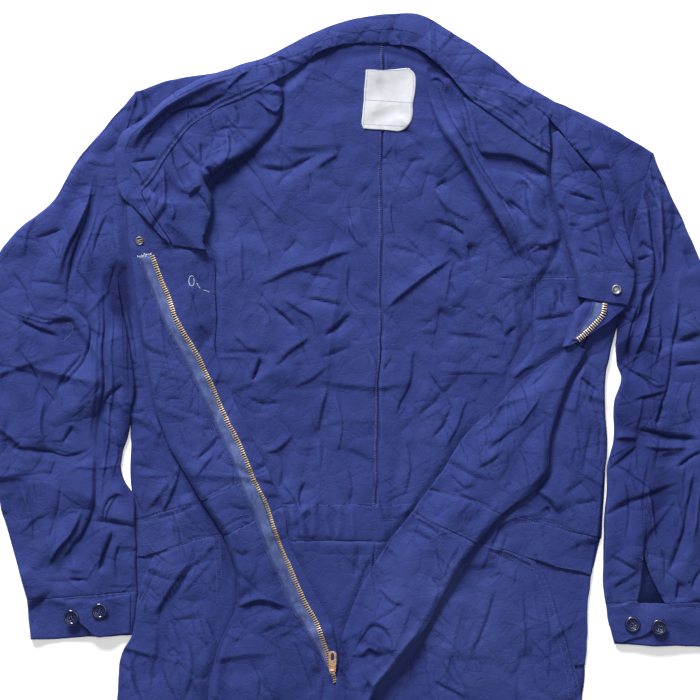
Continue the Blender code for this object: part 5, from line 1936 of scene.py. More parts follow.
def curled_span(row: SpanRow) -> Row:
    """A turned-back panel's section: a quarter roll at one side, then level."""
    roll, far = Vector(row.roll), Vector(row.far)
    across, width = (far - roll).normalized(), (far - roll).length
    reach = min(CURL_REACH, width * 0.4)
    points: Row = []
    for angle in CURL_ANGLES:
        turned = math.radians(angle)
        push, height = reach * angle / 90, row.z
        if row.curled:
            push = reach * (1 - math.cos(turned))
            height = row.z - (row.z - row.low) * (1 - math.sin(turned))
        points.append((*(roll + across * push), height))
    start = roll + across * reach
    return points + [(*mix(tuple(start), tuple(far), t), row.z) for t in (0.25, 0.5, 0.75, 1)]


def moved(row: Row, by: float) -> Row:
    """A copy of a row of points, moved by this much in y."""
    return [(p[0], p[1] + by, p[2]) if p is not None else None for p in row]


def table_at(points: Any, x: float) -> float:
    """y of a polyline of x, y points at x."""
    ordered = sorted(points)
    return float(np.interp(x, [p[0] for p in ordered], [p[1] for p in ordered]))


# ------------------------------------------------------------- main pieces


@dataclass
class Layers:
    """The relief of every layer of the garment, shared by the pieces in it."""

    seams: dict[str, tuple[Seam, ...]]
    outline: np.ndarray = field(default_factory=lambda: np.array(EXPOSED_BACK, float))

    def __post_init__(self) -> None:
        """Make one relief for each layer."""
        wide = (-300, -260, 320, 600)
        self.ground = Relief(
            11, wide, GROUND_CREASES, self.seams["ground"], PATCHES, lowest=0.0, raised=3.6,
            strength=2.7, slim=0.7, highest=11.0, crumple=0.85,
        )
        self.first_right = Relief(
            12, (-350, -300, -100, 560), FIRST_RIGHT_CREASES, self.seams["first_right"],
            raised=1.8,
        )
        self.top_right = Relief(
            13, (-320, -300, -30, 420), TOP_RIGHT_CREASES, self.seams["top_right"],
            lowest=-1.1, raised=1.8,
        )
        self.first_left = Relief(
            14, (0, -300, 340, 500), FIRST_LEFT_CREASES, self.seams["first_left"], raised=1.8
        )
        self.top_left = Relief(
            15, (-70, -300, 250, 260), TOP_LEFT_CREASES, self.seams["top_left"],
            lowest=-1.1, raised=1.8,
        )
        self.collar = Relief(
            16, (-330, 330, 310, 625), COLLAR_RIGHT_CREASES + COLLAR_LEFT_CREASES,
            self.seams["collar"], lowest=-2.2, swell=1.5, crumple=1.15, highest=9.0,
            raised=2.4, strength=2.6,
        )
        loose = {
            "lowest": -2.6, "highest": 13.0, "raised": 3.0, "swell": 2.0, "crumple": 1.2,
            "strength": 3.0,
        }
        self.sleeve_right = Relief(
            17, (-490, -90, -280, 540), SLEEVE_RIGHT_CREASES, self.seams["sleeve_right"],
            grain=80, **loose,
        )
        self.sleeve_left = Relief(
            18, (260, -90, 440, 460), SLEEVE_LEFT_CREASES, self.seams["sleeve_left"],
            grain=95, **loose,
        )

    def exposed(self, plan: np.ndarray) -> np.ndarray:
        """How openly the back lies at these points, from 0 under the fronts to 1."""
        return ease((inside_by(plan, self.outline) + 3.0) / 13.0)

    def ground_gain(self, surface: Surface) -> np.ndarray:
        """The relief of cloth on the floor."""
        share = self.exposed(np.nan_to_num(surface.plan, nan=FAR_AWAY))
        return self.ground.over(surface) * share.reshape(surface.points.shape[:2])


@dataclass
class BackBodice:
    """The two back halves, sewn along the middle, with a roll of slack in the left one."""

    room: Workroom
    layers: Layers
    roll: tuple[Plan, Plan] = ((66, 508), (160, 338))
    roll_height: float = 9.0
    roll_half: float = 27.0

    def slack(self, plan: np.ndarray) -> np.ndarray:
        """Height of the roll at plan points."""
        start, end = (np.array(p, float) for p in self.roll)
        line = end - start
        length = float(np.linalg.norm(line))
        offset = plan - start
        along = offset @ line / length**2
        side = (offset[:, 0] * line[1] - offset[:, 1] * line[0]) / length
        curve = side + 5.0 * np.sin(along * math.pi)
        steep = np.where(curve > 0, 0.62, 1.15) * self.roll_half
        profile = ease(1 - np.abs(curve) / steep) ** 1.25
        return self.roll_height * ease(np.minimum(along, 1 - along) * 5) * profile

    @staticmethod
    def row(y: float, xs: list[float | None]) -> Row:
        """A level row of a half; its lowest row follows the waist seam."""
        points: Row = []
        for x in xs:
            level = table_at(WAIST_LINE, x or 0) + SEAM / 2 if y == WAIST_TOP else y
            points.append(None if x is None else (x, level, FLOOR_Z))
        return points

    @staticmethod
    def waist_places(xs: list[float | None]) -> list[float | None]:
        """These places, the nearest ones moved onto the corners of the waist line."""
        found = list(xs)
        for corner, _ in WAIST_LINE:
            if min(found) < corner < max(found):
                nearest = min(range(1, len(found) - 1), key=lambda i: abs(found[i] - corner))
                found[nearest] = corner
        return found

    @staticmethod
    def above(bottom: Row, line: Any, shares: tuple[float, ...], xs: list[float]) -> list[Row]:
        """Rows from a level row up to the neck and shoulder line, tucked in at the neck."""
        top: Row = [(x, table_at(line, x) + 5 * (abs(x) < 100), FLOOR_Z) for x in xs]
        return [[mix(a, b, s) for a, b in zip(bottom, top)] for s in shares] + [top]

    def right_rows(self) -> list[Row]:
        """The right half's rows."""
        steps = [i / 10 for i in range(11)]
        rows = []
        for row in BACK_RIGHT:
            side = row.side or right_arm(row.y)[0]
            xs = [lerp(row.centre - SEAM, side, t) for t in steps]
            rows.append(self.row(row.y, self.waist_places(xs) if row.y == WAIST_TOP else xs))
        xs = [lerp(1 - SEAM, NECK_RIGHT[-1][0], t) for t in steps]
        return rows + self.above(rows[-1], NECK_RIGHT, (0.5,), xs)

    def left_rows(self) -> list[Row]:
        """The left half's rows; below the pocket its side lies on the folded front."""
        narrow, wide = [i / 12 for i in range(13)], [i / 7 for i in range(1, 8)]
        rows = []
        for row in BACK_LEFT:
            xs = [lerp(row.centre + SEAM, row.seam - SEAM, t) for t in narrow]
            if row.side:
                xs += [lerp(row.seam - SEAM, row.side - 2 * SEAM, t) for t in wide]
                xs = self.waist_places(xs) if row.y == WAIST_TOP else xs
            else:
                xs += [None] * len(wide)
            rows.append(self.row(row.y, xs))
        xs = [lerp(1 + SEAM, NARROW_END - SEAM, t) for t in narrow]
        xs += [lerp(NARROW_END - SEAM, NECK_LEFT[-1][0] - 2 * SEAM, t) for t in wide]
        return rows + self.above(rows[-1], NECK_LEFT, (0.25, 0.5, 0.75), xs)

    def make(self) -> None:
        """Sew both halves."""
        for node, rows in (("back_right", self.right_rows()), ("back_left", self.left_rows())):
            surface = fine_surface(rows, 2.6, 2.6)
            gain = self.layers.ground_gain(surface)
            slack = self.slack(np.nan_to_num(surface.plan)).reshape(gain.shape)
            x, y = surface.points[..., 0], surface.points[..., 1]
            line = np.interp(x, *zip(*sorted(NECK_RIGHT[1:] + NECK_LEFT)))
            # painted shadow: the back darkens near the neck, where the collar overhangs it
            inside = ease((y - line + 48) / 40) * ease((115 - np.abs(x)) / 40)
            self.room.sew(node, surface, gain + slack, marks_and_shade=-0.9 * np.nan_to_num(inside))


@dataclass
class BackWaist:
    """The gathered band across the back, and the seat and legs below it."""

    room: Workroom
    layers: Layers
    gather_height: float = 2.6

    def band(self) -> None:
        """Sew the band."""
        start, end = GATHERED
        xs = [max(min(x, 260.0), -298.5) for x, _ in WAIST_LINE]
        rows = []
        for share in (0.0, 0.5, 1.0):
            lift = SEAM / 2 * (1 - 2 * share) - lerp(BAND, 0.0, share)
            xs[-1] = lerp(253.0, 263.0, share)
            rows.append([(x, table_at(WAIST_LINE, x) + lift, FLOOR_Z) for x in xs])
        surface = fine_surface(rows, 2.4, 2.0)
        gain = self.layers.ground_gain(surface)
        x, y = surface.points[..., 0], surface.points[..., 1]
        share = (x - start) / (end - start)
        fade = ease(np.minimum(share, 1 - share) * 8) * ease((np.abs(x + 8) - 20) / 12)
        phase = 2 * math.pi * share * GATHERS + 1.4 * np.sin(x / 17.0) + 0.5 * np.sin(y / 9 + x / 5)
        wave = (0.5 - 0.5 * np.cos(phase)) ** 1.4 * (0.65 + 0.35 * np.sin(x * 0.21 + 1))
        open_there = self.layers.exposed(surface.plan).reshape(x.shape)
        level = surface.row_at[:, None] / 2
        wave = wave * open_there * ease(np.minimum(level, 1 - level) * 5)
        self.room.sew("back_waistband", surface, gain + self.gather_height * fade * wave)

    def seats(self) -> None:
        """Sew each seat with its leg."""
        for side, sign in (("right", -1), ("left", 1)):
            xs = sorted((x for x, _ in WAIST_LINE if x * sign > 8), key=abs)
            xs = [-7 + sign * SEAM / 2, *xs]
            xs[-1] = -296.5 if sign < 0 else 253.5
            shares = [(x - xs[0]) / (xs[-1] - xs[0]) for x in xs]
            rows: list[Row] = [
                [(x, table_at(WAIST_LINE, x) - BAND - SEAM / 2, FLOOR_Z) for x in xs]
            ]
            ends = [(row.y, row.inner, row.right if sign < 0 else row.left) for row in SEAT]
            for y, inner, outer in ends + list(LEGS[side]):
                start = inner + sign * SEAM / 2
                rows.append([(lerp(start, outer, t), y, FLOOR_Z) for t in shares])
            sizes = [3.0 if row[0][1] > -150 else LONG for row in rows[:-1]]
            surface = fine_surface(rows, sizes, 3.2)
            self.room.sew(f"seat_{side}", surface, self.layers.ground_gain(surface))

    def pockets(self) -> None:
        """Sew the facing behind each hip pocket's mouth."""
        for side, table in (("right", POCKET_RIGHT), ("left", POCKET_LEFT)):
            rows = [
                [(*mix(row.outer, row.inner, t), REST_Z) for t in (0.0, 0.5, 1.0)]
                for row in table
            ]
            rows[0] = moved(rows[0], -SEAM)
            surface = fine_surface(rows, FINE, FINE)
            relief = self.layers.first_right if side == "right" else self.layers.first_left
            gain = 0.35 * relief.over(surface)
            self.room.sew(f"hip_pocket_{side}", surface, gain)

    def make(self) -> None:
        """Sew the band, the seats and the pockets."""
        self.band()
        self.seats()
        self.pockets()


@dataclass
class Fronts:
    """Both fronts, each folded in a Z beside its zip edge, down to the hems."""

    room: Workroom
    layers: Layers

    FIRST = len(INNER_RUN) + TURN_STEPS - 1
    TOP = FIRST + len(FIRST_RUN) + 2 * (TURN_STEPS - 1) + len(MIDDLE_RUN)

    def column_sizes(self, side: str) -> np.ndarray:
        """Widths of the cells: fine where the cloth shows."""
        sizes = np.full(self.TOP + LAST_RUN, PLAIN)
        sizes[: self.FIRST] = 3.2 if side == "left" else PLAIN
        sizes[self.FIRST - 4 : self.FIRST] = 1.6
        sizes[self.FIRST : self.FIRST + 4] = 3.0
        sizes[self.TOP - 4 : self.TOP] = 1.2
        sizes[self.TOP :] = FINE
        return sizes

    def gain(self, surface: Surface, rows: list[FoldRow], side: str) -> np.ndarray:
        """The relief of each layer where it shows."""
        first, top = (
            (self.layers.first_right, self.layers.top_right)
            if side == "right"
            else (self.layers.first_left, self.layers.top_left)
        )
        sign = 1 if side == "right" else -1
        far = 900.0 * sign
        folds = [row.fold[0] if row.fold else far for row in rows]
        for i, row in enumerate(rows[:-1]):
            if not row.fold and rows[i + 1].fold:
                folds[i] = rows[i + 1].fold[0]
        fold_x = np.interp(surface.row_at, range(len(rows)), folds)[:, None]
        past = (surface.points[..., 0] - fold_x) * sign
        column = surface.column_at[None, :]
        in_first = (column >= self.FIRST) & (column < self.FIRST + 4.2)
        edge = ease((column - self.FIRST + 0.6) / 0.6)
        on_first = np.where(in_first, ease((-past - 1.0) / 12.0) * edge, 0.0)
        on_top = np.where(column >= self.TOP - 0.5, ease((past + 1.0) / 9.0), 0.0)
        total = first.over(surface) * on_first + top.over(surface) * on_top
        if side == "left":
            inner = ease((self.FIRST - 3.4 - column) / 0.5)
            total += self.layers.ground_gain(surface) * inner
        return np.nan_to_num(total)

    def make(self) -> None:
        """Sew the bodice front, the waistband and the trouser front of each side."""
        groups = (
            ("right", FRONT_RIGHT, WAIST_RIGHT, TROUSER_RIGHT),
            ("left", FRONT_LEFT, WAIST_LEFT, TROUSER_LEFT),
        )
        for side, bodice, waist, trouser in groups:
            sizes = self.column_sizes(side)
            upper = [FrontSection(row).points() for row in bodice]
            upper[-1] = moved(upper[-1], SEAM / 2)
            band = [FrontSection(row).points() for row in waist]
            band = [moved(band[0], -SEAM / 2), moved(band[1], SEAM / 2)]
            lower = [FrontSection(row).points() for row in trouser]
            lower[0] = moved(lower[0], -SEAM / 2)
            steps = [3.0 if row.side[1] > IN_VIEW else LONG for row in trouser[:-1]]
            for node, rows, table, size in (
                (f"front_{side}", upper, bodice, 3.0),
                (f"front_waistband_{side}", band, waist, 2.4),
                (f"trouser_front_{side}", lower, trouser, steps),
            ):
                surface = fine_surface(rows, size, sizes)
                gain = self.gain(surface, list(table), side)
                self.room.sew(node, surface, gain, rests_on=(f"back_{side}",))


@dataclass
class Sleeves:
    """Flattened sleeves with their cuffs, and a slit above the left cuff."""

    room: Workroom
    layers: Layers
    fold_height: float = 5.5

    UPPER = len(UNDER_RUN) + TURN_STEPS - 1

    def ring(self, row: TubeRow, top: float = LAYERS[0]) -> Row:
        """Points round one ring: under wall, outer turn, upper wall, inner turn."""
        inner, outer = Vector(row.inner), Vector(row.outer)
        across = (outer - inner).normalized()
        near, far = tuple(inner + across * TURN_REACH), tuple(outer - across * TURN_REACH)
        ring: Row = [(*bowed(near, far, row.bow, t), FLOOR_Z) for t in UNDER_RUN]
        ring += turn(far, tuple(across), TURN_REACH, FLOOR_Z, top)
        upper = [1 - t for t in UPPER_RUN]
        if row.slit:
            width = math.dist(near, far)
            edges = [(Vector(p) - Vector(near)).dot(across) / width for p in row.slit]
            upper[SLIT_COLUMN + 1], upper[SLIT_COLUMN] = edges
        ring += [(*bowed(near, far, row.bow, t), top) for t in upper]
        return ring + turn(near, tuple(-across), TURN_REACH, top, FLOOR_Z)

    def folds(self, surface: Surface, last: float) -> np.ndarray:
        """Height of the long folds in the upper wall."""
        column, row = surface.column_at[None, :], surface.row_at[:, None] / last
        share = 1 - np.clip((column - self.UPPER) / (len(UPPER_RUN) - 1), 0, 1)
        share = share + 0.05 * np.sin(row * 9) + 0.02 * np.sin(row * 23)
        first = ease(1 - np.abs(share - 0.28) / 0.17)
        second = ease(1 - np.abs(share - 0.72) / 0.19)
        ends = ease(np.minimum(row, 1 - row) * 4)
        there = (column >= self.UPPER) & (column <= self.UPPER + len(UPPER_RUN) - 1)
        return self.fold_height * ends * (first + 0.8 * second) * there

    def sizes(self) -> np.ndarray:
        """Widths of the cells: coarse in the under wall."""
        count = len(UNDER_RUN) + 2 * (TURN_STEPS - 1) + len(UPPER_RUN)
        sizes = np.full(count, 11.0)
        sizes[len(UNDER_RUN) - 1 : self.UPPER] = 1.6
        sizes[self.UPPER : self.UPPER + len(UPPER_RUN) - 1] = FINE
        sizes[self.UPPER + len(UPPER_RUN) - 1 :] = 1.6
        return sizes

    def tube(self, node: str, table: tuple[TubeRow, ...], relief: Relief) -> None:
        """Sew one tube."""
        cut = None
        if any(row.slit for row in table):
            first = next(i for i, row in enumerate(table) if row.slit)
            cut = (self.UPPER + SLIT_COLUMN, first, len(table) - 1)
        rings = [self.ring(row) for row in table]
        is_cuff = node.startswith("cuff")
        if is_cuff:
            rings[0] = moved(rings[0], CUFF_LAP)
        surface = fine_surface(rings, FINE, self.sizes(), True, cut)
        column = surface.column_at[None, :]
        weight = ease(np.minimum(column - self.UPPER + 1.5, self.UPPER + 8.5 - column) / 1.5)
        gain = relief.over(surface) * weight
        if not is_cuff:
            gain = gain + self.folds(surface, len(table) - 1)
        self.room.sew(node, surface, gain)

    def make(self) -> None:
        """Sew the sleeves, then the cuffs."""
        right, left = self.layers.sleeve_right, self.layers.sleeve_left
        self.tube("sleeve_right", SLEEVE_RIGHT, right)
        self.tube("sleeve_left", SLEEVE_LEFT, left)
        self.tube("cuff_right", CUFF_RIGHT, right)
        self.tube("cuff_left", CUFF_LEFT, left)
        self.tabs()

    def tabs(self) -> None:
        """Sew the pointed buttoning ends on the cuffs."""
        for side, table in (("right", TAB_RIGHT), ("left", TAB_LEFT)):
            rows: list[Row] = [
                [(row.x, lerp(row.upper, row.lower, t), row.z) for t in (0.0, 0.5, 1.0)]
                for row in table
            ]
            surface = fine_surface(rows, 2.0, 2.0)
            relief = self.layers.sleeve_right if side == "right" else self.layers.sleeve_left
            gain = 0.6 * relief.over(surface)
            for at in np.ndindex(gain.shape):
                x, y, z = surface.points[at]
                below = self.room.drop((f"cuff_{side}",), x, y)
                if below is not None:
                    gain[at] = max(gain[at], below + 1.1 - z)
            self.room.sew(f"cuff_tab_{side}", surface, gain, rests_on=(f"cuff_{side}",))


class Lift:
    """How far the cloths of the collar rise together to clear what lies under them."""

    def __init__(self, low: Plan, high: Plan, cell: float = 4.0) -> None:
        """Start level over a box."""
        self.low, self.cell = np.array(low, float), cell
        self.grid = np.zeros(np.ceil((np.array(high) - self.low) / cell).astype(int) + 3)

    def need(self, plan: np.ndarray, lift: np.ndarray) -> None:
        """Ask for at least this lift at plan points."""
        at = np.rint((np.nan_to_num(plan) - self.low) / self.cell).astype(int)
        inside = ((at > 0) & (at < np.array(self.grid.shape) - 1)).all(axis=1)
        np.maximum.at(self.grid, tuple(at[inside].T), lift[inside])

    def settle(self) -> None:
        """Spread the lift smoothly round the places that need it."""
        for axis in (0, 1):
            spread = [np.roll(self.grid, step, axis) for step in (-1, 0, 1)]
            self.grid = np.maximum.reduce(spread)
        wanted = self.grid.copy()
        for _ in range(16):
            near = sum(np.roll(self.grid, s, a) for s in (-1, 1) for a in (0, 1))
            self.grid = np.maximum(0.5 * self.grid + 0.125 * near, wanted)

    def at(self, plan: np.ndarray) -> np.ndarray:
        """The lift at plan points."""
        place = (np.nan_to_num(plan) - self.low) / self.cell
        place = np.clip(place, 0, np.array(self.grid.shape) - 1.001)
        i, j = np.floor(place).astype(int).T
        s, t = (place - np.floor(place)).T
        low = self.grid[i, j] * (1 - s) + self.grid[i + 1, j] * s
        return low * (1 - t) + (self.grid[i, j + 1] * (1 - s) + self.grid[i + 1, j + 1] * s) * t


@dataclass
class Collar:
    """The collar's stand and leaf, and the facings that turn back from the neck."""

    room: Workroom
    layers: Layers
    lift: Lift = field(default_factory=lambda: Lift((-340, 260), (340, 640)))

    SMUDGES = ((120.0, 526.0, 5.0), (137.0, 514.0, 4.5), (98.0, 528.0, 3.0))

    def shape(
        self, rows: list[Row], rise: float, under: tuple[str, ...], curled: bool = False
    ) -> tuple[Surface, np.ndarray]:
        """The surface and folds of one piece, which asks for the lift that it needs."""
        surface = fine_surface(rows, 2.4, 2.0)
        gain = self.layers.collar.over(surface)
        column = surface.column_at[None, :]
        if curled:
            gain = gain * ease((column + 0.5) / 3.0)
        arch = np.sin(np.clip(column / column.max(), 0, 1) * math.pi)
        gain = gain + rise * arch
        self.lift.need(surface.plan, self.room.sinking(surface, gain, under).ravel())
        return surface, gain

    def sew(self, node: str, surface: Surface, gain: np.ndarray) -> None:
        """Sew one piece, chalky where it has been smudged."""
        gain = gain + self.lift.at(surface.plan).reshape(gain.shape)
        chalk = np.zeros(gain.shape)
        for x, y, reach in self.SMUDGES:
            away = np.hypot(surface.points[..., 0] - x, surface.points[..., 1] - y) / reach
            chalk += 2.2 * np.exp(-(away**2))
        self.room.sew(node, surface, gain, marks_and_shade=np.nan_to_num(chalk))

    def make(self) -> None:
        """Sew the stand, the leaf and the facings."""
        stand, leaf = [], []
        for row in COLLAR:
            if row.neck:
                neck = (*row.neck[:2], row.neck[2] + 0.9)
                end = 1 - ROLL_GAP / math.dist(row.neck, row.roll)
                stand.append([mix(neck, row.roll, t) for t in (-0.15, 0.5, end)])
            start = ROLL_GAP / math.dist(row.roll, row.edge)
            leaf.append([mix(row.roll, row.edge, t) for t in (start, 0.5, 1.0)])
        right, left = (
            tuple(f"{part}_{side}" for part in ("back", "front", "sleeve"))
            for side in ("right", "left")
        )
        turned = {
            name: [curled_span(row) for row in table]
            for name, table in (("right", FACING_RIGHT), ("left", FACING_LEFT), ("fly", FLY_FLAP))
        }
        pieces = {
            "collar_stand": self.shape(stand, 0.6, right + left),
            "collar_leaf": self.shape(leaf, 1.2, right + left),
            "facing_right": self.shape(turned["right"], 0.0, right, True),
            "facing_left": self.shape(turned["left"], 0.0, left, True),
            "fly_flap_left": self.shape(turned["fly"], 0.0, left),
        }
        self.lift.settle()
        for node, (surface, gain) in pieces.items():
            self.sew(node, surface, gain)


# -------------------------------------------------------- stitches and zip


class Repeater:
    """A Geometry Nodes tree that sets one small shape along lines at even steps."""

    INPUTS = (
        ("Lines", "NodeSocketGeometry"),
        ("Item", "NodeSocketObject"),
        ("Pitch", "NodeSocketFloat"),
        ("Uneven", "NodeSocketFloat"),
        ("Finish", "NodeSocketMaterial"),
    )

    def __init__(self, name: str) -> None:
        """Build the tree."""
        self.tree = bpy.data.node_groups.new(name, "GeometryNodeTree")
        ports = self.tree.interface
        self.keys = {
            label: ports.new_socket(label, in_out="INPUT", socket_type=kind).identifier
            for label, kind in self.INPUTS
        }
        ports.new_socket("Made", in_out="OUTPUT", socket_type="NodeSocketGeometry")
        given = self.tree.nodes.new("NodeGroupInput")
        line = self.step("GeometryNodeMeshToCurve", {"Mesh": given.outputs["Lines"]})
        upright = self.step("GeometryNodeSetCurveNormal", {"Curve": line.outputs[0]})
        upright.mode = "Z_UP"
        spread = self.tree.nodes.new("GeometryNodeCurveToPoints")
        spread.mode = "LENGTH"
        self.link(upright.outputs[0], spread.inputs["Curve"])
        self.link(given.outputs["Pitch"], spread.inputs["Length"])
        item = self.step("GeometryNodeObjectInfo", {"Object": given.outputs["Item"]})
        low = self.maths("SUBTRACT", 1.0, given.outputs["Uneven"])
        high = self.maths("ADD", 1.0, given.outputs["Uneven"])
        size = self.random("Scale", low, high, 3)
        lean_low = self.maths("MULTIPLY", -0.5, given.outputs["Uneven"])
        lean_high = self.maths("MULTIPLY", 0.5, given.outputs["Uneven"])
        lean = self.random("Lean", lean_low, lean_high, 7)
        turned = self.step("FunctionNodeEulerToRotation", {0: lean})
        rotation = self.tree.nodes.new("FunctionNodeRotateRotation")
        rotation.rotation_space = "LOCAL"
        self.link(spread.outputs["Rotation"], rotation.inputs[0])
        self.link(turned.outputs[0], rotation.inputs[1])
        placed = self.step(
            "GeometryNodeInstanceOnPoints",
            {
                "Points": spread.outputs["Points"],
                "Instance": item.outputs["Geometry"],
                "Rotation": rotation.outputs[0],
                "Scale": size,
            },
        )
        real = self.step("GeometryNodeRealizeInstances", {0: placed.outputs[0]})
        dressed = self.step(
            "GeometryNodeSetMaterial",
            {"Geometry": real.outputs[0], "Material": given.outputs["Finish"]},
        )
        self.step("NodeGroupOutput", {0: dressed.outputs[0]})

    def link(self, start: Any, end: Any) -> None:
        """Join two sockets."""
        self.tree.links.new(start, end)

    def step(self, kind: str, inputs: dict[Any, Any]) -> bpy.types.Node:
        """Add a node and join its inputs."""
        node = self.tree.nodes.new(kind)
        for key, socket in inputs.items():
            self.link(socket, node.inputs[key])
        return node

    def maths(self, operation: str, value: float, socket: Any) -> Any:
        """The result of a Math node on a number and a socket."""
        node = self.tree.nodes.new("ShaderNodeMath")
        node.operation = operation
        node.inputs[0].default_value = value
        self.link(socket, node.inputs[1])
        return node.outputs[0]

    def random(self, name: str, low: Any, high: Any, seed: int) -> Any:
        """A random vector for each point, between two numbers."""
        node = self.tree.nodes.new("FunctionNodeRandomValue")
        node.label = name
        node.data_type = "FLOAT_VECTOR"
        self.link(low, node.inputs["Min"])
        self.link(high, node.inputs["Max"])
        node.inputs["Seed"].default_value = seed
        return node.outputs["Value"]

    def run(
        self,
        name: str,
        lines: list[np.ndarray],
        item: bpy.types.Mesh,
        pitch: float,
        finish: bpy.types.Material,
        uneven: float = 0.08,
    ) -> bpy.types.Object:
        """Set the item along the lines.

        Args:
            name: the piece's name.
            lines: lines of points, in millimetres.
            item: the shape, with its length along Z and its upper side at -Y.
            pitch: the step, in millimetres.
            finish: its material.
            uneven: how much the copies differ.

        Returns:
            The piece, a plain mesh.
        """
        data = bpy.data.meshes.new(f"{name}_lines")
        points, edges = [], []
        for line in lines:
            start = len(points)
            points += [tuple(p * MM) for p in line]
            edges += [(i, i + 1) for i in range(start, len(points) - 1)]
        data.from_pydata(points, edges, [])
        body = bpy.data.objects.new(name, data)
        shape = bpy.data.objects.new(f"{name}_item", item)
        for obj in (body, shape):
            bpy.context.scene.collection.objects.link(obj)
        step = body.modifiers.new("repeat", "NODES")
        step.node_group = self.tree
        values = {"Item": shape, "Pitch": pitch * MM, "Uneven": uneven, "Finish": finish}
        for label, value in values.items():
            step[self.keys[label]] = value
        bpy.context.view_layer.update()
        graph = bpy.context.evaluated_depsgraph_get()
        made = bpy.data.meshes.new_from_object(body.evaluated_get(graph))
        body.modifiers.remove(step)
        body.data = made
        made.name = name
        bpy.data.objects.remove(shape)
        bpy.data.meshes.remove(data)
        return body


def bead(radii: Point, sides: int = 5, bands: int = 3, slant: float = 0.0) -> bpy.types.Mesh:
    """A rounded bead, long in Z.

    Args:
        radii: half its width, height and length, in millimetres.
        sides: how many sides it has round.
        bands: how many bands it has along.
        slant: how far its width leans along its length.

    Returns:
        The mesh.
    """
    points: list[Point] = [(0.0, 0.0, -radii[2])]
    faces: list[tuple[int, ...]] = []
    for band in range(1, bands):
        up = math.pi * band / bands
        for side in range(sides):
            around = 2 * math.pi * side / sides
            x = radii[0] * math.sin(up) * math.cos(around)
            y = radii[1] * math.sin(up) * math.sin(around)
            points.append((x, y, -radii[2] * math.cos(up) + slant * x))
    points.append((0.0, 0.0, radii[2]))
    last = len(points) - 1
    for side in range(sides):
        after = (side + 1) % sides
        faces.append((0, 1 + after, 1 + side))
        for band in range(bands - 2):
            low, high = 1 + band * sides, 1 + (band + 1) * sides
            faces.append((low + side, low + after, high + after, high + side))
        top = 1 + (bands - 2) * sides
        faces.append((top + side, top + after, last))
    return solid_mesh("bead", points, faces)


def solid_mesh(
    name: str, points: list[Point], faces: list[tuple[int, ...]], smooth: bool = True
) -> bpy.types.Mesh:
    """A mesh in metres from points in millimetres."""
    data = bpy.data.meshes.new(name)
    data.from_pydata([tuple(c * MM for c in p) for p in points], [], faces)
    data.polygons.foreach_set("use_smooth", [smooth] * len(data.polygons))
    data.update()
    return data


def place_object(name: str, data: bpy.types.Mesh, finish: bpy.types.Material) -> bpy.types.Object:
    """Link a mesh to the scene with its material."""
    body = bpy.data.objects.new(name, data)
    data.materials.append(finish)
    bpy.context.scene.collection.objects.link(body)
    return body


def fit(piece: bpy.types.Object, node: str = "", body: str = "garment") -> None:
    """Hand a finished piece over to the frame.

    Args:
        piece: the piece.
        node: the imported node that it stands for, if any.
        body: the body that it rides on.
    """
    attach(piece, body)
    if node:
        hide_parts(node)
    LOG.info("%s: %d faces", piece.name, len(piece.data.polygons))


def tube_mesh(
    name: str, paths: list[np.ndarray], radius: float, sides: int = 6
) -> bpy.types.Mesh:
    """Thin round tubes along paths of points, with closed ends."""
    points: list[Point] = []
    faces: list[tuple[int, ...]] = []
    for path in paths:
        first = len(points)
        count = len(path)
        for i, p in enumerate(path):
            ahead = path[min(i + 1, count - 1)] - path[max(i - 1, 0)]
            ahead = ahead / max(float(np.linalg.norm(ahead)), 1e-9)
            side = np.cross(ahead, (0.0, 0.0, 1.0))
            side = side / max(float(np.linalg.norm(side)), 1e-9)
            up = np.cross(side, ahead)
            for k in range(sides):
                around = 2 * math.pi * k / sides
                out = side * math.cos(around) + up * math.sin(around)
                points.append(tuple(p + radius * out))
        for i in range(count - 1):
            low, high = first + i * sides, first + (i + 1) * sides
            for k in range(sides):
                after = (k + 1) % sides
                faces.append((low + k, high + k, high + after, low + after))
        faces.append(tuple(first + k for k in range(sides)))
        faces.append(tuple(first + (count - 1) * sides + k for k in reversed(range(sides))))
    return solid_mesh(name, points, faces)


@dataclass
class Sewing:
    """The thread of every seam, laid on the cloth as single stitches."""

    room: Workroom
    seams: dict[str, tuple[Seam, ...]]
    thread: bpy.types.Material
    gauge: float = 6.2
    pitch: float = 3.1
    ladder: float = 2.6

    def trace(self, seam: Seam, offset: float) -> list[np.ndarray]:
        """The runs of points of one row of stitches, where there is cloth under it."""
        line = smooth_path(seam.path, 2.6)
        ahead = np.gradient(line, axis=0)
        ahead /= np.maximum(np.linalg.norm(ahead, axis=1), 1e-9)[:, None]
        line = line + offset * np.stack([ahead[:, 1], -ahead[:, 0]], axis=1)
        line = line + wandered(line)
        runs: list[list[Point]] = [[]]
        for x, y in line:
            height = self.room.drop(seam.on, x, y)
            if height is None:
                runs.append([])
            else:
                runs[-1].append((x, y, height + SHELL / 2 + 0.06))
        return [np.array(run) for run in runs if len(run) > 2]

    def make(self) -> None:
        """Lay every row of stitches."""
        repeater = Repeater("stitch_along")
        plain = bead((0.42, 0.26, 1.25))
        bar = bead((2.3, 0.42, 0.6), 5, 4, 0.3)
        for layer, seams in self.seams.items():
            groups = {"stitches": [], "overlock": []}
            for seam in seams:
                if seam.stitch is Stitch.PLAIN:
                    continue
                offsets = [seam.offset]
                if seam.stitch is Stitch.DOUBLE:
                    offsets = [seam.offset - self.gauge / 2, seam.offset + self.gauge / 2]
                word = "overlock" if seam.stitch is Stitch.OVERLOCK else "stitches"
                for offset in offsets:
                    groups[word] += self.trace(seam, offset)
            for word, lines in groups.items():
                if not lines:
                    continue
                item, pitch = (bar, self.ladder) if word == "overlock" else (plain, self.pitch)
                piece = repeater.run(f"{word}_{layer}", lines, item, pitch, self.thread)
                fit(piece)


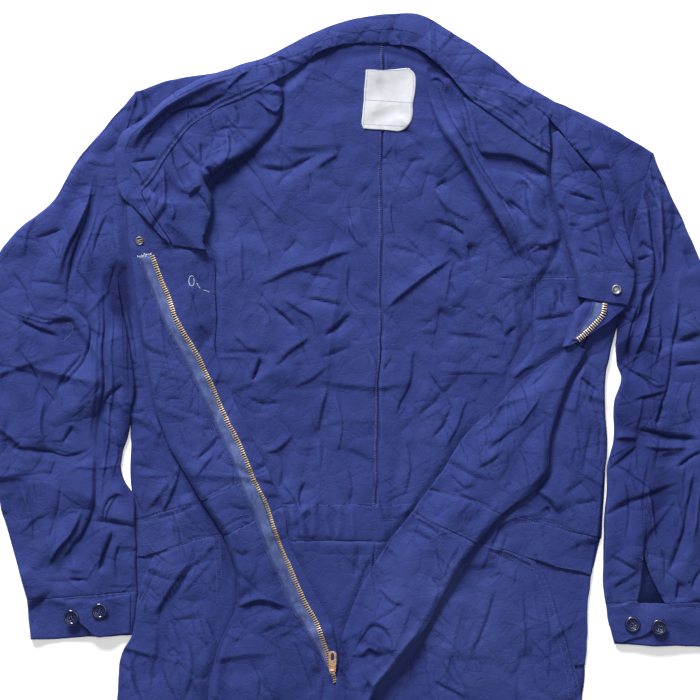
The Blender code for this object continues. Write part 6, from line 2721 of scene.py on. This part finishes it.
@dataclass
class Zip:
    """Both tapes with their brass teeth, the slider and its pull tab."""

    room: Workroom
    tape: bpy.types.Material
    brass: bpy.types.Material
    worn_brass: bpy.types.Material
    fuzz: bpy.types.Material
    width: float = TAPE_WIDTH
    pitch: float = 2.8
    wall: float = 0.6
    hinge: Point = (-59.0, -163.0, 10.5)
    pull_length: float = 23.0
    pull_width: float = 9.5
    left_widths: tuple[float, ...] = (14.0, 15.0, 13.0, 8.0)
    right_ends: tuple[float, ...] = (16.0, 10.0, 3.0)

    @staticmethod
    def along(points: Row, from_end: float) -> Plan:
        """The plan point this far back from the end of a section."""
        left = from_end
        for end, start in zip(points[::-1], points[-2::-1]):
            step = math.dist(end[:2], start[:2])
            if left <= step:
                return mix(end[:2], start[:2], left / step)
            left -= step
        return points[0][:2]

    def section(self, points: Row, underlap: float, width: float) -> Row:
        """Tape across a section, from its sewn side to its teeth."""
        shares = (1.0, 0.75, 0.5, 0.25, 0.0)
        return [(*self.along(points, underlap + width * share), 20.0) for share in shares]

    def tapes(self) -> dict[str, Surface]:
        """Sew the tapes on."""
        rows = []
        table = FRONT_RIGHT[5:] + TROUSER_RIGHT[:7]
        widths = [self.width] * (len(table) - 3) + list(self.right_ends)
        for row, width in zip(table, widths):
            top = FrontSection(row).points()[-LAST_RUN - 1 :]
            rows.append(self.section(top, row.underlap, width))
        right_on = ("front_right", "front_waistband_right", "trouser_front_right")
        left_on = ("fly_flap_left",)
        left = [
            self.section(curled_span(row), row.underlap, width)
            for row, width in zip(FLY_FLAP[3:7], self.left_widths)
        ]
        left[0] = moved(left[0], -2.5)
        made = {}
        for side, table, on in (("right", rows, right_on), ("left", left, left_on)):
            surface = fine_surface(table, 1.6, 1.2)
            self.fray(surface)
            self.room.lay(surface, on, (SHELL + self.wall) / 2 + 0.15)
            self.soften(surface)
            column = np.broadcast_to(surface.column_at, surface.points.shape[:2])
            # painted shade under the teeth at the tape's edge; the sewn side keeps the tape's own colour
            marks_and_shade = ease((column - 3.1) / 0.5) - ease((1.3 - column) / 1.3)
            self.room.sew(
                f"zip_tape_{side}", surface, None, self.tape, "zip_tape", self.wall, on, marks_and_shade
            )
            made[side] = surface
        return made

    @staticmethod
    def fray(surface: Surface) -> None:
        """Make the tape's sewn edge uneven."""
        chance = Chance(31)
        plan = surface.plan
        wander = 0.2 * chance.waves(plan, 9.0, 0) + 0.35 * chance.waves(plan, 2.1, 1)
        wander = wander.reshape(surface.points.shape[:2])
        inward = surface.points[:, 1] - surface.points[:, 0]
        inward /= np.linalg.norm(inward, axis=1)[:, None]
        for column, share in ((0, 1.0), (1, 0.6), (2, 0.25)):
            surface.points[:, column] += inward * (wander[:, column] * share)[:, None]

    @staticmethod
    def soften(surface: Surface) -> None:
        """Raise the tape where its neighbours stand higher, so it spans small dips."""
        z = surface.points[..., 2]
        for _ in range(3):
            middle = (z[:-2] + z[2:]) / 2
            z[1:-1] = np.maximum(z[1:-1], 0.5 * z[1:-1] + 0.5 * middle)

    def tooth(self) -> bpy.types.Mesh:
        """One tooth: two legs that clasp the tape's edge and a head past it."""
        profile = (
            (3.2, 0.40, 0.85),
            (1.0, 0.46, 1.1),
            (-0.8, 0.62, 1.3),
            (-2.0, 0.64, 1.1),
            (-2.6, 0.38, 0.7),
        )
        points: list[Point] = []
        faces: list[tuple[int, ...]] = []
        for x, half, height in profile:
            points += [(x, -height, -half), (x, -height, half), (x, height, half)]
            points.append((x, height, -half))
        for i in range(len(profile) - 1):
            low, high = 4 * i, 4 * (i + 1)
            for k in range(4):
                after = (k + 1) % 4
                faces.append((low + k, low + after, high + after, high + k))
        faces.append((3, 2, 1, 0))
        end = 4 * (len(profile) - 1)
        faces.append((end, end + 1, end + 2, end + 3))
        return solid_mesh("tooth", points, faces, smooth=False)

    def teeth(self, tapes: dict[str, Surface]) -> None:
        """Clamp the teeth on."""
        repeater = Repeater("teeth_along")
        for side, surface in tapes.items():
            edge = surface.points[:, -1].copy()
            if side == "left":
                edge = edge[::-1]
            edge[:, 2] += 0.6
            name = f"zip_teeth_{side}"
            piece = repeater.run(name, [edge], self.tooth(), self.pitch, self.brass, 0.07)
            fit(piece)
            sewn = surface.points[:, 0].copy()
            sewn[:, 2] += 0.3
            name = f"tape_fuzz_{side}"
            fuzz = repeater.run(name, [sewn], bead((1.3, 0.14, 0.16)), 1.1, self.fuzz, 0.6)
            fit(fuzz)

    @staticmethod
    def plate(whole: bmesh.types.BMesh, outline: tuple[Plan, ...], low: float, high: float) -> None:
        """Add a flat plate through an outline, from one height to another."""
        ring = [whole.verts.new((x * MM, y * MM, low * MM)) for x, y in outline]
        grown = bmesh.ops.extrude_face_region(whole, geom=[whole.faces.new(ring)])["geom"]
        lifted = [v for v in grown if isinstance(v, bmesh.types.BMVert)]
        bmesh.ops.translate(whole, verts=lifted, vec=(0, 0, (high - low) * MM))

    def metal(
        self, name: str, whole: bmesh.types.BMesh, node: str, body: str, bevel: float = 0.22
    ) -> None:
        """Finish solid parts as one bevelled piece that stands for a node."""
        bmesh.ops.recalc_face_normals(whole, faces=whole.faces)
        data = bpy.data.meshes.new(name)
        whole.to_mesh(data)
        whole.free()
        piece = place_object(name, data, self.worn_brass)
        edge = piece.modifiers.new("edge", "BEVEL")
        edge.width = bevel * MM
        edge.segments = 2
        edge.limit_method = "ANGLE"
        fit(piece, node, body)

    def slider(self) -> None:
        """Make the slider: a wide-shouldered body, its crown and the pull's bridge."""
        x, y, z = self.hinge
        top = z - 1.8
        outline = (
            (x - 2.6, y - 4.4), (x + 2.6, y - 4.4), (x + 3.4, y - 1.5), (x + 4.25, y + 3.6),
            (x + 3.9, y + 6.6), (x + 2.2, y + 7.4), (x + 0.9, y + 5.6), (x - 0.9, y + 5.6),
            (x - 2.2, y + 7.4), (x - 3.9, y + 6.6), (x - 4.25, y + 3.6), (x - 3.4, y - 1.5),
        )
        whole = bmesh.new()
        self.plate(whole, outline, top - 0.9, top)
        self.plate(whole, outline, top - 2.4, top - 1.5)
        middle = tuple((x + 0.45 * (px - x), y + 0.4 * (py - y)) for px, py in outline)
        self.plate(whole, middle, top - 1.6, top - 0.8)
        for side in (-1, 1):
            at = x + side * 3.3
            lug = ((at - 0.55, y - 1.5), (at + 0.55, y - 1.5), (at + 0.55, y + 1.5),
                   (at - 0.55, y + 1.5))
            self.plate(whole, lug, top - 0.4, top + 2.9)
        self.metal("slider_body", whole, "zip_slider", "garment")

    def pull(self) -> None:
        """Make the pull tab: a barrel on the hinge, a neck and a windowed plate."""
        x, y, z = self.hinge
        end, half = y + self.pull_length, self.pull_width / 2
        outer = (
            (x - 2.1, y + 1.0), (x + 2.1, y + 1.0), (x + 2.3, y + 5.0), (x + half, y + 7.4),
            (x + half, end - 2.6), (x + half - 1.0, end - 0.8), (x + half - 2.8, end),
            (x - half + 2.8, end), (x - half + 1.0, end - 0.8), (x - half, end - 2.6),
            (x - half, y + 7.4), (x - 2.3, y + 5.0),
        )
        low, high = end - 11.2, end - 2.2
        inner = (
            (x - 0.9, low), (x + 0.9, low), (x + 1.6, low + 0.8), (x + 1.9, low + 2.4),
            (x + 1.9, high - 2.4), (x + 1.3, high - 0.6), (x + 0.8, high), (x - 0.8, high),
            (x - 1.3, high - 0.6), (x - 1.9, high - 2.4), (x - 1.9, low + 2.4),
            (x - 1.6, low + 0.8),
        )
        whole = bmesh.new()
        rings = [
            [whole.verts.new((px * MM, py * MM, pz * MM)) for px, py in ring]
            for ring, pz in (
                (outer, z - 0.6), (outer, z + 0.6), (inner, z + 0.6), (inner, z - 0.6)
            )
        ]
        for here, there in zip(rings, rings[1:] + rings[:1]):
            for k in range(len(outer)):
                whole.faces.new((here[k - 1], here[k], there[k], there[k - 1]))
        bmesh.ops.create_cone(
            whole, cap_ends=True, segments=20, radius1=1.2 * MM, radius2=1.2 * MM,
            depth=4.8 * MM,
            matrix=Matrix.Translation(Vector(self.hinge) * MM) @ Matrix.Rotation(math.pi / 2, 4, "Y"),
        )
        self.metal("pull_tab", whole, "zip_pull", "pull", 0.25)

    def make(self) -> None:
        """Make the whole zip."""
        tapes = self.tapes()
        self.teeth(tapes)
        self.slider()
        self.pull()


# --------------------------------------------------------------- fastenings


def spun(
    profile: list[Plan], place: Point, steps: int = 40, pits: tuple[Plan, ...] = (),
    pit_radius: float = 1.0,
) -> tuple[list[Point], list[tuple[int, ...]]]:
    """A profile of radius, height pairs turned round a vertical axis.

    Args:
        profile: from the middle of the top, over the rim, to the middle underneath.
        place: the foot of the axis.
        steps: how many faces go round.
        pits: middles of pits in the top, from the axis.
        pit_radius: the radius of each.

    Returns:
        Points and faces.
    """
    points: list[Point] = []
    rings: list[list[int]] = []
    for radius, height in profile:
        ring = []
        for step in range(steps if radius > 1e-6 else 1):
            around = 2 * math.pi * step / steps
            x, y = radius * math.cos(around), radius * math.sin(around)
            z = height
            if height > profile[-1][1] + 0.8:
                for px, py in pits:
                    away = math.hypot(x - px, y - py) / pit_radius
                    z -= PIT_DEPTH * float(ease(1.55 - away))
            ring.append(len(points))
            points.append((place[0] + x, place[1] + y, place[2] + z))
        rings.append(ring)
    faces: list[tuple[int, ...]] = []
    for upper, lower in zip(rings[:-1], rings[1:]):
        for step in range(steps):
            after = (step + 1) % steps
            a, b = upper[step % len(upper)], upper[after % len(upper)]
            c, d = lower[after % len(lower)], lower[step % len(lower)]
            face = tuple(dict.fromkeys((a, d, c, b)))
            if len(face) > 2:
                faces.append(face)
    return points, faces


@dataclass
class Fastenings:
    """Cuff buttons and the neck snap."""

    room: Workroom
    shiny: bpy.types.Material
    thread: bpy.types.Material
    steel: bpy.types.Material
    brass: bpy.types.Material
    radius: float = 9.5
    height: float = 2.8
    hole_circle: float = 2.3
    hole_radius: float = 1.0

    BUTTONS = ((-371, -100, 18), (-337, -92, -25), (300, -108, 40), (331, -111, 5))
    SOCKET = (-289.0, 350.0)
    STUD = (280.0, 292.0)

    def button(self, number: int, x: float, y: float, angle: float) -> None:
        """Sew on one four-hole button with a raised rim."""
        name = f"cuff_button_{number}"
        foot = self.room.seat(x, y, self.radius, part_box(name)[0][2] / MM)
        r, h = self.radius, self.height
        turn_by = math.radians(angle)
        pits = tuple(
            (self.hole_circle * math.cos(a), self.hole_circle * math.sin(a))
            for a in (turn_by + math.pi / 4 + i * math.pi / 2 for i in range(4))
        )
        inner = [(i * 0.36, h - 1.15 + 0.001 * i) for i in range(15)]
        rim = [(0.60 * r, h - 1.0), (0.67 * r, h - 0.55), (0.74 * r, h - 0.12), (0.81 * r, h)]
        rim += [(0.89 * r, h - 0.16), (0.96 * r, h - 0.6), (r, h - 1.2), (0.97 * r, h - 1.8)]
        foot_ring = [(0.88 * r, 0.25), (0.6 * r, 0.0), (0.0, 0.0)]
        points, faces = spun(
            inner + rim + foot_ring, (x, y, foot), 56, pits, self.hole_radius
        )
        piece = place_object(f"button_{number}", solid_mesh(name, points, faces), self.shiny)
        fit(piece, name)
        top = foot + h - 1.15
        paths = []
        for first, second in ((0, 1), (3, 2)):
            start, end = pits[first], pits[second]
            for shift in (-0.22, 0.22):
                path = []
                for t in np.linspace(0, 1, 7):
                    px, py = mix(start, end, float(t))
                    side = shift * math.sin(math.pi * t)
                    px, py = px - side * math.sin(turn_by), py + side * math.cos(turn_by)
                    path.append((x + px, y + py, top - 0.75 + 1.1 * math.sin(math.pi * t)))
                paths.append(np.array(path))
        thread = tube_mesh("thread", paths, 0.26)
        fit(place_object(f"button_thread_{number}", thread, self.thread))

    def ring(
        self, name: str, node: str, profile: list[Plan], at: Plan, finish: bpy.types.Material
    ) -> float:
        """Press a turned metal ring on the cloth and return the height of its foot."""
        foot = self.room.seat(*at, 6.0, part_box(node)[0][2] / MM)
        points, faces = spun(profile, (*at, foot), 40)
        fit(place_object(name, solid_mesh(name, points, faces), finish), node)
        return foot

    def snaps(self) -> None:
        """Press on the socket with its S-shaped spring, and the stud."""
        socket = [
            (0.0, 0.55), (2.9, 0.5), (3.3, 0.75), (3.7, 1.35), (4.3, 1.62), (5.0, 1.35),
            (5.3, 0.8), (5.2, 0.2), (0.0, 0.2),
        ]
        foot = self.ring("neck_socket", "snap_socket", socket, self.SOCKET, self.brass)
        paths = []
        for sign in (-1, 1):
            path = []
            for t in np.linspace(-1, 1, 13):
                x = 3.3 * t
                y = sign * 1.1 + 0.75 * math.sin(math.pi * t) * 0.9
                path.append((self.SOCKET[0] + x, self.SOCKET[1] + y, foot + 1.15))
            paths.append(np.array(path))
        spring = place_object("socket_spring", tube_mesh("spring", paths, 0.34), self.steel)
        fit(spring)
        stud = [
            (0.0, 0.95), (1.1, 0.9), (1.9, 0.65), (2.9, 0.6), (3.5, 1.1), (4.2, 1.85),
            (5.0, 1.95), (5.7, 1.5), (6.0, 0.9), (5.8, 0.3), (0.0, 0.2),
        ]
        self.ring("neck_stud", "snap_stud", stud, self.STUD, self.steel)

    def make(self) -> None:
        """Fit every fastening."""
        for number, (x, y, angle) in enumerate(self.BUTTONS, start=1):
            self.button(number, x, y, angle)
        self.snaps()


@dataclass
class NeckLabel:
    """The bare woven label sewn in under the back collar."""

    room: Workroom
    finish: bpy.types.Material
    thread: bpy.types.Material
    wall: float = 0.5

    ROWS = (
        ((-22, 484), (19, 482)),
        ((-24, 490), (29, 486)),
        ((-23.5, 500), (35, 492)),
        ((-22, 520), (37.5, 515)),
        ((-20.5, 540), (40, 538)),
        ((-19.6, 550), (38, 552)),
        ((-19, 556), (32, 558)),
    )

    def make(self) -> None:
        """Sew it on."""
        rows = [[(*mix(a, b, t), 3.0) for t in (0.0, 0.5, 1.0)] for a, b in self.ROWS]
        surface = fine_surface(rows, 1.6, 1.6)
        backs = ("back_right", "back_left")
        self.room.lay(surface, backs, (SHELL + self.wall) / 2 + 0.25)
        z = surface.points[..., 2]
        under = z.copy()
        for _ in range(40):
            z[1:-1] = 0.5 * z[1:-1] + 0.25 * (z[:-2] + z[2:])
            z[:, 1:-1] = 0.5 * z[:, 1:-1] + 0.25 * (z[:, :-2] + z[:, 2:])
            z[:] = np.maximum(z, under)
        chance = Chance(41)
        z += 0.3 * (1 + chance.waves(surface.plan, 21.0, 0).reshape(z.shape))
        self.room.sew("label", surface, None, self.finish, "label", self.wall, backs)
        inset = 2.2
        lines = []
        for side, sign in ((0, 1), (1, -1)):
            path = [(row[side][0] + sign * inset, row[side][1]) for row in self.ROWS[1:]]
            lines.append(self.on_label(path))
        low, high = self.ROWS[1], self.ROWS[-1]
        lines.append(self.on_label([(low[0][0] + 3, low[0][1] + 0.5), (low[1][0] - 3, 488)]))
        lines.append(self.on_label([(high[0][0] + 3, 554), (high[1][0] - 2, 555.5)]))
        middle = [(-21.5, 519.5), (8, 518), (37, 516)]
        lines.append(self.on_label(middle))
        item = bead((0.32, 0.2, 1.0))
        piece = Repeater("label_stitch").run("label_stitches", lines, item, 2.3, self.thread)
        fit(piece)

    def on_label(self, path: list[Plan]) -> np.ndarray:
        """Points of a row of stitches on the label."""
        made = []
        for x, y in smooth_path(path, 2.0):
            height = self.room.drop(("label",), x, y)
            if height is not None:
                made.append((x, y, height + self.wall / 2 + 0.05))
        return np.array(made)


@dataclass
class LooseFibres:
    """Threads, lint and frayed ends that lie on the cloth."""

    room: Workroom
    thread: bpy.types.Material
    white: bpy.types.Material
    thickness: float = 0.3

    LINT = ((-401, 254), (-348, 74), (-102, 366), (-19, 323), (-72, 257), (186, 455), (334, 367))
    THREADS = (
        ((-377, 252), (-371, 250), (-370, 243), (-382, 230)),
        ((89, 377), (90, 368), (96, 364)),
        ((241, 486), (244, 482)),
        ((81, -117), (86, -119)),
        ((62, -118), (66, -121)),
        ((217, -106), (219, -110)),
    )
    PALE_THREADS = (
        ((-221, 300), (-219, 296), (-216.5, 293)),
        ((-213, 291.5), (-210, 291), (-206, 289)),
    )
    CURL = ((-227, 302), 3.8, 6.8)
    FRAYED = ((-291, 331.5), (-275, 334.5))

    def on_cloth(self, path: Any, step: float = 1.2) -> np.ndarray:
        """Points along a plan path, resting on whatever cloth is uppermost."""
        names = tuple(self.room.trees)
        made = []
        for x, y in smooth_path(path, step):
            height = self.room.drop(names, x, y)
            made.append((x, y, (height or 4.0) + SHELL / 2 + 0.6 * self.thickness))
        return np.array(made)

    def make(self) -> None:
        """Lay the navy threads and lint as one piece, the white ones as another."""
        rng = np.random.default_rng(9)
        paths = [self.on_cloth(path) for path in self.THREADS]
        for x, y in self.LINT:
            turned = rng.uniform(0, math.pi)
            dx, dy = 0.8 * math.cos(turned), 0.8 * math.sin(turned)
            paths.append(self.on_cloth(((x - dx, y - dy), (x + dx, y + dy)), 0.8))
        (x, y), wide, tall = self.CURL
        turn = np.linspace(0.9, 2 * math.pi + 0.7, 19)
        size = np.linspace(1.0, 0.72, 19)
        curl = np.stack([x + wide * size * np.cos(turn), y + tall * size * np.sin(turn)], -1)
        frayed = [self.on_cloth(curl)] + [self.on_cloth(path) for path in self.PALE_THREADS]
        start, end = self.FRAYED
        for share in np.linspace(0, 1, 17):
            x, y = mix(start, end, float(share))
            lean, long = rng.normal(0, 0.9), rng.uniform(0.8, 2.8)
            tip = (x + long * math.sin(lean), y + long * math.cos(lean))
            frayed.append(self.on_cloth(((x, y - 1.5), tip), 1.5))
        for name, group, finish in (
            ("loose_threads", paths, self.thread), ("frayed_end", frayed, self.white)
        ):
            threads = tube_mesh(name, group, self.thickness, 5)
            fit(place_object(name, threads, finish))


# ---------------------------------------------------------------- finishes


@dataclass(frozen=True)
class Metal:
    """Pressed metal with tarnish and fine scratches."""

    name: str
    color: Color
    dull: Color
    roughness: float = 0.34

    def make(self) -> bpy.types.Material:
        """Build the material."""
        bench = Bench(self.name)
        place = bench.object_place()
        stain = bench.noise(place, 520.0, 3.0, 0.6)
        scratch = bench.noise(bench.stretched(place, (300.0, 4200.0, 900.0)), 1.0, 2.0)
        base = bench.blend(stain.between(0.38, 0.72), self.color, self.dull)
        return bench.dress(
            Base_Color=base,
            Metallic=1.0,
            Roughness=self.roughness + 0.25 * stain,
            Normal=bench.bump(scratch + stain, 0.2, 0.0001),
        )


@dataclass(frozen=True)
class Glossy:
    """Moulded button plastic."""

    name: str
    color: Color
    light: Color

    def make(self) -> bpy.types.Material:
        """Build the material."""
        bench = Bench(self.name)
        place = bench.object_place()
        cloud = bench.noise(place, 210.0, 3.0)
        base = bench.blend(cloud.between(0.35, 0.75), self.color, self.light)
        return bench.dress(
            Base_Color=base,
            Roughness=0.1 + 0.12 * cloud,
            Normal=bench.bump(bench.noise(place, 900.0, 2.0), 0.05, 0.0001),
            Coat_Weight=0.5,
            Coat_Roughness=0.06,
        )


@dataclass(frozen=True)
class Tape:
    """Woven zip tape with ribs along it, light threads where it is rubbed, and a corded edge painted dark
    as shade under the teeth.
    """

    name: str
    color: Color
    light: Color
    shaded_cord: Color = (0.02, 0.022, 0.06, 1.0)

    def make(self) -> bpy.types.Material:
        """Build the material."""
        bench = Bench(self.name)
        at = bench.node("ShaderNodeUVMap", {"uv_map": "cloth"})
        place = bench.object_place()
        along = bench.noise(bench.stretched(at, (160.0, 9.0, 1.0)), 1.0, 3.0)
        across = bench.noise(bench.stretched(at, (30.0, 130.0, 1.0)), 1.0, 2.0)
        worn = bench.noise(place, 60.0, 4.0, 0.6)
        share = (along * 0.6 + across * 0.5 + worn * 0.9 - 0.55).between(0.1, 1.0)
        edge = bench.node("ShaderNodeAttribute", {"attribute_name": "worn"}, None, "Fac")
        base = bench.blend(share, self.color, self.light)
        # painted shade: the edge under the teeth takes the dark cord colour
        base = bench.blend(edge.between(0.1, 0.9), base, self.shaded_cord)
        ragged = (edge * -1.15 + (along - 0.5) * 1.6).between(0.0, 0.85)
        base = bench.blend(ragged, base, self.color)
        rib = (bench.axis(at, "X") * (2 * math.pi * 100 / 1.1)).sine()
        weft = (bench.axis(at, "Y") * (2 * math.pi * 100 / 0.9)).sine()
        return bench.dress(
            Base_Color=base,
            Roughness=0.9 - 0.1 * share,
            Normal=bench.bump(rib * 0.6 + weft * 0.5 + along, 0.35, 0.0003),
            Specular_IOR_Level=0.2,
            Sheen_Weight=0.15,
        )


@dataclass(frozen=True)
class LabelCloth:
    """Fine white label weave, a little soiled."""

    name: str
    color: Color
    soiled: Color

    def make(self) -> bpy.types.Material:
        """Build the material."""
        bench = Bench(self.name)
        at = bench.node("ShaderNodeUVMap", {"uv_map": "cloth"})
        place = bench.object_place()
        soil = bench.noise(place, 38.0, 4.0, 0.6)
        thread = bench.noise(bench.stretched(at, (14.0, 260.0, 1.0)), 1.0)
        share = (soil + 0.35 * thread).between(0.5, 0.95)
        pitch = 2 * math.pi * 100 / 0.5
        woven = (bench.axis(at, "X") * pitch).sine() * (bench.axis(at, "Y") * pitch).sine()
        return bench.dress(
            Base_Color=bench.blend(share, self.color, self.soiled),
            Roughness=0.8 - 0.1 * thread,
            Normal=bench.bump(woven * 0.3 + thread + soil, 0.25, 0.0003),
            Specular_IOR_Level=0.3,
        )


@dataclass(frozen=True)
class Thread:
    """Twisted sewing thread."""

    name: str
    color: Color
    light: Color

    def make(self) -> bpy.types.Material:
        """Build the material."""
        bench = Bench(self.name)
        place = bench.object_place()
        share = bench.noise(place, 340.0, 2.0)
        twist = bench.noise(place, 2600.0, 1.0)
        return bench.dress(
            Base_Color=bench.blend(share.between(0.3, 0.75), self.color, self.light),
            Roughness=0.55 + 0.2 * share,
            Normal=bench.bump(twist, 0.3, 0.0001),
            Specular_IOR_Level=0.4,
        )


@dataclass(frozen=True)
class Finishes:
    """Every finish of the garment."""

    navy: Cotton = Cotton(
        "navy_cotton",
        (0.020, 0.031, 0.155, 1.0),
        (0.046, 0.066, 0.245, 1.0),
        (0.009, 0.013, 0.080, 1.0),
    )
    tape: Tape = Tape("zip_tape_cotton", (0.03, 0.046, 0.18, 1.0), (0.155, 0.21, 0.42, 1.0))
    brass: Metal = Metal("brass_teeth", (1.0, 0.84, 0.64, 1.0), (0.62, 0.42, 0.26, 1.0), 0.42)
    slider: Metal = Metal("brass_slider", (0.72, 0.46, 0.28, 1.0), (0.4, 0.23, 0.13, 1.0), 0.3)
    snap_brass: Metal = Metal("dark_brass", (0.2, 0.18, 0.16, 1.0), (0.09, 0.08, 0.08, 1.0), 0.4)
    steel: Metal = Metal("snap_steel", (0.36, 0.37, 0.4, 1.0), (0.16, 0.17, 0.2, 1.0), 0.36)
    button: Glossy = Glossy("navy_button", (0.007, 0.01, 0.05, 1.0), (0.012, 0.018, 0.08, 1.0))
    label: LabelCloth = LabelCloth("label_cotton", (0.6, 0.615, 0.65, 1.0), (0.46, 0.47, 0.52, 1.0))
    thread: Thread = Thread("navy_thread", (0.03, 0.042, 0.16, 1.0), (0.1, 0.13, 0.36, 1.0))
    faded_thread: Thread = Thread(
        "faded_thread", (0.05, 0.07, 0.23, 1.0), (0.12, 0.15, 0.37, 1.0)
    )
    white_thread: Thread = Thread(
        "white_thread", (0.6, 0.62, 0.68, 1.0), (0.8, 0.8, 0.82, 1.0)
    )


# ------------------------------------------------------------------ studio


@dataclass
class Studio:
    """Pale floor, soft light and the camera overhead."""

    middle: Plan = (-0.038, 0.220)
    view: float = 0.84
    height: float = 2.6
    floor_z: float = -0.0004
    glow: float = 0.35

    def floor(self) -> None:
        """Lay the floor."""
        half = 3.0
        points = [(-half, -half), (half, -half), (half, half), (-half, half)]
        data = bpy.data.meshes.new("floor")
        data.from_pydata([(x, y, self.floor_z) for x, y in points], [], [(0, 1, 2, 3)])
        bench = Bench("pale_floor")
        place = bench.object_place()
        tone = bench.noise(place, 3.0, 2.0)
        base = bench.blend(tone, (0.93, 0.93, 0.93, 1.0), (0.95, 0.95, 0.95, 1.0))
        finish = bench.dress(
            Base_Color=base,
            Roughness=0.9,
            Emission_Color=(1.0, 1.0, 1.0, 1.0),
            Emission_Strength=self.glow,
        )
        place_object("floor", data, finish)

    def lamp(self, name: str, place: Point, aim: Point, size: float, power: float) -> None:
        """Hang one square soft light."""
        data = bpy.data.lights.new(name, "AREA")
        data.size = size
        data.energy = power
        lamp = bpy.data.objects.new(name, data)
        lamp.location = place
        lamp.rotation_euler = (Vector(aim) - Vector(place)).to_track_quat("-Z", "Y").to_euler()
        bpy.context.scene.collection.objects.link(lamp)

    def lights(self) -> None:
        """Hang the lights and set the room's own light."""
        x, y = self.middle
        self.lamp("key", (x - 1.4, y + 4.3, 2.4), (x, y - 0.1, 0), 1.8, 520.0)
        self.lamp("fill", (x + 0.5, y + 0.2, 3.2), (x, y, 0), 1.6, 26.0)
        world = bpy.data.worlds.new("room")
        world.use_nodes = True
        room = world.node_tree.nodes["Background"]
        room.inputs["Color"].default_value = (1.0, 1.0, 1.0, 1.0)
        room.inputs["Strength"].default_value = 0.14
        bpy.context.scene.world = world
        bpy.context.scene.view_settings.view_transform = "Standard"

    def camera(self) -> None:
        """Hang the camera straight above."""
        data = bpy.data.cameras.new("camera")
        data.sensor_width = 36.0
        data.lens = 36.0 * self.height / self.view
        data.clip_end = 20.0
        camera = bpy.data.objects.new("camera", data)
        camera.location = (*self.middle, self.height)
        bpy.context.scene.collection.objects.link(camera)
        bpy.context.scene.camera = camera

    def make(self) -> None:
        """Set up the studio."""
        self.floor()
        self.lights()
        self.camera()


def main() -> None:
    """Make the garment piece by piece, then the studio."""
    logging.basicConfig(level=logging.INFO, format="%(message)s", stream=sys.stdout)
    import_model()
    finishes = Finishes()
    made = {name: getattr(finishes, name).make() for name in finishes.__dataclass_fields__}
    room = Workroom(made["navy"])
    layers = Layers(SEAMS)
    BackBodice(room, layers).make()
    BackWaist(room, layers).make()
    Fronts(room, layers).make()
    Sleeves(room, layers).make()
    Collar(room, layers).make()
    Zip(room, made["tape"], made["brass"], made["slider"], made["faded_thread"]).make()
    Fastenings(
        room, made["button"], made["thread"], made["steel"], made["snap_brass"]
    ).make()
    NeckLabel(room, made["label"], made["thread"]).make()
    Sewing(room, SEAMS, made["thread"]).make()
    LooseFibres(room, made["faded_thread"], made["white_thread"]).make()
    LOG.info("cloth: about %d triangles", room.count)
    Studio().make()


if __name__ == "__main__":
    main()
